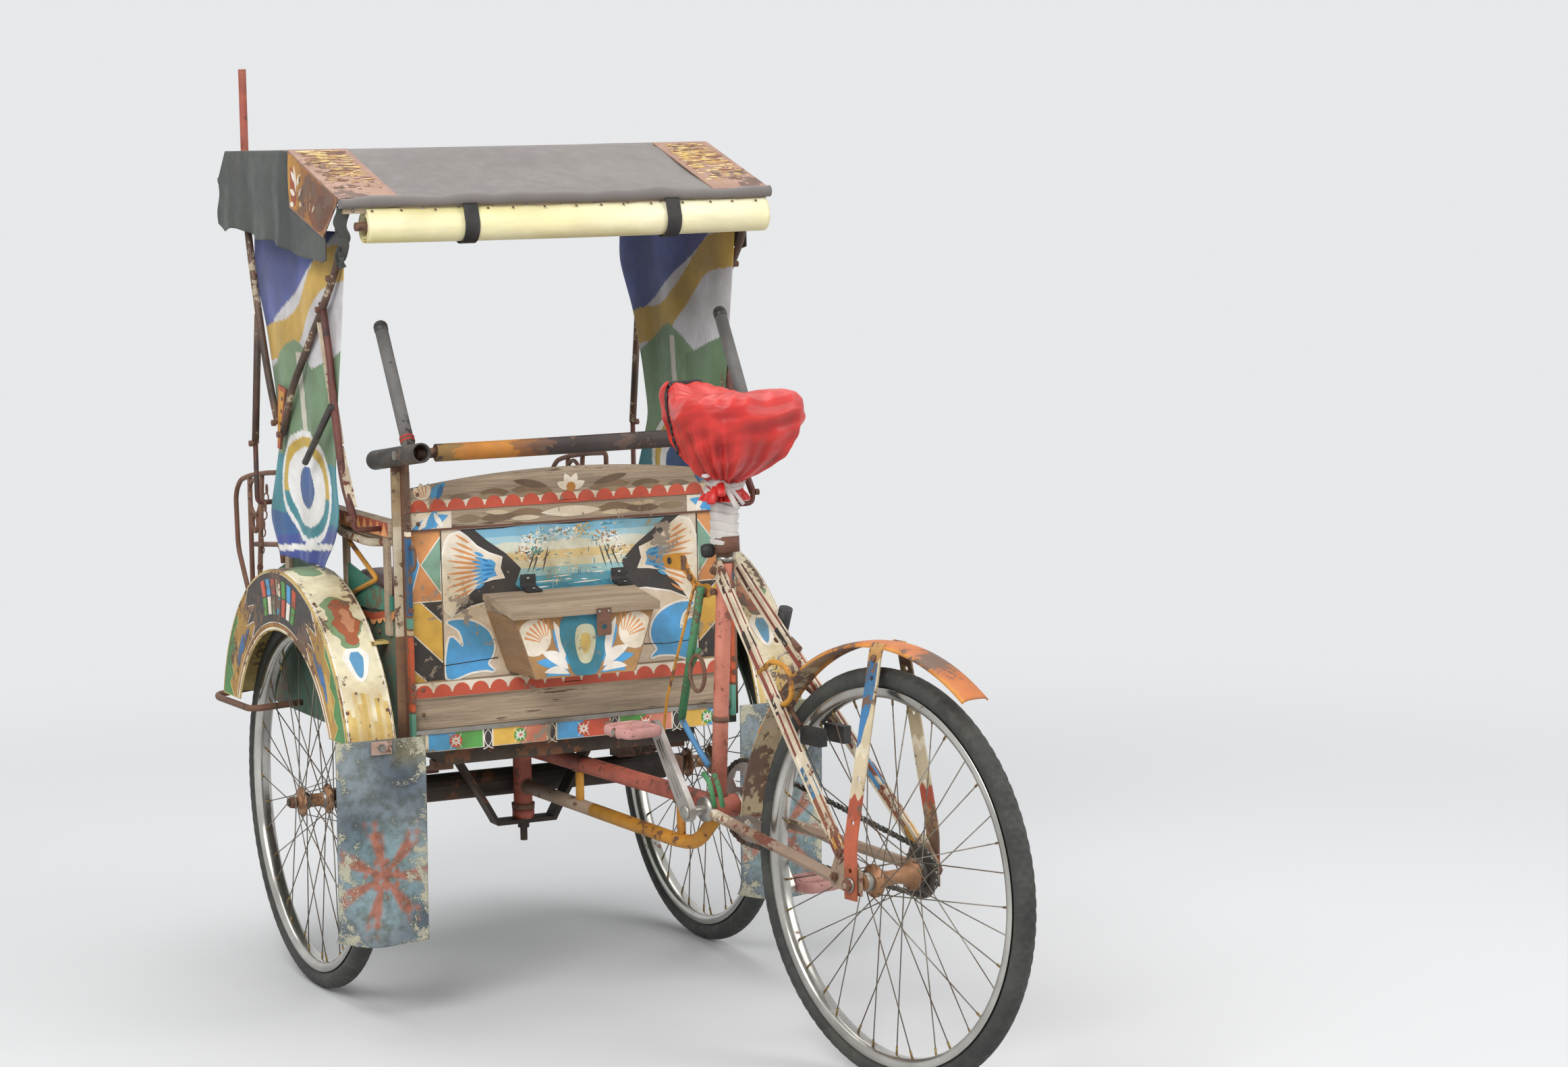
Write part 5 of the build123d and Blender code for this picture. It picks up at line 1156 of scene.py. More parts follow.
class RICKSHAW_OT_mudguard_paint(bpy.types.Operator):
    """Paints both mudguards: the flat outer side with its leaves and blocks, and the curved crown."""

    bl_idname = "rickshaw.mudguard_paint"
    bl_label = "Mudguard painting"

    def execute(self, context):
        black = [(0.25, 0.14), (0.31, 0.3), (0.235, 0.45), (0.32, 0.58), (0.25, 0.76), (0.3, 0.97)]
        black = black + [(1 - s, t) for s, t in reversed(black)]
        shapes = [
            (on_guard([(0, 0), (1, 0), (1, 1), (0, 1)], n=60), "b58c3f", 1),
            (on_guard(black, n=10), BLACK, 3),
            (stroke(on_guard(black[:6], False), 0.0022), WHITE, 4),
            (stroke(on_guard(black[6:], False), 0.0022), WHITE, 4),
        ]
        for t, width, tone, layer in (
            (0.025, 0.0042, CREAM, 4), (0.085, 0.005, "a8742e", 4), (0.125, 0.0016, WHITE, 4),
            (0.975, 0.0034, "cdb987", 4.5),
        ):
            shapes.append((stroke(on_guard([(0, t), (1, t)], False, 80), width), tone, layer))
        blocks = (
            (RED, LEAF_GREEN), (BLUE, WHITE), (RED, GREEN), (WHITE, BLUE), (LEAF_GREEN, RED), (BLUE, WHITE),
            (RED, LEAF_GREEN),
        )
        for number, (upper, lower) in enumerate(blocks):
            s = 0.385 + 0.034 * number
            shapes.append((on_guard([(s, 0.26), (s + 0.022, 0.26), (s + 0.026, 0.56), (s + 0.004, 0.56)]), lower, 5))
            shapes.append((on_guard([(s + 0.004, 0.58), (s + 0.026, 0.58), (s + 0.022, 0.86), (s, 0.86)]), upper, 5))
        green = [
            (0.0, 1.0), (0.0, 0.3), (0.03, 0.62), (0.06, 0.48), (0.09, 0.74), (0.125, 0.62), (0.15, 0.84), (0.19, 0.8),
            (0.21, 0.95),
        ]
        for end in (0, 1):
            lie, way = (end, 0), (1 - 2 * end, 1)
            bush = np.array(lie) + np.array(green) * way
            shapes += [(on_guard(bush), "4f8a4a", 2.5), (stroke(on_guard(bush[1:], False), 0.0016), "d9c684", 3.5)]
            for s0, t0, s1, t1, width in (
                (0.05, 0.3, 0.13, 0.44, 0.07), (0.1, 0.28, 0.19, 0.5, 0.07), (0.15, 0.26, 0.235, 0.4, 0.07),
                (0.08, 0.42, 0.14, 0.62, 0.1),
            ):
                leafed = np.array(lie) + spindle((s0, t0), (s1, t1), width) * way
                shapes.append((on_guard(leafed, n=2), "3f6fa8" if t0 < 0.3 else "caa55a", 3))
        for side, label in ((-1, "left"), (1, "right")):
            pile = Pile()
            painted(pile, shapes, facing_side(side * 0.455), "painted_sheet")

            def crown(a, b, h):
                angle = np.radians(b)
                radius = GUARD_R + h
                return in_cabin(stacked(side * a, GUARD_Y + radius * np.cos(angle), GUARD_Z + radius * np.sin(angle)))

            def band(x0, x1, along, height, tone, across=6, edge=1.0):
                ribbon(pile, stacked(x0, along), stacked(x1, along), crown, height, tone, across, edge)

            long = np.linspace(GUARD_START, GUARD_START + GUARD_TURN, 60)
            band(0.3635, 0.3635 + 0.0895, long, 0.0004, "e9dfbd", 14, 0.6)
            for number in range(20):
                part = np.linspace(15.3, 27 + 3.5 * math.sin(2.3 * number) + 2.5 * math.sin(5.1 * number + 1), 12)
                part = part if number < 10 else 180 - part[::-1]
                x = 0.368 + 0.008 * (number % 10)
                band(x, x + 0.008, part, 0.0006, ("dec07a", "e2cd98", "d9bb6c")[number % 10 % 3], 3, 0.85)
            for x in (0.3645, 0.45):
                band(x, x + 0.0025, long, 0.0009, WHITE, 4, 0.55)
            for centre in (90, 126, 54):
                t = np.linspace(-0.995, 0.995, 25)
                spread = np.sqrt(1 - t**2) * (1 + 0.22 * np.sin(7 * t + centre) + 0.1 * np.sin(17 * t))
                layers = (
                    ("7f9a72", 11, 0.03, 0.41, 0.0007), ("a9603f", 9.5, 0.022, 0.404, 0.0009),
                    ("c58a66", 5, 0.011, 0.4, 0.0011),
                )
                for tone, half, size, middle, lift in layers[: 3 if centre != 90 else 1]:
                    band(middle - size * spread, middle + size * spread, centre + half * t, lift, tone, 8, 0.7)
            for centre, way in ((142, 1), (38, -1)):
                for width, length, tone, lift in ((0.046, 11, WHITE, 0.0013), (0.024, 8.5, "5f9ac0", 0.0016)):
                    t = np.linspace(0.001, 1, 14)
                    spread = width / 2 * np.minimum(1, 0.45 + 2.2 * t) * np.sqrt(np.maximum(1 - t, 0.0)) * 1.3
                    band(0.408 - spread, 0.408 + spread, centre - way * length / 2 + way * length * t, lift, tone)
            for angle in (156, 24, 118, 62):
                c, s = math.cos(math.radians(angle)), math.sin(math.radians(angle))
                for x in (0.371, 0.447):
                    head = nail_head(0.0003, 0.0036, 0.0022, 0.003, 0.003)
                    turned(pile, head, (side * x, GUARD_Y + GUARD_R * c, GUARD_Z + GUARD_R * s), (0, c, s), "rust", 12)
            pile.build(f"mudguard_{label}_painting", "cabin", slot="guard_paint")
        return {"FINISHED"}


def blended(colour, code, share):
    """A colour with a share of another, given in six digits."""
    return np.asarray(colour) * (1 - share) + np.array(linear(code)) * share


class RICKSHAW_OT_mudflaps(bpy.types.Operator):
    """Makes the two rubber mudflaps, hanging a little bent, sprayed with a many-rayed star.

    At the shares u across and v down, y = -0.3705 + 0.006 v sin(2.4 v) + 0.004 v sin(5u + 3v) + 0.020 c^2, where c
    grows from 0 to 1 towards the curled lower corner.
    """

    bl_idname = "rickshaw.mudflaps"
    bl_label = "Mudflaps"

    def execute(self, context):
        pile = Pile()
        rows, cols = 120, 60
        v, u = np.meshgrid(np.linspace(0, 1, rows), np.linspace(0, 1, cols), indexing="ij")
        for side in (-1, 1):
            out = 1 - u if side < 0 else u
            x = side * (0.315 + 0.17 * out)
            z = 0.526 - 0.376 * v - 0.006 * (1 - u) * v
            corner = np.clip((v - 0.84) / 0.16, 0, 1) * np.clip((0.55 - u) / 0.55, 0, 1)
            y = -0.3705 + 0.006 * np.sin(2.4 * v) * v + 0.004 * np.sin(5 * u + 3 * v) * v + 0.02 * corner**2
            z = z + 0.016 * corner**2
            edge = 2.1 * np.abs(u - 0.5) + 0.25 * np.sin(9 * v + 2) - 0.45 + 0.9 * (v > 0.86) * (v - 0.86) * 7
            edge = np.clip(edge + 0.1 * np.sin(23 * u + 31 * v) + 0.08 * np.sin(57 * v - 40 * u), 0.12, 0.72)
            cloud = (0.5 + 0.25 * np.sin(5 * u + 7 * v) + 0.25 * np.sin(11 * v - 6 * u + 1))[..., None]
            colour = blended(linear("505b66"), "8b979b", cloud)
            dx, dz = (u - 0.5) * 0.17, (v - 0.66) * -0.376
            radius, angle = np.hypot(dx, dz), np.arctan2(dz, dx)
            wobble = 0.012 * np.sin(31 * dx * 10) + 0.01 * np.sin(27 * dz * 10)
            rays = np.clip(np.cos(7 * angle + 0.4 * np.sin(30 * radius)) * 1.3 + 0.35 - radius * 4, 0, 1)
            rays = rays * np.clip((0.104 + wobble - radius) * 30, 0, 1)
            rays = np.maximum(rays, np.clip((0.03 + wobble - radius) * 60, 0, 1))[..., None]
            halo = (np.clip((0.115 - radius) * 22, 0, 1) * 0.45)[..., None]
            colour = blended(blended(colour, "8fb0b4", halo), "b5603a", 0.8 * rays)
            patch = np.clip((0.16 - v) * 12, 0, 1)[..., None] * np.clip((u - 0.55) * 6, 0, 1)[..., None]
            colour = blended(colour, "8d8052", 0.6 * patch)
            front = np.stack([x, y, z], -1)
            rear = front + (0, -0.0035, 0)
            sheet = np.concatenate([front, rear[:, ::-1]], 1)
            colour = np.concatenate([colour, (1 - edge)[..., None]], -1)
            tones = np.concatenate([colour * 0 + (0.03, 0.03, 0.03, 1), colour[:, ::-1]], 1).reshape(-1, 4)
            pile.loft(in_cabin(sheet), "flap_spray", True, tones)
            centre = side * 0.4
            box(pile, (centre - 0.019, -0.378, 0.5), (centre + 0.019, -0.3735, 0.524), "rust_pale")
            turned(
                pile, bolt(0.008, 0.0015, 0.0055, 0.006), (centre, -0.378, 0.512), (0, -1, 0), "steel", 6, smooth=False,
            )
        pile.build("mudflap_sheets", "cabin", ["mudflaps"], "flap")
        return {"FINISHED"}


ROOF_HALF = 0.42
ROOF_LINE = ((-0.305, 1.491), (-0.031, 1.576), (0.342, 1.573), (0.391, 1.52))
SKIRT_LINE = (
    (-0.214, 1.377), (-0.192, 1.371), (-0.099, 1.383), (-0.024, 1.393), (0.054, 1.404), (0.153, 1.411), (0.234, 1.42),
    (0.317, 1.423), (0.365, 1.419), (0.391, 1.436),
)


def edge_hem(pile, points, radius, material, seed):
    """A rolled edge of cloth: a tube whose thickness wanders a little."""
    p = np.asarray(points, float)
    t = np.linspace(0, 1, 90)
    steps = run_of(p)
    path = np.stack([np.interp(t * steps[-1], steps, p[:, k]) for k in range(3)], -1)
    rng = np.random.default_rng(seed)
    waves = sum(rng.uniform(0.02, 0.09) * np.sin(t * rng.uniform(9, 90) + rng.uniform(0, 6)) for _ in range(7))
    path[:, 2] += 0.0016 * waves / 0.1
    tube(pile, path, radius, material, sides=14, swell=1 + waves)


class RICKSHAW_OT_roof(bpy.types.Operator):
    """Makes the roof cover as one tight sheet with rolled hems, and the skirts that hang from its ends.

    The cover follows the rounded roof line and sags by 0.006 sin^2 and 0.008 sin^2 (1 - (x / 0.42)^4) between its bars.
    A skirt at the share v down its drop stands out by v (0.006 sin(17y + 0.7) + 0.004 sin(41y + 2) + 0.002 sin 80y).
    """

    bl_idname = "rickshaw.roof"
    bl_label = "Roof cover and skirts"

    def execute(self, context):
        line = rounded(ROOF_LINE, 0.05, 9)
        steps = run_of(line)
        rows, cols = 110, 70
        s = np.linspace(0, steps[-1], rows)
        y, z = np.interp(s, steps, line[:, 0]), np.interp(s, steps, line[:, 1])
        x = np.linspace(-0.4195, 0.4195, cols)
        share = s / steps[-1]
        sag = -0.006 * np.sin(np.pi * np.clip(share / 0.37, 0, 1)) ** 2
        sag = sag - 0.008 * np.sin(np.pi * np.clip((share - 0.37) / 0.52, 0, 1)) ** 2
        lift = sag[:, None] * (1 - (x / ROOF_HALF) ** 4)[None]
        outer = np.clip(np.abs(x)[None] / ROOF_HALF - 0.5, 0, 1)
        lift = lift + 0.0012 * np.sin(34 * x[None] + 9 * share[:, None]) * outer
        cloth = stacked(x[None], y[:, None], z[:, None] + lift - 0.0012)
        pile = Pile()
        pile.add(in_cabin(cloth), [grid(rows, cols)[:, ::-1]], "tarpaulin", closed=False)
        cover = pile.build("roof_cloth", "cabin", ["roof_cover"], "roof_sheet")
        thickened(cover, 0.0022)
        hem = Pile()
        edge_hem(hem, [(-0.425, -0.3085, 1.4855), (0.425, -0.3085, 1.4855)], 0.0105, "tarpaulin", 3)
        edge_hem(hem, [(-0.425, 0.392, 1.518), (0.425, 0.392, 1.518)], 0.0085, "tarpaulin", 4)
        box(hem, (-0.418, -0.3075, 1.465), (0.418, -0.299, 1.4765), "weathered_wood")
        for x0 in np.linspace(-0.4, 0.4, 13):
            nail = nail_head(0.0004, 0.0032, 0.0016, 0.0026, 0.0022)
            turned(hem, nail, (x0, -0.3075, 1.4705), (0, -1, 0), "steel", 10)
        hem.build("roof_hem", "cabin", slot="roof_sheet")
        for side, label in ((-1, "left"), (1, "right")):
            rows, cols = 40, 120
            y = np.linspace(-0.214, 0.391, cols)
            top = np.interp(y, (-0.214, -0.031, 0.0, 0.342, 0.391), (1.437, 1.573, 1.576, 1.574, 1.519))
            low = np.interp(y, *zip(*SKIRT_LINE))
            v = np.linspace(0, 1, rows)[:, None]
            height = top[None] * (1 - v) + (low[None] + 0.004 * np.sin(26 * y)[None]) * v
            wave = v * (0.006 * np.sin(17 * y + 0.7) + 0.004 * np.sin(41 * y + 2.0) + 0.002 * np.sin(80 * y))[None]
            wave = wave + 0.003 * np.sin(9 * y[None] + 5 * v) * v * (1 - v) * 4
            bulge = (0.004 + wave) * np.clip((y + 0.03) / 0.04, 0, 1)[None] - 0.0015 * (y < -0.02)
            sheet = stacked(side * (0.4225 + bulge), y[None], height)
            skirt = Pile()
            faces = grid(rows, cols)
            skirt.add(in_cabin(sheet), [faces if side < 0 else faces[:, ::-1]], "skirt_rubber", closed=False)
            piece = skirt.build(f"roof_skirt_{label}", "cabin", ["roof_skirts"], "skirt")
            thickened(piece, 0.0022)
        return {"FINISHED"}


class RICKSHAW_OT_cap_paint(bpy.types.Operator):
    """Paints the sheet bands on the roof's corners: pale worn lines above and a white sprig on the side face."""

    bl_idname = "rickshaw.cap_paint"
    bl_label = "Roof corner painting"

    def execute(self, context):
        rng = np.random.default_rng(5)
        pile = Pile()
        run = np.array(ROOF_LINE[1]) - ROOF_LINE[0]
        length = float(np.hypot(*run))
        way, up = run / length, np.array((-run[1], run[0])) / length
        for side in (-1, 1):
            def slope(a, b, h):
                y = ROOF_LINE[0][0] + way[0] * b + up[0] * (0.002 + h)
                z = ROOF_LINE[0][1] + way[1] * b + up[1] * (0.002 + h)
                return in_cabin(stacked(side * a, y, z))

            shapes = []
            for number in range(230):
                b = length * (0.16 + 0.8 * rng.random() ** 0.62)
                size = rng.uniform(0.005, 0.03) * (0.5 + b / length)
                a = rng.uniform(0.318, 0.418 - size)
                tone = ("dcc478", "cfae62", "8a5640", "e9d99a", "c79a55", "7c4c38")[number % 6]
                shapes.append(
                    (leaf(a, b, size, rng.uniform(0.0012, 0.0046), rng.uniform(-9, 9)), tone, 1 + 0.006 * number)
                )
            painted(pile, shapes, slope, "painted_sheet")
            sprig = [([(-0.033, 1.572), (-0.034, 1.475), (-0.213, 1.425), (-0.3, 1.491)], "a8702f", 0.3)]
            sprig += [(flowing(line, 6), tone, layer) for line, tone, layer in (
                ([(-0.036, 1.568), (-0.036, 1.482), (-0.085, 1.47), (-0.11, 1.5), (-0.1, 1.545)], "bf8a38", 0.6),
                ([(-0.045, 1.545), (-0.045, 1.486), (-0.07, 1.478), (-0.075, 1.52)], "a04f2a", 0.9),
                ([(-0.15, 1.52), (-0.14, 1.458), (-0.205, 1.432), (-0.285, 1.49)], "85512c", 0.6),
                ([(-0.2, 1.495), (-0.19, 1.446), (-0.215, 1.436), (-0.27, 1.48)], "6e3f26", 0.9),
            )]
            for y, z, size, wide, angle in (
                (-0.075, 1.5, 0.05, 0.01, 80), (-0.08, 1.512, 0.03, 0.01, 130), (-0.07, 1.518, 0.03, 0.01, 45),
                (-0.085, 1.492, 0.032, 0.012, 150), (-0.068, 1.495, 0.028, 0.011, 20), (-0.06, 1.478, 0.022, 0.01, 0),
                (-0.092, 1.478, 0.026, 0.011, 170), (-0.145, 1.462, 0.06, 0.005, 105), (-0.16, 1.465, 0.03, 0.006, 140),
            ):
                sprig.append((leaf(y, z, size, wide, angle), WHITE if size < 0.055 else "d9b28a", 2))
            painted(pile, sprig, facing_side(side * 0.4253), "painted_sheet")
        pile.build("roof_cap_painting", "cabin", slot="cap_gold")
        return {"FINISHED"}


class RICKSHAW_OT_blind(bpy.types.Operator):
    """Makes the rolled rain blind: a flap from the roof's rear edge, the roll with its winding, straps and pole.

    The winding is a spiral, radius = 0.0305 - 0.0040 a / 2 pi, and sags by 0.0025 (1 - (x / 0.42)^2).
    """

    bl_idname = "rickshaw.blind"
    bl_label = "Rolled blind"

    def execute(self, context):
        centre = np.array((-0.295, 1.4414))
        turn = np.linspace(0, 5.5 * np.pi, 96)
        radius = 0.0305 - 0.004 * turn / (2 * np.pi)
        wind = centre + np.c_[-radius * np.cos(turn), -radius * np.sin(turn)]
        flap = np.array([(-0.306, 1.476), (-0.315, 1.468), (-0.3225, 1.456)])
        section = np.concatenate([flap, wind])
        x = np.linspace(-0.376, 0.4165, 104)
        wrinkle = 0.0011 * np.sin(31 * x) + 0.0009 * np.sin(77 * x + 1) + 0.0005 * np.sin(171 * x)
        sag = 0.0025 * (1 - (x / ROOF_HALF) ** 2)
        roll = stacked(x[:, None], section[None, :, 0] - wrinkle[:, None], section[None, :, 1] - sag[:, None])
        pile = Pile()
        pile.add(in_cabin(roll), [grid(len(x), len(section))], "blind_cream", closed=False)
        piece = pile.build("blind_roll", "cabin", ["rolled_blind"], "blind")
        thickened(piece, 0.0012)
        straps = Pile()
        for x0 in (-0.18, 0.22):
            a = np.linspace(-0.15 * np.pi, 1.55 * np.pi, 34)
            loop = centre + np.c_[-0.0335 * np.cos(a), -0.0335 * np.sin(a) - 0.0015]
            loop = np.concatenate([[(-0.3075, 1.486), (-0.318, 1.476)], loop[2:]])
            path = np.c_[np.full(len(loop), x0), loop]
            strip(straps, path, 0.0009, 0.014, "rubber_black")
        for x0 in np.linspace(-0.36, 0.4, 15):
            nail = nail_head(0.0005, 0.0026, 0.0014, 0.002, 0.0019)
            turned(straps, nail, (x0 + 0.008 * math.sin(90 * x0), -0.3157, 1.469), (0, -0.75, 0.66), "rust", 10)
        pole = Pile()
        tube(pole, [(-0.392, *centre), (0.428, *centre)], 0.008, "rust")
        for start, sway, wide in ((0.0, 0.01, 0.011), (0.9, -0.008, 0.008), (2.1, 0.004, 0.013)):
            s = np.linspace(0, 1, 40)
            line = np.array((-0.418, -0.302, 1.478)) + s[:, None] * (0.012, 0.042, -0.085 - 0.02 * wide / 0.01)
            line[:, 1] += sway * np.sin(7 * s + start) * s
            line[:, 0] += 0.004 * np.sin(11 * s + start)
            strip(pole, line, 0.001, wide, "skirt_rubber", 1 - 0.45 * s + 0.12 * np.sin(23 * s + start))
        pole.build("blind_pole", "cabin", slot="blind")
        straps.build("blind_straps", "cabin", slot="blind")
        return {"FINISHED"}


# A curtain's two edges as (height, distance in front of the axle).
CURTAIN_FRONT = (
    (0.801, 0.205), (0.873, 0.261), (0.969, 0.211), (1.036, 0.179), (1.138, 0.206), (1.24, 0.244), (1.341, 0.308),
    (1.43, 0.3),
)
CURTAIN_REAR = (
    (0.801, -0.06), (0.86, -0.137), (0.913, -0.164), (0.986, -0.148), (1.112, -0.171), (1.335, -0.216), (1.43, -0.23),
)


def curtain_colour(y, z):
    """A made-up print of plain blocks and ovals: each test of y and z lays one colour over those before."""
    tones = np.zeros(y.shape + (3,)) + linear("d9d6da")

    def lay(mask, code):
        tones[mask] = linear(code)

    lay(z > 1.27 + 0.5 * (0.15 - y), "56609c")
    lay(np.abs(z - 1.24 - 0.45 * (0.12 - y) + 0.02 * np.sin(18 * y)) < 0.035, "cfa952")
    lay((z < 1.19 + 0.03 * np.sin(20 * y)) & (z > 0.99), "7f9a78")
    lay((z < 1.17 - 0.25 * (y + 0.02)) & (z > 0.99) & (y < 0.0), "6f8a68")
    lay((np.abs(y - 0.045 - 0.15 * (z - 1.1)) < 0.012) & (z < 1.2) & (z > 1.0), "dcd6c8")
    lay(z <= 1.0, "3f8a96")
    lay((z <= 0.885) & (z > 0.8), "3a6498")
    lay(z <= 0.86 - 0.12 * (y - 0.02), "44529a")

    def oval(ry, rz):
        return ((y - 0.035) / ry) ** 2 + ((z - 0.945) / rz) ** 2

    for ry, rz, code in (
        (0.135, 0.108, "f1f0ee"), (0.122, 0.096, "cfae4c"), (0.098, 0.076, "f1f0ee"), (0.052, 0.04, "3a5a8e"),
    ):
        lay(oval(ry, rz) < 1, code)
    lay((oval(0.122, 0.096) < 1) & (oval(0.098, 0.076) > 1) & (z < 0.93), "3f8a96")
    lay(np.abs(z - 0.835 + 0.1 * y) < 0.006, "eceae6")
    return tones


class RICKSHAW_OT_curtains(bpy.types.Operator):
    """Makes the two printed side curtains, hung between the hood bars with long soft folds.

    At the share s across, x = 0.3880 + 0.0035 sin(15s + 2z) + 0.0022 sin(33s - 5z) where the curtain is gathered,
    less a hollow of 0.006 sin(pi s) in its lower half.
    """

    bl_idname = "rickshaw.curtains"
    bl_label = "Side curtains"

    def execute(self, context):
        rows, cols = 168, 128
        z = np.linspace(1.43, 0.801, rows)[:, None]
        s = np.linspace(0, 1, cols)[None]
        soft = np.hanning(23)[1:-1] / np.hanning(23).sum()
        front, rear = (
            np.convolve(np.pad(np.interp(z[:, 0], *zip(*line)), 10, "edge"), soft, "valid")[:, None]
            for line in (CURTAIN_FRONT, CURTAIN_REAR)
        )
        y = rear + (front - rear) * s
        width = front - rear
        fold = 0.0035 * np.sin(15 * s + 2 * z) + 0.0022 * np.sin(33 * s - 5 * z) * np.clip((0.5 - width) / 0.2, 0, 1)
        fold = fold - 0.006 * np.sin(np.pi * s) * np.clip((1.2 - z) * 3, 0, 1)
        for side, label in ((-1, "left"), (1, "right")):
            sheet = stacked(side * (0.388 + np.minimum(fold, 0.0035)), y, z)
            pile = Pile()
            faces = grid(rows, cols)
            tones = curtain_colour(y, sheet[..., 2]).reshape(-1, 3)
            pile.add(in_cabin(sheet), [faces if side > 0 else faces[:, ::-1]], "painted_cloth", True, tones, False)
            piece = pile.build(f"curtain_{label}", "cabin", ["curtains"], "curtain")
            thickened(piece, 0.0009, 0.0)
        return {"FINISHED"}


class CushionSettings(bpy.types.PropertyGroup):
    """How the seat cushions are stuffed."""

    pressure: bpy.props.FloatProperty(
        name="Pressure", description="Air pressure while the cover is blown up", default=4.0,
    )
    steps: bpy.props.IntProperty(name="Steps", description="Simulation steps before the cover is kept", default=14)


def puffed(name, low, high, settings, cap=0.012):
    """A block blown up as cloth under pressure, with how far a point may move kept under a cap."""
    bpy.ops.mesh.primitive_cube_add(size=1, location=(0, 0, 0))
    piece = bpy.context.object
    piece.name = name
    low, high = in_cabin(low), in_cabin(high)
    co = np.array([v.co for v in piece.data.vertices]) + 0.5
    piece.data.vertices.foreach_set("co", (low + co * (high - low)).ravel())
    bpy.ops.object.modifier_add(type="REMESH")
    piece.modifiers[0].mode, piece.modifiers[0].voxel_size = "VOXEL", 0.009
    bpy.ops.object.modifier_apply(modifier=piece.modifiers[0].name)
    count = len(piece.data.vertices)
    before = np.empty(count * 3)
    piece.data.vertices.foreach_get("co", before)
    cloth = piece.modifiers.new("stuffing", "CLOTH")
    cloth.settings.use_pressure = True
    cloth.settings.uniform_pressure_force = settings.pressure
    cloth.settings.effector_weights.gravity = 0
    cloth.settings.quality = 6
    for step in range(1, settings.steps + 1):
        bpy.context.scene.frame_set(step)
    bpy.ops.object.modifier_apply(modifier=cloth.name)
    bpy.context.scene.frame_set(1)
    after = np.empty(count * 3)
    piece.data.vertices.foreach_get("co", after)
    shift = (after - before).reshape(-1, 3)
    length = np.linalg.norm(shift, axis=1)[:, None]
    shift *= np.minimum(1, cap / np.maximum(length, 1e-9))
    piece.data.vertices.foreach_set("co", (before.reshape(-1, 3) + shift).ravel())
    piece.data.polygons.foreach_set("use_smooth", [True] * len(piece.data.polygons))
    fine = piece.modifiers.new("subdivision", "SUBSURF")
    fine.levels = fine.render_levels = 1
    return piece


class RICKSHAW_OT_cushions(bpy.types.Operator):
    """Makes the seat and back cushions of the passenger bench, stuffed by simulation."""

    bl_idname = "rickshaw.cushions"
    bl_label = "Seat cushions"

    def execute(self, context):
        settings = context.scene.rickshaw_cushions
        pads = (
            ("seat_pad", (-0.3, -0.232, 0.7065), (0.3, 0.076, 0.772)),
            ("back_pad", (-0.292, -0.2995, 0.795), (0.292, -0.25, 0.965)),
        )
        for name, low, high in pads:
            piece = puffed(name, low, high, settings)
            piece.data.materials.append(bpy.data.materials["worn_seat_vinyl"])
            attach(piece, "cabin")
            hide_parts("seat_cushions")
        return {"FINISHED"}


SEAT_Y = -0.672  # the seat post, behind the kingpin
INNER_ROWS = 16  # rows of the saddle cover that turn back up inside the tie


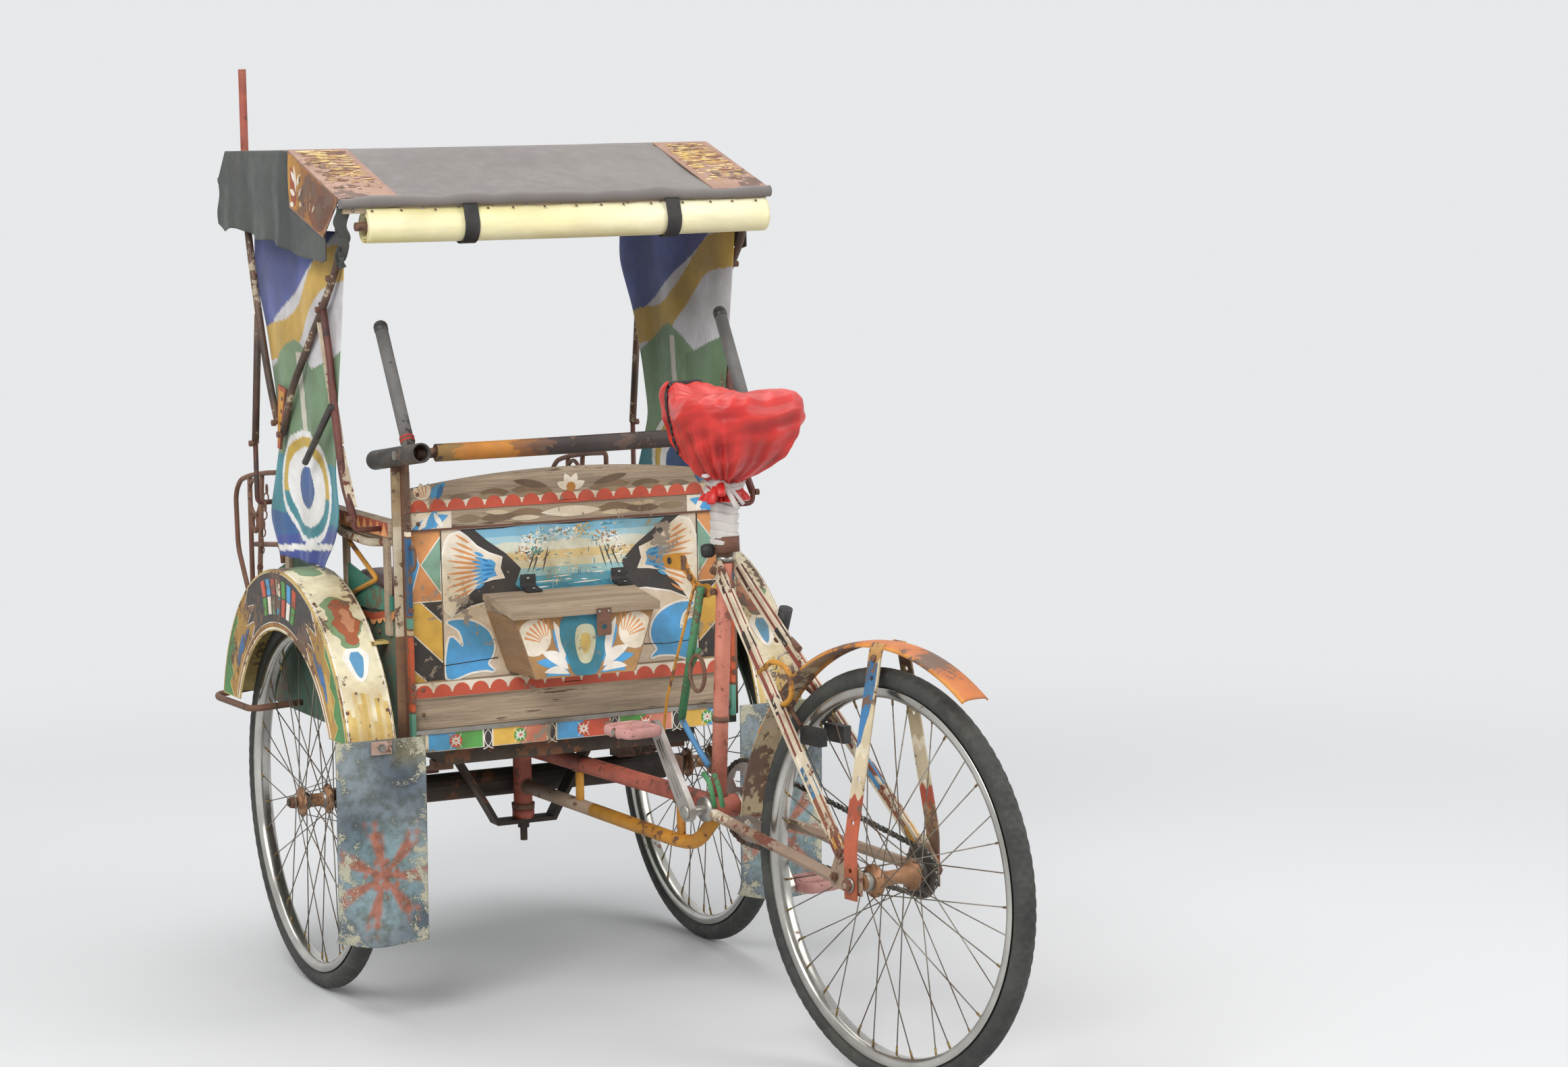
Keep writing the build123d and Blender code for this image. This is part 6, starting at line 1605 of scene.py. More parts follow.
class RICKSHAW_OT_saddle(bpy.types.Operator):
    """Makes the saddle in its gathered cover, tied below with strips of cloth, and the wrapped post.

    Each ring of the cover is the saddle's outline times its share at that height times 1 + gather x pleats + folds,
    where a set of k pleats or folds is 0.62 - |sin(k a / 2)|. Towards the tie the outline gives way to a circle. The
    top dips by 0.020 exp(-((s - 0.05) / 0.42)^2) at the share s along it, and by 0.006 exp(-(x / 0.022)^2).
    """

    bl_idname = "rickshaw.saddle"
    bl_label = "Saddle and wrapped post"

    def execute(self, context):
        rng = np.random.default_rng(21)
        outline = flowing([
            (-0.5, -0.98), (0.5, -0.98), (0.92, -0.72), (1.0, -0.3), (0.74, 0.2), (0.4, 0.62), (0.22, 0.98),
            (-0.22, 0.98), (-0.4, 0.62), (-0.74, 0.2), (-1.0, -0.3), (-0.92, -0.72),
        ], 22) * (0.113, 0.15)
        cols = len(outline)
        profile = np.array([
            (0.0, 1.16), (0.25, 1.1615), (0.5, 1.161), (0.75, 1.159), (0.9, 1.153), (0.98, 1.142), (1.0, 1.128),
            (0.985, 1.112), (0.95, 1.093), (0.89, 1.072), (0.81, 1.052), (0.71, 1.033), (0.59, 1.017),
            (0.45, 1.003), (0.31, 0.995), (0.235, 0.987), (0.27, 0.976), (0.34, 0.966), (0.38, 0.958),
        ])
        t = np.linspace(0, len(profile) - 1, 110)
        share = np.interp(t, np.arange(len(profile)), profile[:, 0])
        height = np.interp(t, np.arange(len(profile)), profile[:, 1])
        a = angles(cols)
        pleats = sum(
            rng.uniform(0.6, 1.0) * (0.62 - np.abs(np.sin(k * a / 2 + rng.uniform(0, 6)))) for k in (10, 16, 22, 28)
        ) / 1.5
        fine = sum(0.6 - np.abs(np.sin(k * a / 2 + rng.uniform(0, 6))) for k in (42, 54)) / 2
        gather = np.clip((1.135 - height) / 0.145, 0, 1) ** 1.1
        centre = np.array((0.0, SEAT_Y + 0.0095))
        tie = np.array((0.0, SEAT_Y))
        middle = centre + (tie - centre) * gather[:, None]
        sway = 0.25 * np.sin(3 * a[None] + 16 * height[:, None])
        creases = ((2, 52, 0.3), (-3, 44, 1.1), (4, -70, 2.0), (-2, 85, 2.6), (5, 38, 0.9))
        folds = sum(0.62 - np.abs(np.sin(m * a[None] + k * height[:, None] + start)) for m, k, start in creases)
        below = np.clip((1.15 - height) / 0.03, 0, 1)[:, None]
        amount = gather[:, None] * (0.12 * (1 + sway) * pleats[None] + 0.03 * fine[None]) + 0.014 * folds * below
        reach = share[:, None] * (1 + amount)
        long = outline[None] * reach[..., None]
        round_in = np.clip((1.03 - height) / 0.05, 0, 1)[:, None, None]
        size = np.linalg.norm(outline, axis=1)[None, :, None]
        mean = 0.118 * reach[..., None] * outline[None] / size
        flat = long * (1 - round_in) + mean * round_in
        along = long[..., 1] / 0.15
        puckers = 0.62 - np.abs(np.sin(11 * a[None] + 9 * share[:, None] + 1.3 * np.sin(3 * a[None])))
        puckers = puckers * np.clip(share[:, None] * 1.6 - 0.6, 0, 1)
        dish = -0.02 * np.exp(-(((along - 0.05) / 0.42) ** 2)) - 0.006 * np.exp(-((long[..., 0] / 0.022) ** 2))
        z = height[:, None] + (0.0032 * puckers + dish + 0.008 * along) * np.clip((height[:, None] - 1.06) / 0.08, 0, 1)
        ring = stacked(middle[:, None, 0] + flat[..., 0], middle[:, None, 1] + flat[..., 1], z)
        inner = ring[::-1][:INNER_ROWS].copy()
        inner[..., :2] = tie + (inner[..., :2] - tie) * 0.9
        shell = np.concatenate([ring[1:], inner])
        cover = Pile()
        # Painted shade and highlight: the red is darker in the valleys of the folds, pleats and puckers and lighter on
        # their ridges, as light would fall on them.
        lie = 0.62 + 0.3 * folds * below + 0.9 * gather[:, None] * pleats[None] + 0.35 * puckers * (1 - below)
        lie = np.clip(lie, 0, 1)
        shaded_red, lit_red = np.array(linear("9c1816")), np.array(linear("d9352d"))
        tones = (shaded_red + (lit_red - shaded_red) * lie[..., None])[1:]
        # The rows turned back up inside the tie take the darkest red, as painted shade.
        tones = np.concatenate([tones, np.broadcast_to(shaded_red, (INNER_ROWS,) + tones.shape[1:])])
        cover.loft(in_rear(shell), "pleated_nylon", True, tones.reshape(-1, 3))
        piece = cover.build("saddle_cover", "rear_frame", ["saddle"], "saddle")
        ties = Pile()
        half = long[:, cols // 4 : 3 * cols // 4]
        for shift, radius in ((0.098, 0.003), (0.103, 0.0024)):
            reached = [row for row in range(20, 84) if half[row, :, 1].max() > shift]
            nearest = [cols // 4 + int(np.argmin(np.abs(half[row, :, 1] - shift))) for row in reached]
            picked = ring[reached, nearest]
            band = np.concatenate([picked, (picked * (-1, 1, 1))[::-1]]) * (1.03, 1, 1) + (0, 0.0015, 0.0012)
            hoop(ties, band, radius, "rubber_black", in_rear, up=(0, 1, 0))
        for number in range(8):
            b = angles(60)
            z0 = 0.975 + 0.0042 * number
            r = 0.0285 + 0.003 * np.sin(number * 2.1) + 0.0016 * np.sin(3 * b + number)
            loop = stacked(r * np.cos(b), tie[1] + r * np.sin(b), z0 + 0.006 * np.sin(b + 1.7 * number))
            cloth = "red_nylon" if number in (2, 5) else "white_cloth"
            hoop(ties, loop, 0.0055, cloth, in_rear, 10, 0.7, swell=1 + 0.22 * np.sin(9 * b + number))
        tails = (
            (-0.035, -0.022, -0.034), (-0.04, -0.012, 0.014), (0.03, -0.03, -0.04), (-0.02, -0.034, -0.02),
            (0.034, -0.022, 0.03), (0.012, -0.036, -0.046),
        )
        for number, (dx, dy, dz) in enumerate(tails):
            start = np.array((-0.022, tie[1] - 0.016, 0.992))
            path = [start, start + np.array((dx, dy, dz)) * 0.5 + (0, 0, 0.008), start + (dx, dy, dz)]
            tube(ties, path, 0.0075, "red_nylon" if number in (0, 3) else "white_cloth", in_rear, 9, 0.02, 0.45)
        knot = [(-0.015, 0), (-0.013, 0.01), (0, 0.015), (0.013, 0.01), (0.015, 0)]
        turned(ties, knot, (-0.026, tie[1] - 0.018, 0.99), (1, 0.4, 0.5), "white_cloth", 14, in_rear)
        ties.build("saddle_ties", "rear_frame", slot="saddle")
        wrap = Pile()
        turns = np.linspace(0, 1, 150)
        level = 0.8803 + 0.1 * turns
        b = angles(40)
        phase = (level[:, None] - 0.88) / 0.0165 + b[None] / (2 * np.pi) + 0.12 * np.sin(3 * b)[None]
        r = 0.0215 + 0.0045 * np.sqrt(phase % 1.0) + 0.0012 * np.sin(5 * b + 30 * level[:, None])
        r = r - 0.003 * (level[:, None] > 0.972)
        post = stacked(r * np.cos(b), SEAT_Y + r * np.sin(b), level[:, None])
        wrap.loft(in_rear(post), "white_cloth")
        wrap.build("post_wrapping", "rear_frame", ["seat_post"], "wrap")
        return {"FINISHED"}


def hub_at(side, forward, up):
    """A rear frame point given by its distance in front of the rear hub."""
    return (side, HUB_Y + forward, up)


class RICKSHAW_OT_rear_frame(bpy.types.Operator):
    """Makes the rider's frame: head tube, main and lower tubes with their struts, seat tube and crank shell."""

    bl_idname = "rickshaw.rear_frame"
    bl_label = "Rear frame tubes"

    def execute(self, context):
        pile = Pile()
        hollow = [(0.308, 0.00708), (0.308, 0.018), (0.3105, 0.0196), (0.32, 0.0196), (0.322, 0.018)]
        hollow += [(0.438, 0.018), (0.44, 0.0196), (0.4495, 0.0196), (0.452, 0.018), (0.452, 0.00708)]
        turned(pile, hollow, (0, 0, 0), (0, 0, 1), "frame_red", 40, in_rear, round_profile=True)
        tube(pile, [(0, -0.004, 0.43), (0, CRANK_Y + 0.006, 0.4087)], 0.016, "frame_red", in_rear, 28)
        low = [(0, -0.004, 0.354), (0, -0.51, 0.324), (0, -0.572, 0.328), (0, CRANK_Y + 0.01, 0.39)]
        path = rounded(low, 0.055, 14)
        cut = np.searchsorted(-path[:, 1], 0.47)
        seam = path[cut - 1] + (path[cut] - path[cut - 1]) * 0.5
        tube(pile, np.concatenate([path[:cut], [seam]]), 0.013, "low_tube_brown", in_rear, 24)
        tube(pile, np.concatenate([[seam], path[cut:]]), 0.0131, "ochre", in_rear, 24)
        for y, foot, head in ((-0.197, 0.334, 0.428), (-0.523, 0.318, 0.414)):
            tube(pile, [(0, y, foot), (0, y, head)], 0.0125, "ochre", in_rear, 24, squash=0.55)
            for z in (foot + 0.012, head - 0.016):
                bead = [(-0.004, 0.01), (-0.002, 0.0142), (0.002, 0.0142), (0.004, 0.01)]
                turned(pile, bead, (0, y, z), (0, 0, 1), "rust", 20, in_rear)
        foot, head = np.array((0, CRANK_Y + 0.008, 0.405)), np.array((0, CRANK_Y - 0.026, 0.88))
        tube(pile, [foot, foot + (head - foot) * 0.93], 0.014, "seat_tube_salmon", in_rear, 32)
        tube(pile, [foot + (head - foot) * 0.93, head], 0.0141, "rust", in_rear, 32)
        shell = [(-0.036, 0.0086), (-0.036, 0.019), (-0.0345, 0.021), (0.0345, 0.021), (0.036, 0.019), (0.036, 0.0086)]
        turned(pile, shell, (0, CRANK_Y, CRANK_Z), (1, 0, 0), "frame_red", 44, in_rear, round_profile=True)
        around = angles(40)
        for centre, axis, radius in (
            ((0, CRANK_Y + 0.0205, 0.4095), (0, 1, 0), 0.0165), ((0, -0.0175, 0.4295), (0, 1, 0), 0.0165),
            ((0, -0.0178, 0.3533), (0, 1, 0), 0.0135), ((0, CRANK_Y + 0.0065, 0.4262), (0, 0, 1), 0.0145),
        ):
            first = np.array((1.0, 0, 0))
            second = np.cross(axis, first)
            ring = np.array(centre) + radius * (np.cos(around)[:, None] * first + np.sin(around)[:, None] * second)
            hoop(pile, ring, 0.0024, "rust", in_rear, swell=1 + 0.16 * np.sin(17 * around))
        pile.build("rear_frame_tubes", "rear_frame", ["rear_frame"], "frame_red")
        return {"FINISHED"}


STAY_MARKS = (
    # share along from the top: start, end, colour
    (0.02, 0.1, "4a2c26"), (0.1, 0.24, "7a3a30"), (0.24, 0.3, "2c2624"), (0.3, 0.47, "8a4436"), (0.47, 0.52, "2f2825"),
    (0.52, 0.66, "7a3a2e"), (0.66, 0.7, CREAM), (0.7, 0.8, "3f78a0"), (0.8, 0.93, "8a5238"), (0.93, 0.985, "c08a34"),
)


class RICKSHAW_OT_stay_paint(bpy.types.Operator):
    """Paints the uneven stripes along the four faces of both seat stays, and adds their bolts."""

    bl_idname = "rickshaw.stay_paint"
    bl_label = "Seat stay painting"

    def execute(self, context):
        pile = Pile()
        for side in (-1, 1):
            top, foot = np.array((side * 0.021, CRANK_Y - 0.026, 0.845)), np.array((side * 0.082, HUB_Y + 0.026, 0.392))
            run = (foot - top) / np.linalg.norm(foot - top)
            across = np.array((side, 0, 0)) - side * run[0] * run
            across /= np.linalg.norm(across)
            behind = np.cross(run, across)
            behind *= -np.sign(behind[1])
            length = np.linalg.norm(foot - top)
            faces = (
                (across, behind, 0.006, 0.0062), (behind, across, 0.011, 0.0028), (-across, behind, 0.006, 0.0062),
                (-behind, across, 0.011, 0.0028),
            )
            for face, (normal, wide, lift, half) in enumerate(faces):
                for number, (low, high, tone) in enumerate(STAY_MARKS):
                    a, b = top + run * length * low, top + run * length * high
                    thin = half * (0.55 + 0.45 * math.sin(5 * number + 2 * face + side))
                    thick = half * (0.72 + 0.28 * math.sin(3 * number + face - side))
                    corners = np.array(
                        [a - wide * thin, b - wide * thick, b + wide * thin * 0.8 + wide * half * 0.2, a + wide * thick]
                    )
                    rings = np.stack([corners + normal * (lift - 0.0002), corners + normal * (lift + 0.0004)])
                    pile.loft(in_rear(rings), "stay_stripes", False, tone)
            for x, y, z in (
                (0.0285, CRANK_Y - 0.032, 0.835), (0.0885, HUB_Y + 0.03, 0.405), (0.087, HUB_Y + 0.045, 0.362),
            ):
                turned(
                    pile, bolt(0.0075, 0.005, 0.004, 0.009), (side * x, y, z), (side, 0, 0), "rust", 6, in_rear, False,
                )
        pile.build("stay_painting", "rear_frame", slot="stay_cream")
        return {"FINISHED"}


class RICKSHAW_OT_rear_fender(bpy.types.Operator):
    """Makes the rear guard, a folded section turned round the hub, and its two pierced and painted side strips.

    At the angle a from forward, each point (x, r) of the section lies at y = hub + r cos a, z = axle + r sin a.
    """

    bl_idname = "rickshaw.rear_fender"
    bl_label = "Rear fender"

    def execute(self, context):
        pile = Pile()
        rows = 150
        a = np.radians(np.linspace(7, 124, rows))
        profile = np.array([
            *mirrored([(-0.028, 0.391), (-0.026, 0.3945), (-0.0215, 0.398), (-0.012, 0.3996), (0, 0.4)]),
            *mirrored([(0.0262, 0.3905), (0.0245, 0.3932), (0.0205, 0.3958), (0.011, 0.3972), (0, 0.3976)]),
        ])
        x, r = profile.T
        forward = HUB_Y + r[None] * np.cos(a)[:, None]
        up = WHEEL_R + r[None] * np.sin(a)[:, None]
        rings = np.stack([np.broadcast_to(x[None], forward.shape), forward, up], -1)
        share = np.degrees(a)[:, None] / 124
        wander = 0.06 * np.sin(40 * share + 60 * x[None]) + 0.04 * np.sin(113 * share - 90 * x[None])
        tones = np.where((share + wander < 0.62)[..., None], linear("8f6a48"), linear("c07038"))
        tones = np.where((share + wander < 0.44)[..., None], linear("b7a382"), tones)
        edge = (np.abs(x)[None] > 0.024) & (share + wander > 0.3)
        tones = np.where(edge[..., None], linear("cf8a3c"), tones)
        whole = np.broadcast_to(np.where(share + wander < 0.44, 0.52, 0.78)[..., None], tones.shape[:2] + (1,))
        pile.loft(in_rear(rings), "painted_sheet", True, np.concatenate([tones, whole], -1).reshape(-1, 4))
        line = np.array(
            [(0.089, WHEEL_R - 0.026), (0.089, WHEEL_R + 0.068), (0.029, WHEEL_R + 0.39), (0.02, WHEEL_R + 0.399)]
        )
        bent = rounded(line, 0.02, 6)
        steps = run_of(bent)
        long = np.linspace(0, steps[-1], 220)
        xs, zs = np.interp(long, steps, bent[:, 0]), np.interp(long, steps, bent[:, 1])
        bands = (
            (0.0, "a0512f"), (0.13, "b4583a"), (0.32, "a34a32"), (0.4, "c9b99a"), (0.56, "d8ccb0"), (0.6, "3a76a6"),
            (0.84, "356b99"), (0.93, "b98a50"),
        )
        for side in (-1, 1):
            holes = (0.115, 0.3, 0.47, 0.86) if side < 0 else (0.12, 0.42, 0.7, 0.88)
            spots = np.array(holes) * steps[-1]
            v = np.linspace(-0.016, 0.016, 33)
            grid_v, grid_s = np.meshgrid(v, long)
            keep = np.ones((len(long) - 1, 32), bool)
            mid_s, mid_v = (long[1:] + long[:-1]) / 2, (v[1:] + v[:-1]) / 2
            for spot in spots:
                keep &= ~(np.hypot(mid_s[:, None] - spot, mid_v[None]) < 0.0042)
            pos = stacked(side * xs[:, None], HUB_Y + grid_v, zs[:, None])
            slope = np.gradient(np.c_[xs, zs], axis=0)
            slope /= np.linalg.norm(slope, axis=1)[:, None]
            normal = np.stack([side * slope[:, 1], np.zeros(len(xs)), -slope[:, 0]], -1)[:, None] * 0.0015
            quads = grid(len(long), 33).reshape(len(long) - 1, 32, 4)
            count = pos.shape[0] * pos.shape[1]
            top, under = quads[keep], quads[keep][:, ::-1] + count
            edges = np.stack([top, np.roll(top, -1, 1)], -1).reshape(-1, 2)
            key = edges.min(1) * count + edges.max(1)
            _, first, number = np.unique(key, return_index=True, return_counts=True)
            rim = edges[first[number == 1]]
            walls = np.c_[rim[:, 1], rim[:, 0], rim[:, 0] + count, rim[:, 1] + count]
            part = grid_s / steps[-1] + 0.012 * np.sin(300 * grid_v + 9 * side)
            tone = np.zeros(grid_s.shape + (3,)) + linear(bands[0][1])
            on_right = {"3a76a6": "b9a684", "356b99": "a88f6c", "b4583a": "9a7a5a"}
            for start, code in bands:
                tone[part > start] = linear(code if side < 0 else on_right.get(code, code))
            if side < 0:
                tone[(part > 0.6) & (part < 0.93) & (grid_v < -0.002 - 0.01 * np.sin(9 * part))] = linear("cdbd9c")
            both = np.concatenate([(pos + normal).reshape(-1, 3), (pos - normal).reshape(-1, 3)])
            tone = np.c_[tone.reshape(-1, 3), np.full(tone[..., 0].size, 0.66)]
            pile.add(in_rear(both), [top, under, walls], "painted_sheet", False, np.concatenate([tone, tone]))
            at = (side * 0.0325, HUB_Y, WHEEL_R + 0.375)
            turned(pile, chamfered(0.006, 0.004, 0.003, 0.005), at, (side, 0, 0.2), "rust", 12, in_rear)
        pile.build("fender_sheet", "rear_frame", ["rear_fender"], "frame_red")
        return {"FINISHED"}


HOOD_X = 0.4
# The hood's ribs and the iron bars at the passengers' feet, each as (distance in front of the axle, height).
RIB_LINES = (
    ((0.332, 1.5645), (0.286, 1.385), (0.255, 1.29), (0.223, 1.203), (0.19, 1.127), (0.15, 1.06)),
    ((-0.262, 1.49), (-0.244, 1.404), (-0.19, 1.346), (-0.126, 1.287), (-0.048, 1.223), (0.066, 1.126), (0.12, 1.04)),
    ((-0.126, 1.3), (-0.162, 1.193), (-0.17, 1.134), (-0.193, 1.046), (-0.214, 0.975), (-0.265, 0.915)),
    ((0.25, 1.262), (0.292, 1.01)),
)
IRON_LINES = (
    (
        (0.306, 0.9083), (0.306, 0.942), (0.312, 0.948), (0.4, 0.94), (0.506, 0.926), (0.566, 0.912), (0.59, 0.892),
        (0.599, 0.874), (0.599, 0.862), (0.596, 0.785), (0.59, 0.765), (0.513, 0.657), (0.47, 0.62),
    ),
    ((0.506, 0.926), (0.509, 0.62)), ((0.427, 0.936), (0.465, 0.69)),
    ((0.48, 0.79), (0.336, 0.804), (0.318, 0.798), (0.31, 0.77)),
)


class RICKSHAW_OT_bent_rods(bpy.types.Operator):
    """Makes the hood's bent ribs with their gussets, and the rods and hoops at the passengers' feet."""

    bl_idname = "rickshaw.bent_rods"
    bl_label = "Hood ribs and ironwork"

    def execute(self, context):
        a = angles(40)
        irons = Pile()
        for side, label in ((-1, "left"), (1, "right")):
            ribs = Pile()
            for number, points in enumerate(RIB_LINES):
                material = "rib_red" if number == 2 else "rib_chipped"
                tube(ribs, [(side * HOOD_X, y, z) for y, z in points], 0.007, material, sides=16, bend=0.045)
            for y, low in ((-0.265, 0.922), (0.292, 1.016)):
                foot = [(side * HOOD_X, y, low), (side * HOOD_X, y, 0.894), (side * 0.3493, y, 0.894)]
                tube(ribs, foot, 0.005, "rib_red", sides=12, bend=0.012)
            plate = np.array([(0.092, 1.128), (0.136, 1.134), (0.15, 1.012), (0.136, 1.01)])
            prism(ribs, plate, lambda y, z, h: in_cabin(stacked(side * HOOD_X - 0.0025 + h, y, z)), 0.005, "rust")
            ribs.build(f"hood_rods_{label}", "cabin", [f"hood_ribs_{label}"], "black_paint")
            x = side * 0.3453
            for points in IRON_LINES:
                tube(irons, [(x, y, z) for y, z in points], 0.005, "rust", sides=14, bend=0.03)
            for y, z, radius in ((0.476, 0.885, 0.034), (0.478, 0.833, 0.017)):
                ring = stacked(x, y + radius * np.cos(a), z + radius * np.sin(a))
                hoop(irons, ring, 0.0042, "rust", sides=10, up=(1, 0, 0))
        irons.build("front_irons", "cabin", ["front_ironwork"], "dark_iron")
        return {"FINISHED"}


BAR_Y, BAR_Z = -0.425, 1.042


class RICKSHAW_OT_push_bar(bpy.types.Operator):
    """Makes the push bar with its worn yellow end, the open tubes that carry it and the two round grips."""

    bl_idname = "rickshaw.push_bar"
    bl_label = "Push bar"

    def execute(self, context):
        pile = Pile()
        t = np.linspace(-0.3, 0.3, 241)
        line = stacked(t, BAR_Y, BAR_Z + 0.0006 * np.sin(9 * t))
        rings = carried(in_cabin(line), circle(0.016, 32))
        around = angles(32)[None]
        wander = t[:, None] + 0.01 * np.sin(3 * around + 40 * t[:, None])
        wander = wander + 0.006 * np.sin(7 * around - 90 * t[:, None])
        tones = np.zeros(wander.shape + (3,)) + linear("3a3231")
        for low, high, code in (
            (-0.3, -0.262, "8a6a34"), (-0.262, -0.152, "b9792c"), (-0.152, -0.118, "8a5a30"),
            (-0.118, -0.085, "6a4c3a"), (0.05, 0.075, "5c4a40"), (0.2, 0.26, "54463c"),
        ):
            tones[(wander > low) & (wander < high)] = linear(code)
        pile.loft(rings, "painted_sheet", True, tones.reshape(-1, 3))
        for side in (-1, 1):
            x = side * 0.338
            top, rise = (x, -0.262, 1.262), np.array((0, 0.528, 0.849))
            ends = np.array([(x, -0.455, 1.046), (x, -0.215, 1.014)])
            way = ends[1] - ends[0]
            length = float(np.linalg.norm(way))
            wall = [(0, 0.018), (length - 0.001, 0.018), (length, 0.0172), (length, 0.015), (0.02, 0.015), (0, 0.015)]
            turned(pile, wall, ends[0], way, "black_paint", 32, round_profile=True)
            turned(pile, plug(0.03, 0.034, 0.0151), ends[0], way, "rust", 24)
            tube(pile, [(side * 0.298, BAR_Y, BAR_Z), (x, BAR_Y, BAR_Z)], 0.009, "rust", sides=18)
            tube(pile, [(x, -0.4, 1.04), top], 0.012, "grip_grey", sides=28)
            collar = [(-0.001, 0.01), (0.001, 0.0128), (0.012, 0.0128), (0.014, 0.0115)]
            turned(pile, collar, top, -rise, "black_paint", 28)
            turned(pile, [(0, 0.0118), (0.003, 0.0112), (0.0062, 0.008), (0.0076, 0)], top, rise, "black_paint", 28)
            for k in range(4):
                centre = np.array((x, -0.388, 1.0593)) + rise * 0.0034 * k
                ring = [(-0.0015, 0.0118), (0, 0.0138), (0.0015, 0.0118)]
                turned(pile, ring, centre, rise, "red_nylon" if k % 2 else "rust", 24)
            clamp = [(-0.0225, 0), (-0.0225, 0.0085), (-0.0175, 0.0085), (-0.0175, 0.0045)]
            clamp += [(-a, r) for a, r in reversed(clamp)]
            turned(pile, clamp, (x, -0.372, 1.036), (1, 0, 0), "steel", 6, smooth=False)
        pile.build("push_bar_tubes", "cabin", ["push_bar"], "black_paint")
        return {"FINISHED"}


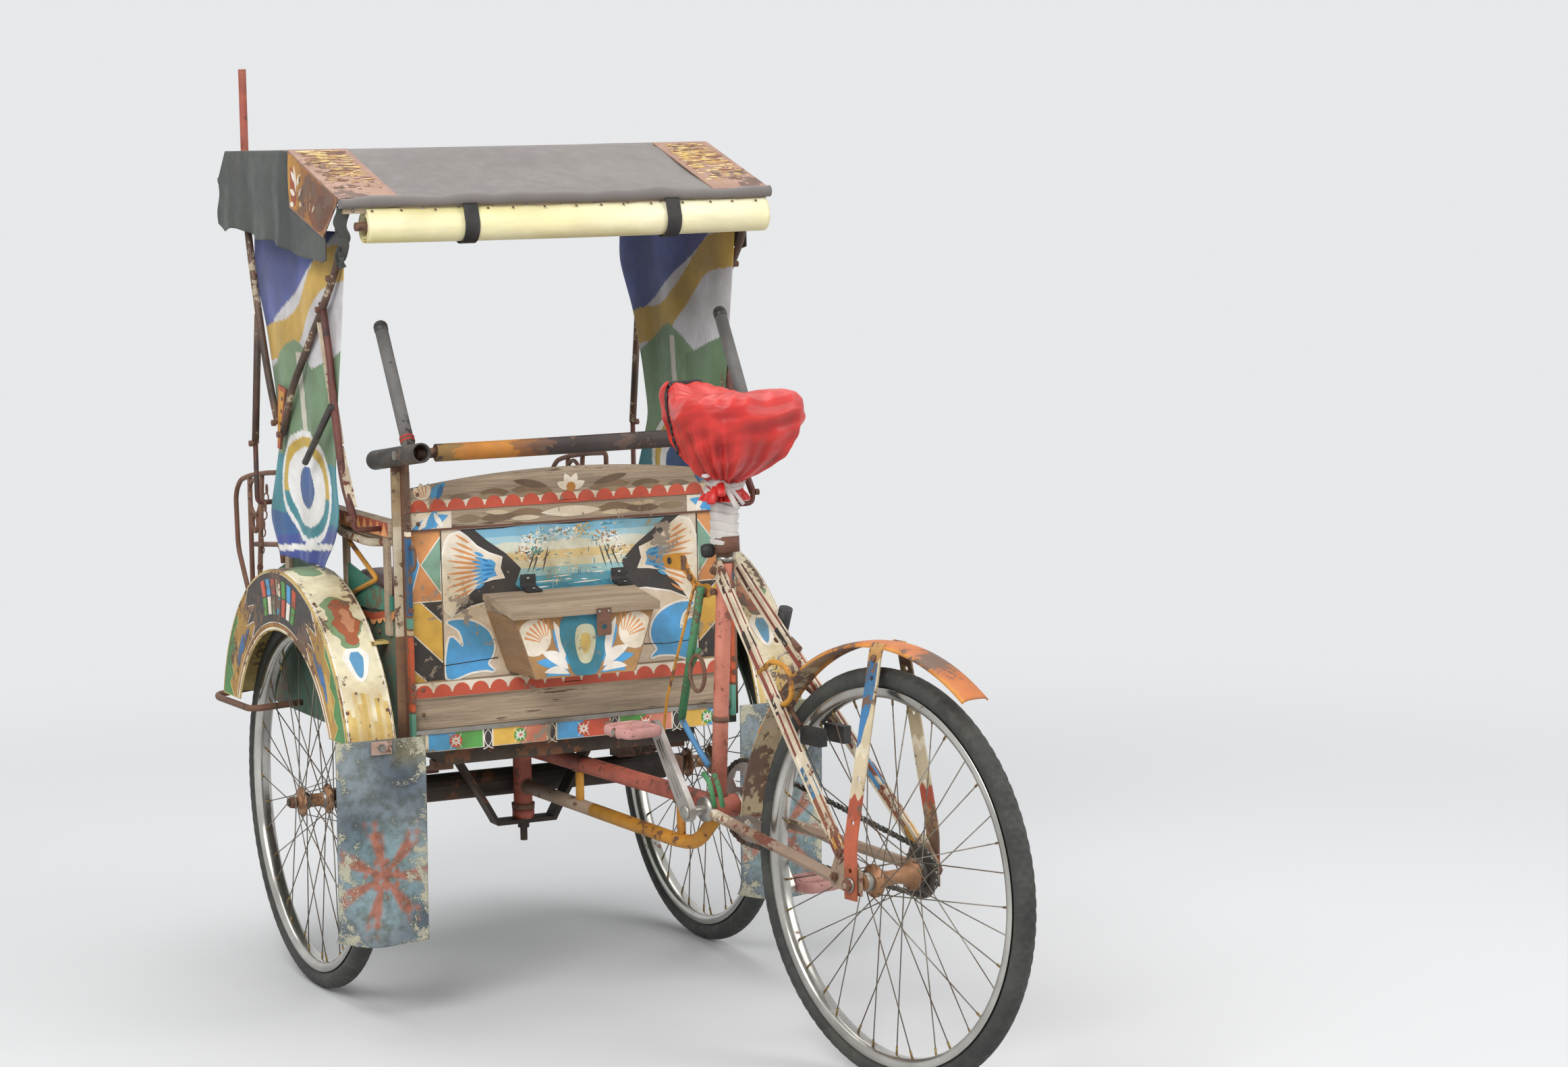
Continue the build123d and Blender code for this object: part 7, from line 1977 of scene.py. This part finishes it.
class RICKSHAW_OT_rear_fittings(bpy.types.Operator):
    """Makes the rods, levers, spring, brake blocks, boot and knobs hung on the rider's frame."""

    bl_idname = "rickshaw.rear_fittings"
    bl_label = "Rear frame fittings"

    def execute(self, context):
        pile = Pile()

        def line(points, radius, finish_name, bend=0.0, sides=10):
            tube(pile, [hub_at(*p) for p in points], radius, finish_name, in_rear, sides, bend)

        lever = [
            (0.618, 0.8435), (0.613, 0.833), (0.605, 0.8275), (0.563, 0.8243), (0.545, 0.816), (0.513, 0.788),
            (0.489, 0.783), (0.47, 0.79), (0.468, 0.799), (0.484, 0.808), (0.507, 0.806), (0.537, 0.8275),
            (0.552, 0.853), (0.573, 0.855), (0.605, 0.8486),
        ]

        def beside(f, z, h):
            return in_rear(stacked(-0.0195 - h, HUB_Y + f, z))

        pull = Pile()
        prism(pull, flowing(lever, 4), beside, 0.0035, "ochre")
        prism(pull, disc(0.596, 0.839, 0.0065, 16), beside, 0.0008, "rubber_black", base=0.0034)
        prism(pull, rect(0.545, 0.56, 0.826, 0.852), beside, 0.0006, "rust", base=0.0034)
        for forward, z in ((0.489, 0.795), (0.532, 0.815)):
            turned(
                pull, chamfered(0.0065, 0.004, 0.003, 0.005), hub_at(-0.0228, forward, z), (-1, 0, 0), "rust", 6,
                in_rear, False,
            )
        tube(pull, [hub_at(-0.0165, 0.4685, 0.795), hub_at(-0.024, 0.4685, 0.795)], 0.006, "rust", in_rear, 14)
        pull.build("brake_lever", "rear_frame", ["brake_linkage"], "ochre")
        for points, radius, name, bend, sides in (
            ([(-0.032, 0.489, 0.802), (-0.032, 0.555, 0.559)], 0.0075, "green_paint", 0, 10),
            ([(-0.032, 0.535, 0.64), (-0.03, 0.5, 0.69)], 0.0045, "green_paint", 0, 10),
            ([(-0.032, 0.555, 0.559), (-0.03, 0.52, 0.52), (-0.026, 0.484, 0.483)], 0.0055, "blue_paint", 0.02, 10),
            (
                [(-0.036, 0.502, 0.807), (-0.04, 0.588, 0.592), (-0.03, 0.617, 0.515), (-0.011, 0.607, 0.474)],
                0.0028, "ochre", 0.02, 6,
            ),
            ([(-0.03, 0.495, 0.468), (-0.034, 0.47, 0.455), (-0.03, 0.462, 0.411)], 0.0045, "green_paint", 0.012, 10),
            ([(-0.036, 0.454, 0.473), (-0.036, 0.44, 0.45), (-0.034, 0.432, 0.416)], 0.0045, "green_paint", 0.01, 10),
        ):
            line(points, radius, name, bend, sides)
        for side in (-1, 1):
            line(
                [(side * 0.03, 0.3, 0.655), (side * 0.034, 0.245, 0.63), (side * 0.032, 0.205, 0.59)], 0.0042, "rust",
                0.02, 8,
            )
            x = side * 0.026
            box(pile, hub_at(x - 0.008, 0.15, 0.56), hub_at(x + 0.008, 0.205, 0.59), "rubber_black", in_rear)
        a = angles(28)
        hoop(
            pile, stacked(-0.036, HUB_Y + 0.499 + 0.022 * np.cos(a), 0.648 + 0.032 * np.sin(a)), 0.0038, "rust",
            in_rear,
        )
        coil, coils = np.linspace(0, 1, 160), 20
        wind = coil * 2 * np.pi * coils
        spring = stacked(
            0.012 + 0.0055 * np.cos(wind), HUB_Y + 0.338 + 0.031 * coil + 0.0055 * np.sin(wind), 0.668 - 0.134 * coil,
        )
        tube(pile, spring, 0.0011, "steel", in_rear, 6)
        line([(0.0175, 0.338, 0.668), (0.02, 0.334, 0.69), (0.036, 0.322, 0.7)], 0.0014, "steel", 0.004, 6)
        line([(0.0175, 0.369, 0.534), (0.0165, 0.3695, 0.52), (0.012, 0.371, 0.505)], 0.0014, "steel", 0.004, 6)
        line([(0.055, 0.374, 0.72), (0.055, 0.356, 0.77)], 0.0125, "rubber_black", 0, 14)
        line([(0.04, 0.3, 0.705), (0.046, 0.345, 0.725), (0.052, 0.38, 0.712)], 0.006, "rust", 0.02)
        knob = [(-0.013, 0), (-0.012, 0.009), (-0.006, 0.0125), (0.006, 0.0125), (0.011, 0.009), (0.013, 0)]
        turned(pile, knob, hub_at(-0.026, 0.474, 0.868), (1, -0.7, 0.1), "rubber_black", 20, in_rear)
        line([(-0.006, 0.456, 0.866), (-0.026, 0.474, 0.868)], 0.006, "rust")
        turned(pile, plug(0, 0.028, 0.0225, 0.0165), hub_at(0, 0.452, 0.866), (0, 0.055, 1), "rust", 24, in_rear)
        for z, name in ((0.849, "chrome"), (0.56, "rust")):
            y = CRANK_Y + 0.008 - 0.034 * (z - CRANK_Z) / 0.475
            turned(pile, plug(0, 0.01, 0.0155, 0.01), (0, y, z), (0, -0.07, 1), name, 24, in_rear)
        turned(pile, plug(0, 0.016, 0.0212), (0, 0, 0.291), (0, 0, 1), "frame_red", 24, in_rear)
        turned(pile, [(0, 0), (0, 0.0215), (0.012, 0.0225), (0.012, 0)], (0, 0, 0.3082), (0, 0, 1), "rust", 24, in_rear)
        box(pile, hub_at(-0.013, 0.588, 0.436), hub_at(-0.0075, 0.628, 0.484), "rust", in_rear)
        loop = np.array([(0.25, 0.615), (0.205, 0.64), (0.215, 0.69), (0.262, 0.7), (0.3, 0.672)])
        tube(pile, [hub_at(-0.048, y, z) for y, z in loop], 0.0048, "ochre", in_rear, 10, 0.02)
        for start, end in ((-0.0385, -0.03), (0.03, 0.0385)):
            turned(pile, plug(start, end, 0.0225), (0, CRANK_Y, CRANK_Z), (1, 0, 0), "steel", 30, in_rear)
        pile.build("rear_frame_fittings", "rear_frame", slot="dark_iron")
        return {"FINISHED"}


class RICKSHAW_OT_cabin_fittings(bpy.types.Operator):
    """Makes the cabin's small pieces: paint on posts, armrests and trim, bolts, rods, steps and side boards."""

    bl_idname = "rickshaw.cabin_fittings"
    bl_label = "Cabin fittings"

    def execute(self, context):
        paint = Pile()
        for side in (-1, 1):
            for inner, outer, rear, front, bands in (
                (0.3169, 0.3247, -0.3344, -0.32, (
                    (0.502, 0.56, "5f9a86"), (0.565, 0.7, "c65a34"), (0.704, 0.712, "c9b48c"), (0.716, 0.735, "5f9a86"),
                    (0.74, 0.88, "2f5f8c"), (0.884, 0.892, CREAM), (0.896, 0.925, "5d4a3c"), (0.93, 1.0, "6a5040"),
                )),
                (
                    0.3255, 0.3417, -0.3078, -0.3068,
                    ((0.502, 0.7, "8a6a50"), (0.7, 0.9, "d8ccb4"), (0.9, 1.0, "b9a584")),
                ),
            ):
                x0, x1 = sorted((side * inner, side * outer))
                for low, high, tone in bands:
                    box(paint, (x0, rear, low), (x1, front, high), "painted_sheet", paint=tone)
            board = [(rect(-0.3, 0.328, 0.8805, 0.9075), BRICK, 1)]
            for y in np.linspace(-0.3, 0.325, 19)[:-1]:
                board.append(([(y, 0.8815), (y + 0.0347, 0.8815), (y + 0.0173, 0.9065)], ORANGE, 2))
            painted(paint, board, facing_side(side * 0.349), "painted_sheet")
            trim = np.array([(0.087, 0.764), (-0.025, 0.725), (-0.192, 0.724), (-0.29, 0.742)])
            edging = []
            for k in np.linspace(0, 3, 10):
                y, z = (np.interp(k, np.arange(4), axis) for axis in trim.T)
                edging.append((sector(y, z + 0.004, 0.019, 180, 360), ORANGE, 1.4))
            edging += [(stroke([a, b], 0.012), BRICK, 2) for a, b in zip(trim, trim[1:])]
            for shape in edging:
                painted(paint, [shape], facing_side(side * 0.3425), "painted_sheet")
        paint.build("cabin_paint", "cabin", slot="painted_wood")

        parts = Pile()
        for side in (-1, 1):
            for points, radius, name, bend in (
                ([(0.349, -0.043, 0.873), (0.352, -0.246, 0.8), (0.35, -0.096, 0.756)], 0.0045, "ochre", 0.012),
                ([
                    (0.352, 0.453, 0.508), (0.446, 0.44, 0.5), (0.452, 0.42, 0.498), (0.452, 0.225, 0.503),
                    (0.44, 0.205, 0.505), (0.352, 0.2, 0.51),
                ], 0.0065, "rust", 0.02),
                ([
                    (0.335, -0.296, 0.872), (0.35, -0.2, 0.862), (0.352, -0.05, 0.868), (0.35, -0.02, 0.89),
                ], 0.0075, "stay_cream", 0.03),
            ):
                tube(parts, np.array(points) * (side, 1, 1), radius, name, bend=bend)
            for z in (0.585, 0.61, 0.75, 0.905, 0.945):
                cap = [(0, 0), (0, 0.0055), (0.004, 0.0055), (0.0045, 0)]
                turned(parts, cap, (side * 0.3215, -0.3342, z), (0, -1, 0), "rust", 6, smooth=False)
            a = angles(24)
            ring = stacked(side * (0.318 + 0.002 * np.cos(a)), -0.34 + 0.01 * np.cos(a), 0.845 + 0.022 * np.sin(a))
            hoop(parts, ring, 0.0028, "rust", up=(1, 0, 0))
            for y, z in ((-0.22, 0.7), (-0.02, 0.7), (0.22, 0.74), (0.42, 0.66), (0.52, 0.58)):
                dome = nail_head(0.0004, 0.0055, 0.003, 0.0042, 0.0038)
                turned(parts, dome, (side * 0.34, y, z), (side, 0, 0), "rust", 12)
        for x in (-0.3, 0.305):
            for y, z in ((-0.3285, 0.602), (-0.3285, 0.556), (-0.3262, 0.905), (-0.3262, 0.958)):
                nail = nail_head(0.0003, 0.004, 0.0018, 0.0032, 0.0022)
                turned(parts, nail, (x, y, z), (0, -1, 0), "rust", 12)
        parts.build("cabin_fittings", "cabin", slot="dark_iron")
        sides = Pile()
        for side in (-1, 1):
            outline = [(-0.3, 0.746), (-0.03, 0.732), (-0.06, 0.812), (-0.3, 0.772)]
            prism(sides, outline, facing_side(side * 0.3405), 0.006, "green_board")
        sides.build("side_boards", "cabin", slot="guard_paint")
        return {"FINISHED"}


class RICKSHAW_OT_hood_fittings(bpy.types.Operator):
    """Paints the hood's gussets and makes its bolts, flat strips, black rods and the chain on the left side."""

    bl_idname = "rickshaw.hood_fittings"
    bl_label = "Hood fittings"

    def execute(self, context):
        pile = Pile()
        for side in (-1, 1):
            shapes = [
                ([(0.093, 1.127), (0.135, 1.133), (0.149, 1.013), (0.136, 1.011)], "b5592f", 1),
                ([(0.1, 1.12), (0.13, 1.125), (0.144, 1.028), (0.138, 1.022)], "c9922f", 2),
            ]
            # Dark discs are painted where the gusset's holes are, as painted shade standing in for the openings.
            shapes += [
                (disc(0.112 + 0.007 * k, 1.108 - 0.024 * k, 0.0045 - 0.0006 * k, 12), "3a2c24", 3) for k in range(4)
            ]
            painted(pile, shapes, facing_side(side * 0.4025), "painted_sheet")
            for y, z in ((0.12, 1.04), (0.15, 1.06), (-0.126, 1.287), (-0.19, 1.346), (-0.265, 0.915), (0.292, 1.01)):
                turned(pile, plug(-0.004, 0.004, 0.0065), (side * 0.4085, y, z), (1, 0, 0), "rust", 6, smooth=False)
            for points in (
                [(0.3962, -0.105, 1.265), (0.3962, -0.19, 1.045)],
                [(0.3962, -0.188, 1.04), (0.3962, -0.25, 0.935)],
            ):
                strip(pile, np.array(points) * (side, 1, 1), 0.0012, 0.008, "stay_cream")
            tube(pile, [(side * 0.408, -0.183, 1.114), (side * 0.41, -0.033, 0.999)], 0.0065, "black_paint")
        a = angles(14)
        wide, high = 0.0048 * np.cos(a), 0.0085 * np.sin(a)
        for number in range(15):
            x, y, z = -0.4115 - 0.0025 * number, 0.196 - 0.0015 * number, 0.93 - 0.0165 * number
            if number % 2:
                hoop(pile, stacked(x + wide, y, z + high), 0.0015, "rust", sides=6, up=(0, 1, 0))
            else:
                hoop(pile, stacked(x, y + wide, z + high), 0.0015, "rust", sides=6, up=(1, 0, 0))
        pile.build("hood_fittings", "cabin", slot="dark_iron")
        return {"FINISHED"}


class RICKSHAW_OT_pedals(bpy.types.Operator):
    """Makes the caged pedals with their waffled blocks, and the caps and grooves of the cranks."""

    bl_idname = "rickshaw.pedals"
    bl_label = "Pedals and crank details"

    def execute(self, context):
        along = math.radians(56)
        ahead = np.array((math.cos(along), math.sin(along)))
        crank = np.array((CRANK_Y, CRANK_Z))
        for way, label, inner in ((1, "left", 0.066), (-1, "right", 0.071)):
            out = -way
            eye = (CRANK_Y + way * CRANK_LENGTH * math.cos(along), CRANK_Z + way * CRANK_LENGTH * math.sin(along))
            near = out * (inner + 0.012 + 0.004)
            pile = Pile()
            middle, turn = near + out * 0.04, angles(72)
            c, s = np.cos(turn), np.sin(turn)
            x, y = middle + 0.0355 * np.sign(c) * np.abs(c) ** 0.4, eye[0] + 0.041 * np.sign(s) * np.abs(s) ** 0.4
            hoop(pile, stacked(x, y, eye[1]), 0.0062, "pedal_salmon", in_rear, 12, 1.55)
            barrel = [
                (0, 0), (0, 0.0095), (out * 0.004, 0.0125), (out * 0.07, 0.0125), (out * 0.074, 0.0095),
                (out * 0.074, 0),
            ]
            turned(pile, barrel, (near + out * 0.002, *eye), (1, 0, 0), "pedal_salmon", 30, in_rear)
            for bar in (-1, 1):
                y0, y1 = sorted((eye[0] + bar * 0.0125, eye[0] + bar * 0.0365))
                x0, x1 = sorted((near + out * 0.012, near + out * 0.068))
                box(pile, (x0, y0, eye[1] - 0.0045), (x1, y1, eye[1] + 0.0045), "pedal_salmon", in_rear)
                for i in range(8):
                    for j in range(4):
                        x, y = near + out * (0.0155 + 0.0068 * i), y0 + 0.0015 + 0.0056 * j
                        for z in (eye[1] + 0.0045, eye[1] - 0.0075):
                            box(pile, (x - 0.0024, y, z), (x + 0.0024, y + 0.0041, z + 0.003), "pedal_salmon", in_rear)
            cap = chamfered(0.0085, out * 0.004, 0.004, out * 0.006)
            turned(pile, cap, (near + out * 0.076, *eye), (1, 0, 0), "rust", 18, in_rear)
            pile.build(f"pedal_{label}_blocks", f"pedal_{label}", [f"pedal_{label}"], "pedal")
            arm = Pile()
            face = out * (inner + 0.012)
            turned(
                arm, chamfered(0.0125, out * 0.003, 0.009, out * 0.004), (face, *crank), (1, 0, 0), "steel", 24,
                in_rear,
            )
            start, end = crank + way * 0.03 * ahead, crank + way * 0.145 * ahead
            for shift in (-0.0045, 0.0045):
                across = np.array((-math.sin(along), math.cos(along))) * shift
                tube(arm, [(face, *(start + across)), (face, *(end + across * 0.7))], 0.0013, "steel", in_rear, 6)
            arm.build(f"crank_{label}_details", "crank", slot="chrome")
        return {"FINISHED"}


def seen_rays(tree):
    """1 for rays from the camera or by way of gloss or glass, otherwise 0."""
    path = node(tree, "LightPath").outputs
    some = node(tree, "Math", {0: path["Is Camera Ray"], 1: path["Is Glossy Ray"]}, operation="MAXIMUM").outputs[0]
    return node(tree, "Math", {0: some, 1: path["Is Transmission Ray"]}, operation="MAXIMUM").outputs[0]


class StageSettings(bpy.types.PropertyGroup):
    """The camera and the studio round the rickshaw."""

    focal: bpy.props.FloatProperty(
        name="Focal length", description="Focal length in picture widths", default=5383.66 / 2324,
    )
    floor_size: bpy.props.FloatProperty(
        name="Floor size", description="Half width of the floor", default=60.0, unit="LENGTH",
    )


class RICKSHAW_OT_stage(bpy.types.Operator):
    """Makes the floor and backdrop, the soft lights, and the camera at the photograph's angle."""

    bl_idname = "rickshaw.stage"
    bl_label = "Stage"

    def execute(self, context):
        settings = context.scene.rickshaw_stage
        scene = context.scene
        size = settings.floor_size
        mesh = bpy.data.meshes.new("stage_floor")
        corners = rect(-size, size, -size, size)
        mesh.from_pydata(np.c_[corners, np.zeros(4)].tolist(), [], [(0, 1, 2, 3)])
        floor = bpy.data.objects.new("stage_floor", mesh)
        scene.collection.objects.link(floor)
        pale = (0.8, 0.81, 0.82, 1)
        material = bpy.data.materials.new("stage_pale")
        material.use_nodes = True
        tree = material.node_tree
        shader, output = tree.nodes["Principled BSDF"], tree.nodes["Material Output"]
        shader.inputs["Base Color"].default_value = (0.6, 0.6, 0.6, 1)
        shader.inputs["Roughness"].default_value = 0.9
        fade_start, fade_end = 1.5, 4.6
        glow = node(tree, "Emission", {0: pale, 1: 1.0}).outputs[0]
        away = node(
            tree, "VectorMath", {0: node(tree, "TexCoord").outputs["Object"]}, operation="LENGTH",
        ).outputs["Value"]
        away = node(
            tree, "MapRange", {0: away, 1: fade_start, 2: fade_end}, interpolation_type="SMOOTHERSTEP",
        ).outputs[0]
        seen = seen_rays(tree)
        far = node(tree, "Math", {0: away, 1: seen}, operation="MULTIPLY").outputs[0]
        tree.links.new(node(tree, "MixShader", {0: far, 1: shader.outputs[0], 2: glow}).outputs[0], output.inputs[0])
        mesh.materials.append(material)
        world = bpy.data.worlds.new("studio")
        scene.world = world
        world.use_nodes = True
        tree = world.node_tree
        light = tree.nodes["Background"]
        light.inputs[0].default_value, light.inputs[1].default_value = (0.95, 0.97, 1.0, 1), 0.62
        plain = node(tree, "Background", {0: pale, 1: 1.0}).outputs[0]
        both = node(tree, "MixShader", {0: seen_rays(tree), 1: light.outputs[0], 2: plain}).outputs[0]
        tree.links.new(both, tree.nodes["World Output"].inputs[0])
        for name, place, aim, power, width in (
            ("key", (-3.6, -3.4, 4.6), (0, 0, 0.8), 260, 3.0),
            ("fill", (4.2, -2.8, 3.2), (0, 0, 0.7), 110, 3.5),
            ("top", (0.0, 1.5, 5.0), (0, 0, 0.8), 130, 4.0),
        ):
            lamp = bpy.data.lights.new(name, "AREA")
            lamp.energy, lamp.size = power, width
            piece = bpy.data.objects.new(name, lamp)
            piece.location = place
            piece.rotation_euler = (Vector(aim) - Vector(place)).to_track_quat("-Z", "Y").to_euler()
            scene.collection.objects.link(piece)
        scene.view_settings.view_transform = "Standard"
        camera = bpy.data.objects.new("camera", bpy.data.cameras.new("camera"))
        scene.collection.objects.link(camera)
        scene.camera = camera
        camera.data.lens = settings.focal * camera.data.sensor_width
        eye = (-2.582, -6.458 + SHIFT, 1.642)
        yaw, pitch, roll = math.radians(26.2), math.radians(-6.7), math.radians(-0.9)
        ahead = Vector((math.sin(yaw) * math.cos(pitch), math.cos(yaw) * math.cos(pitch), math.sin(pitch)))
        right0 = Vector((math.cos(yaw), -math.sin(yaw), 0))
        up0 = right0.cross(ahead)
        right = math.cos(roll) * right0 + math.sin(roll) * up0
        up = -math.sin(roll) * right0 + math.cos(roll) * up0
        turn = Matrix((right, up, -ahead)).transposed().to_4x4()
        camera.matrix_world = Matrix.Translation(eye) @ turn
        camera.data.clip_end = 60
        return {"FINISHED"}


class RICKSHAW_OT_finishes(bpy.types.Operator):
    """Makes every weathered finish and gives each CAD piece its own."""

    bl_idname = "rickshaw.finishes"
    bl_label = "Finishes"

    def execute(self, context):
        for name, colour, second, worn, chips, scale, rough, metal, extras in FINISHES:
            finish(name, colour, second, worn, chips, scale, rough, metal, **extras)
        for name, finish_name in NODE_FINISH.items():
            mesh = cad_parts[name].data
            mesh.materials.clear()
            mesh.materials.append(bpy.data.materials[f"worn_{finish_name}"])
        return {"FINISHED"}


class RICKSHAW_PT_panel(bpy.types.Panel):
    """Lists the steps that dress the rickshaw."""

    bl_idname = "RICKSHAW_PT_panel"
    bl_label = "Cycle rickshaw"
    bl_space_type = "VIEW_3D"
    bl_region_type = "UI"
    bl_category = "Rickshaw"

    def draw(self, context):
        for settings in (context.scene.rickshaw_wheels, context.scene.rickshaw_cushions, context.scene.rickshaw_stage):
            for key in settings.__annotations__:
                self.layout.prop(settings, key)
        for operator in OPERATORS:
            self.layout.operator(operator.bl_idname)


OPERATORS = (
    RICKSHAW_OT_finishes, RICKSHAW_OT_tyres, RICKSHAW_OT_wheels, RICKSHAW_OT_axle_nuts, RICKSHAW_OT_chain,
    RICKSHAW_OT_panel_paint, RICKSHAW_OT_sill_tiles, RICKSHAW_OT_tool_box, RICKSHAW_OT_mudguard_paint,
    RICKSHAW_OT_mudflaps, RICKSHAW_OT_roof, RICKSHAW_OT_cap_paint, RICKSHAW_OT_blind, RICKSHAW_OT_curtains,
    RICKSHAW_OT_cushions, RICKSHAW_OT_saddle, RICKSHAW_OT_rear_frame, RICKSHAW_OT_stay_paint, RICKSHAW_OT_rear_fender,
    RICKSHAW_OT_bent_rods, RICKSHAW_OT_push_bar, RICKSHAW_OT_rear_fittings, RICKSHAW_OT_cabin_fittings,
    RICKSHAW_OT_hood_fittings, RICKSHAW_OT_pedals, RICKSHAW_OT_stage,
)
GROUPS = (("rickshaw_wheels", WheelSettings), ("rickshaw_cushions", CushionSettings), ("rickshaw_stage", StageSettings))


def register():
    for name, group in GROUPS:
        bpy.utils.register_class(group)
        setattr(bpy.types.Scene, name, bpy.props.PointerProperty(type=group))
    for kind in (*OPERATORS, RICKSHAW_PT_panel):
        bpy.utils.register_class(kind)


def unregister():
    for kind in reversed((*OPERATORS, RICKSHAW_PT_panel)):
        bpy.utils.unregister_class(kind)
    for name, group in reversed(GROUPS):
        delattr(bpy.types.Scene, name)
        bpy.utils.unregister_class(group)


def main():
    """Runs every step in order."""
    register()
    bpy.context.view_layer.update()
    for operator in OPERATORS:
        group, step = operator.bl_idname.split(".")
        getattr(getattr(bpy.ops, group), step)()


if __name__ == "__main__":
    main()
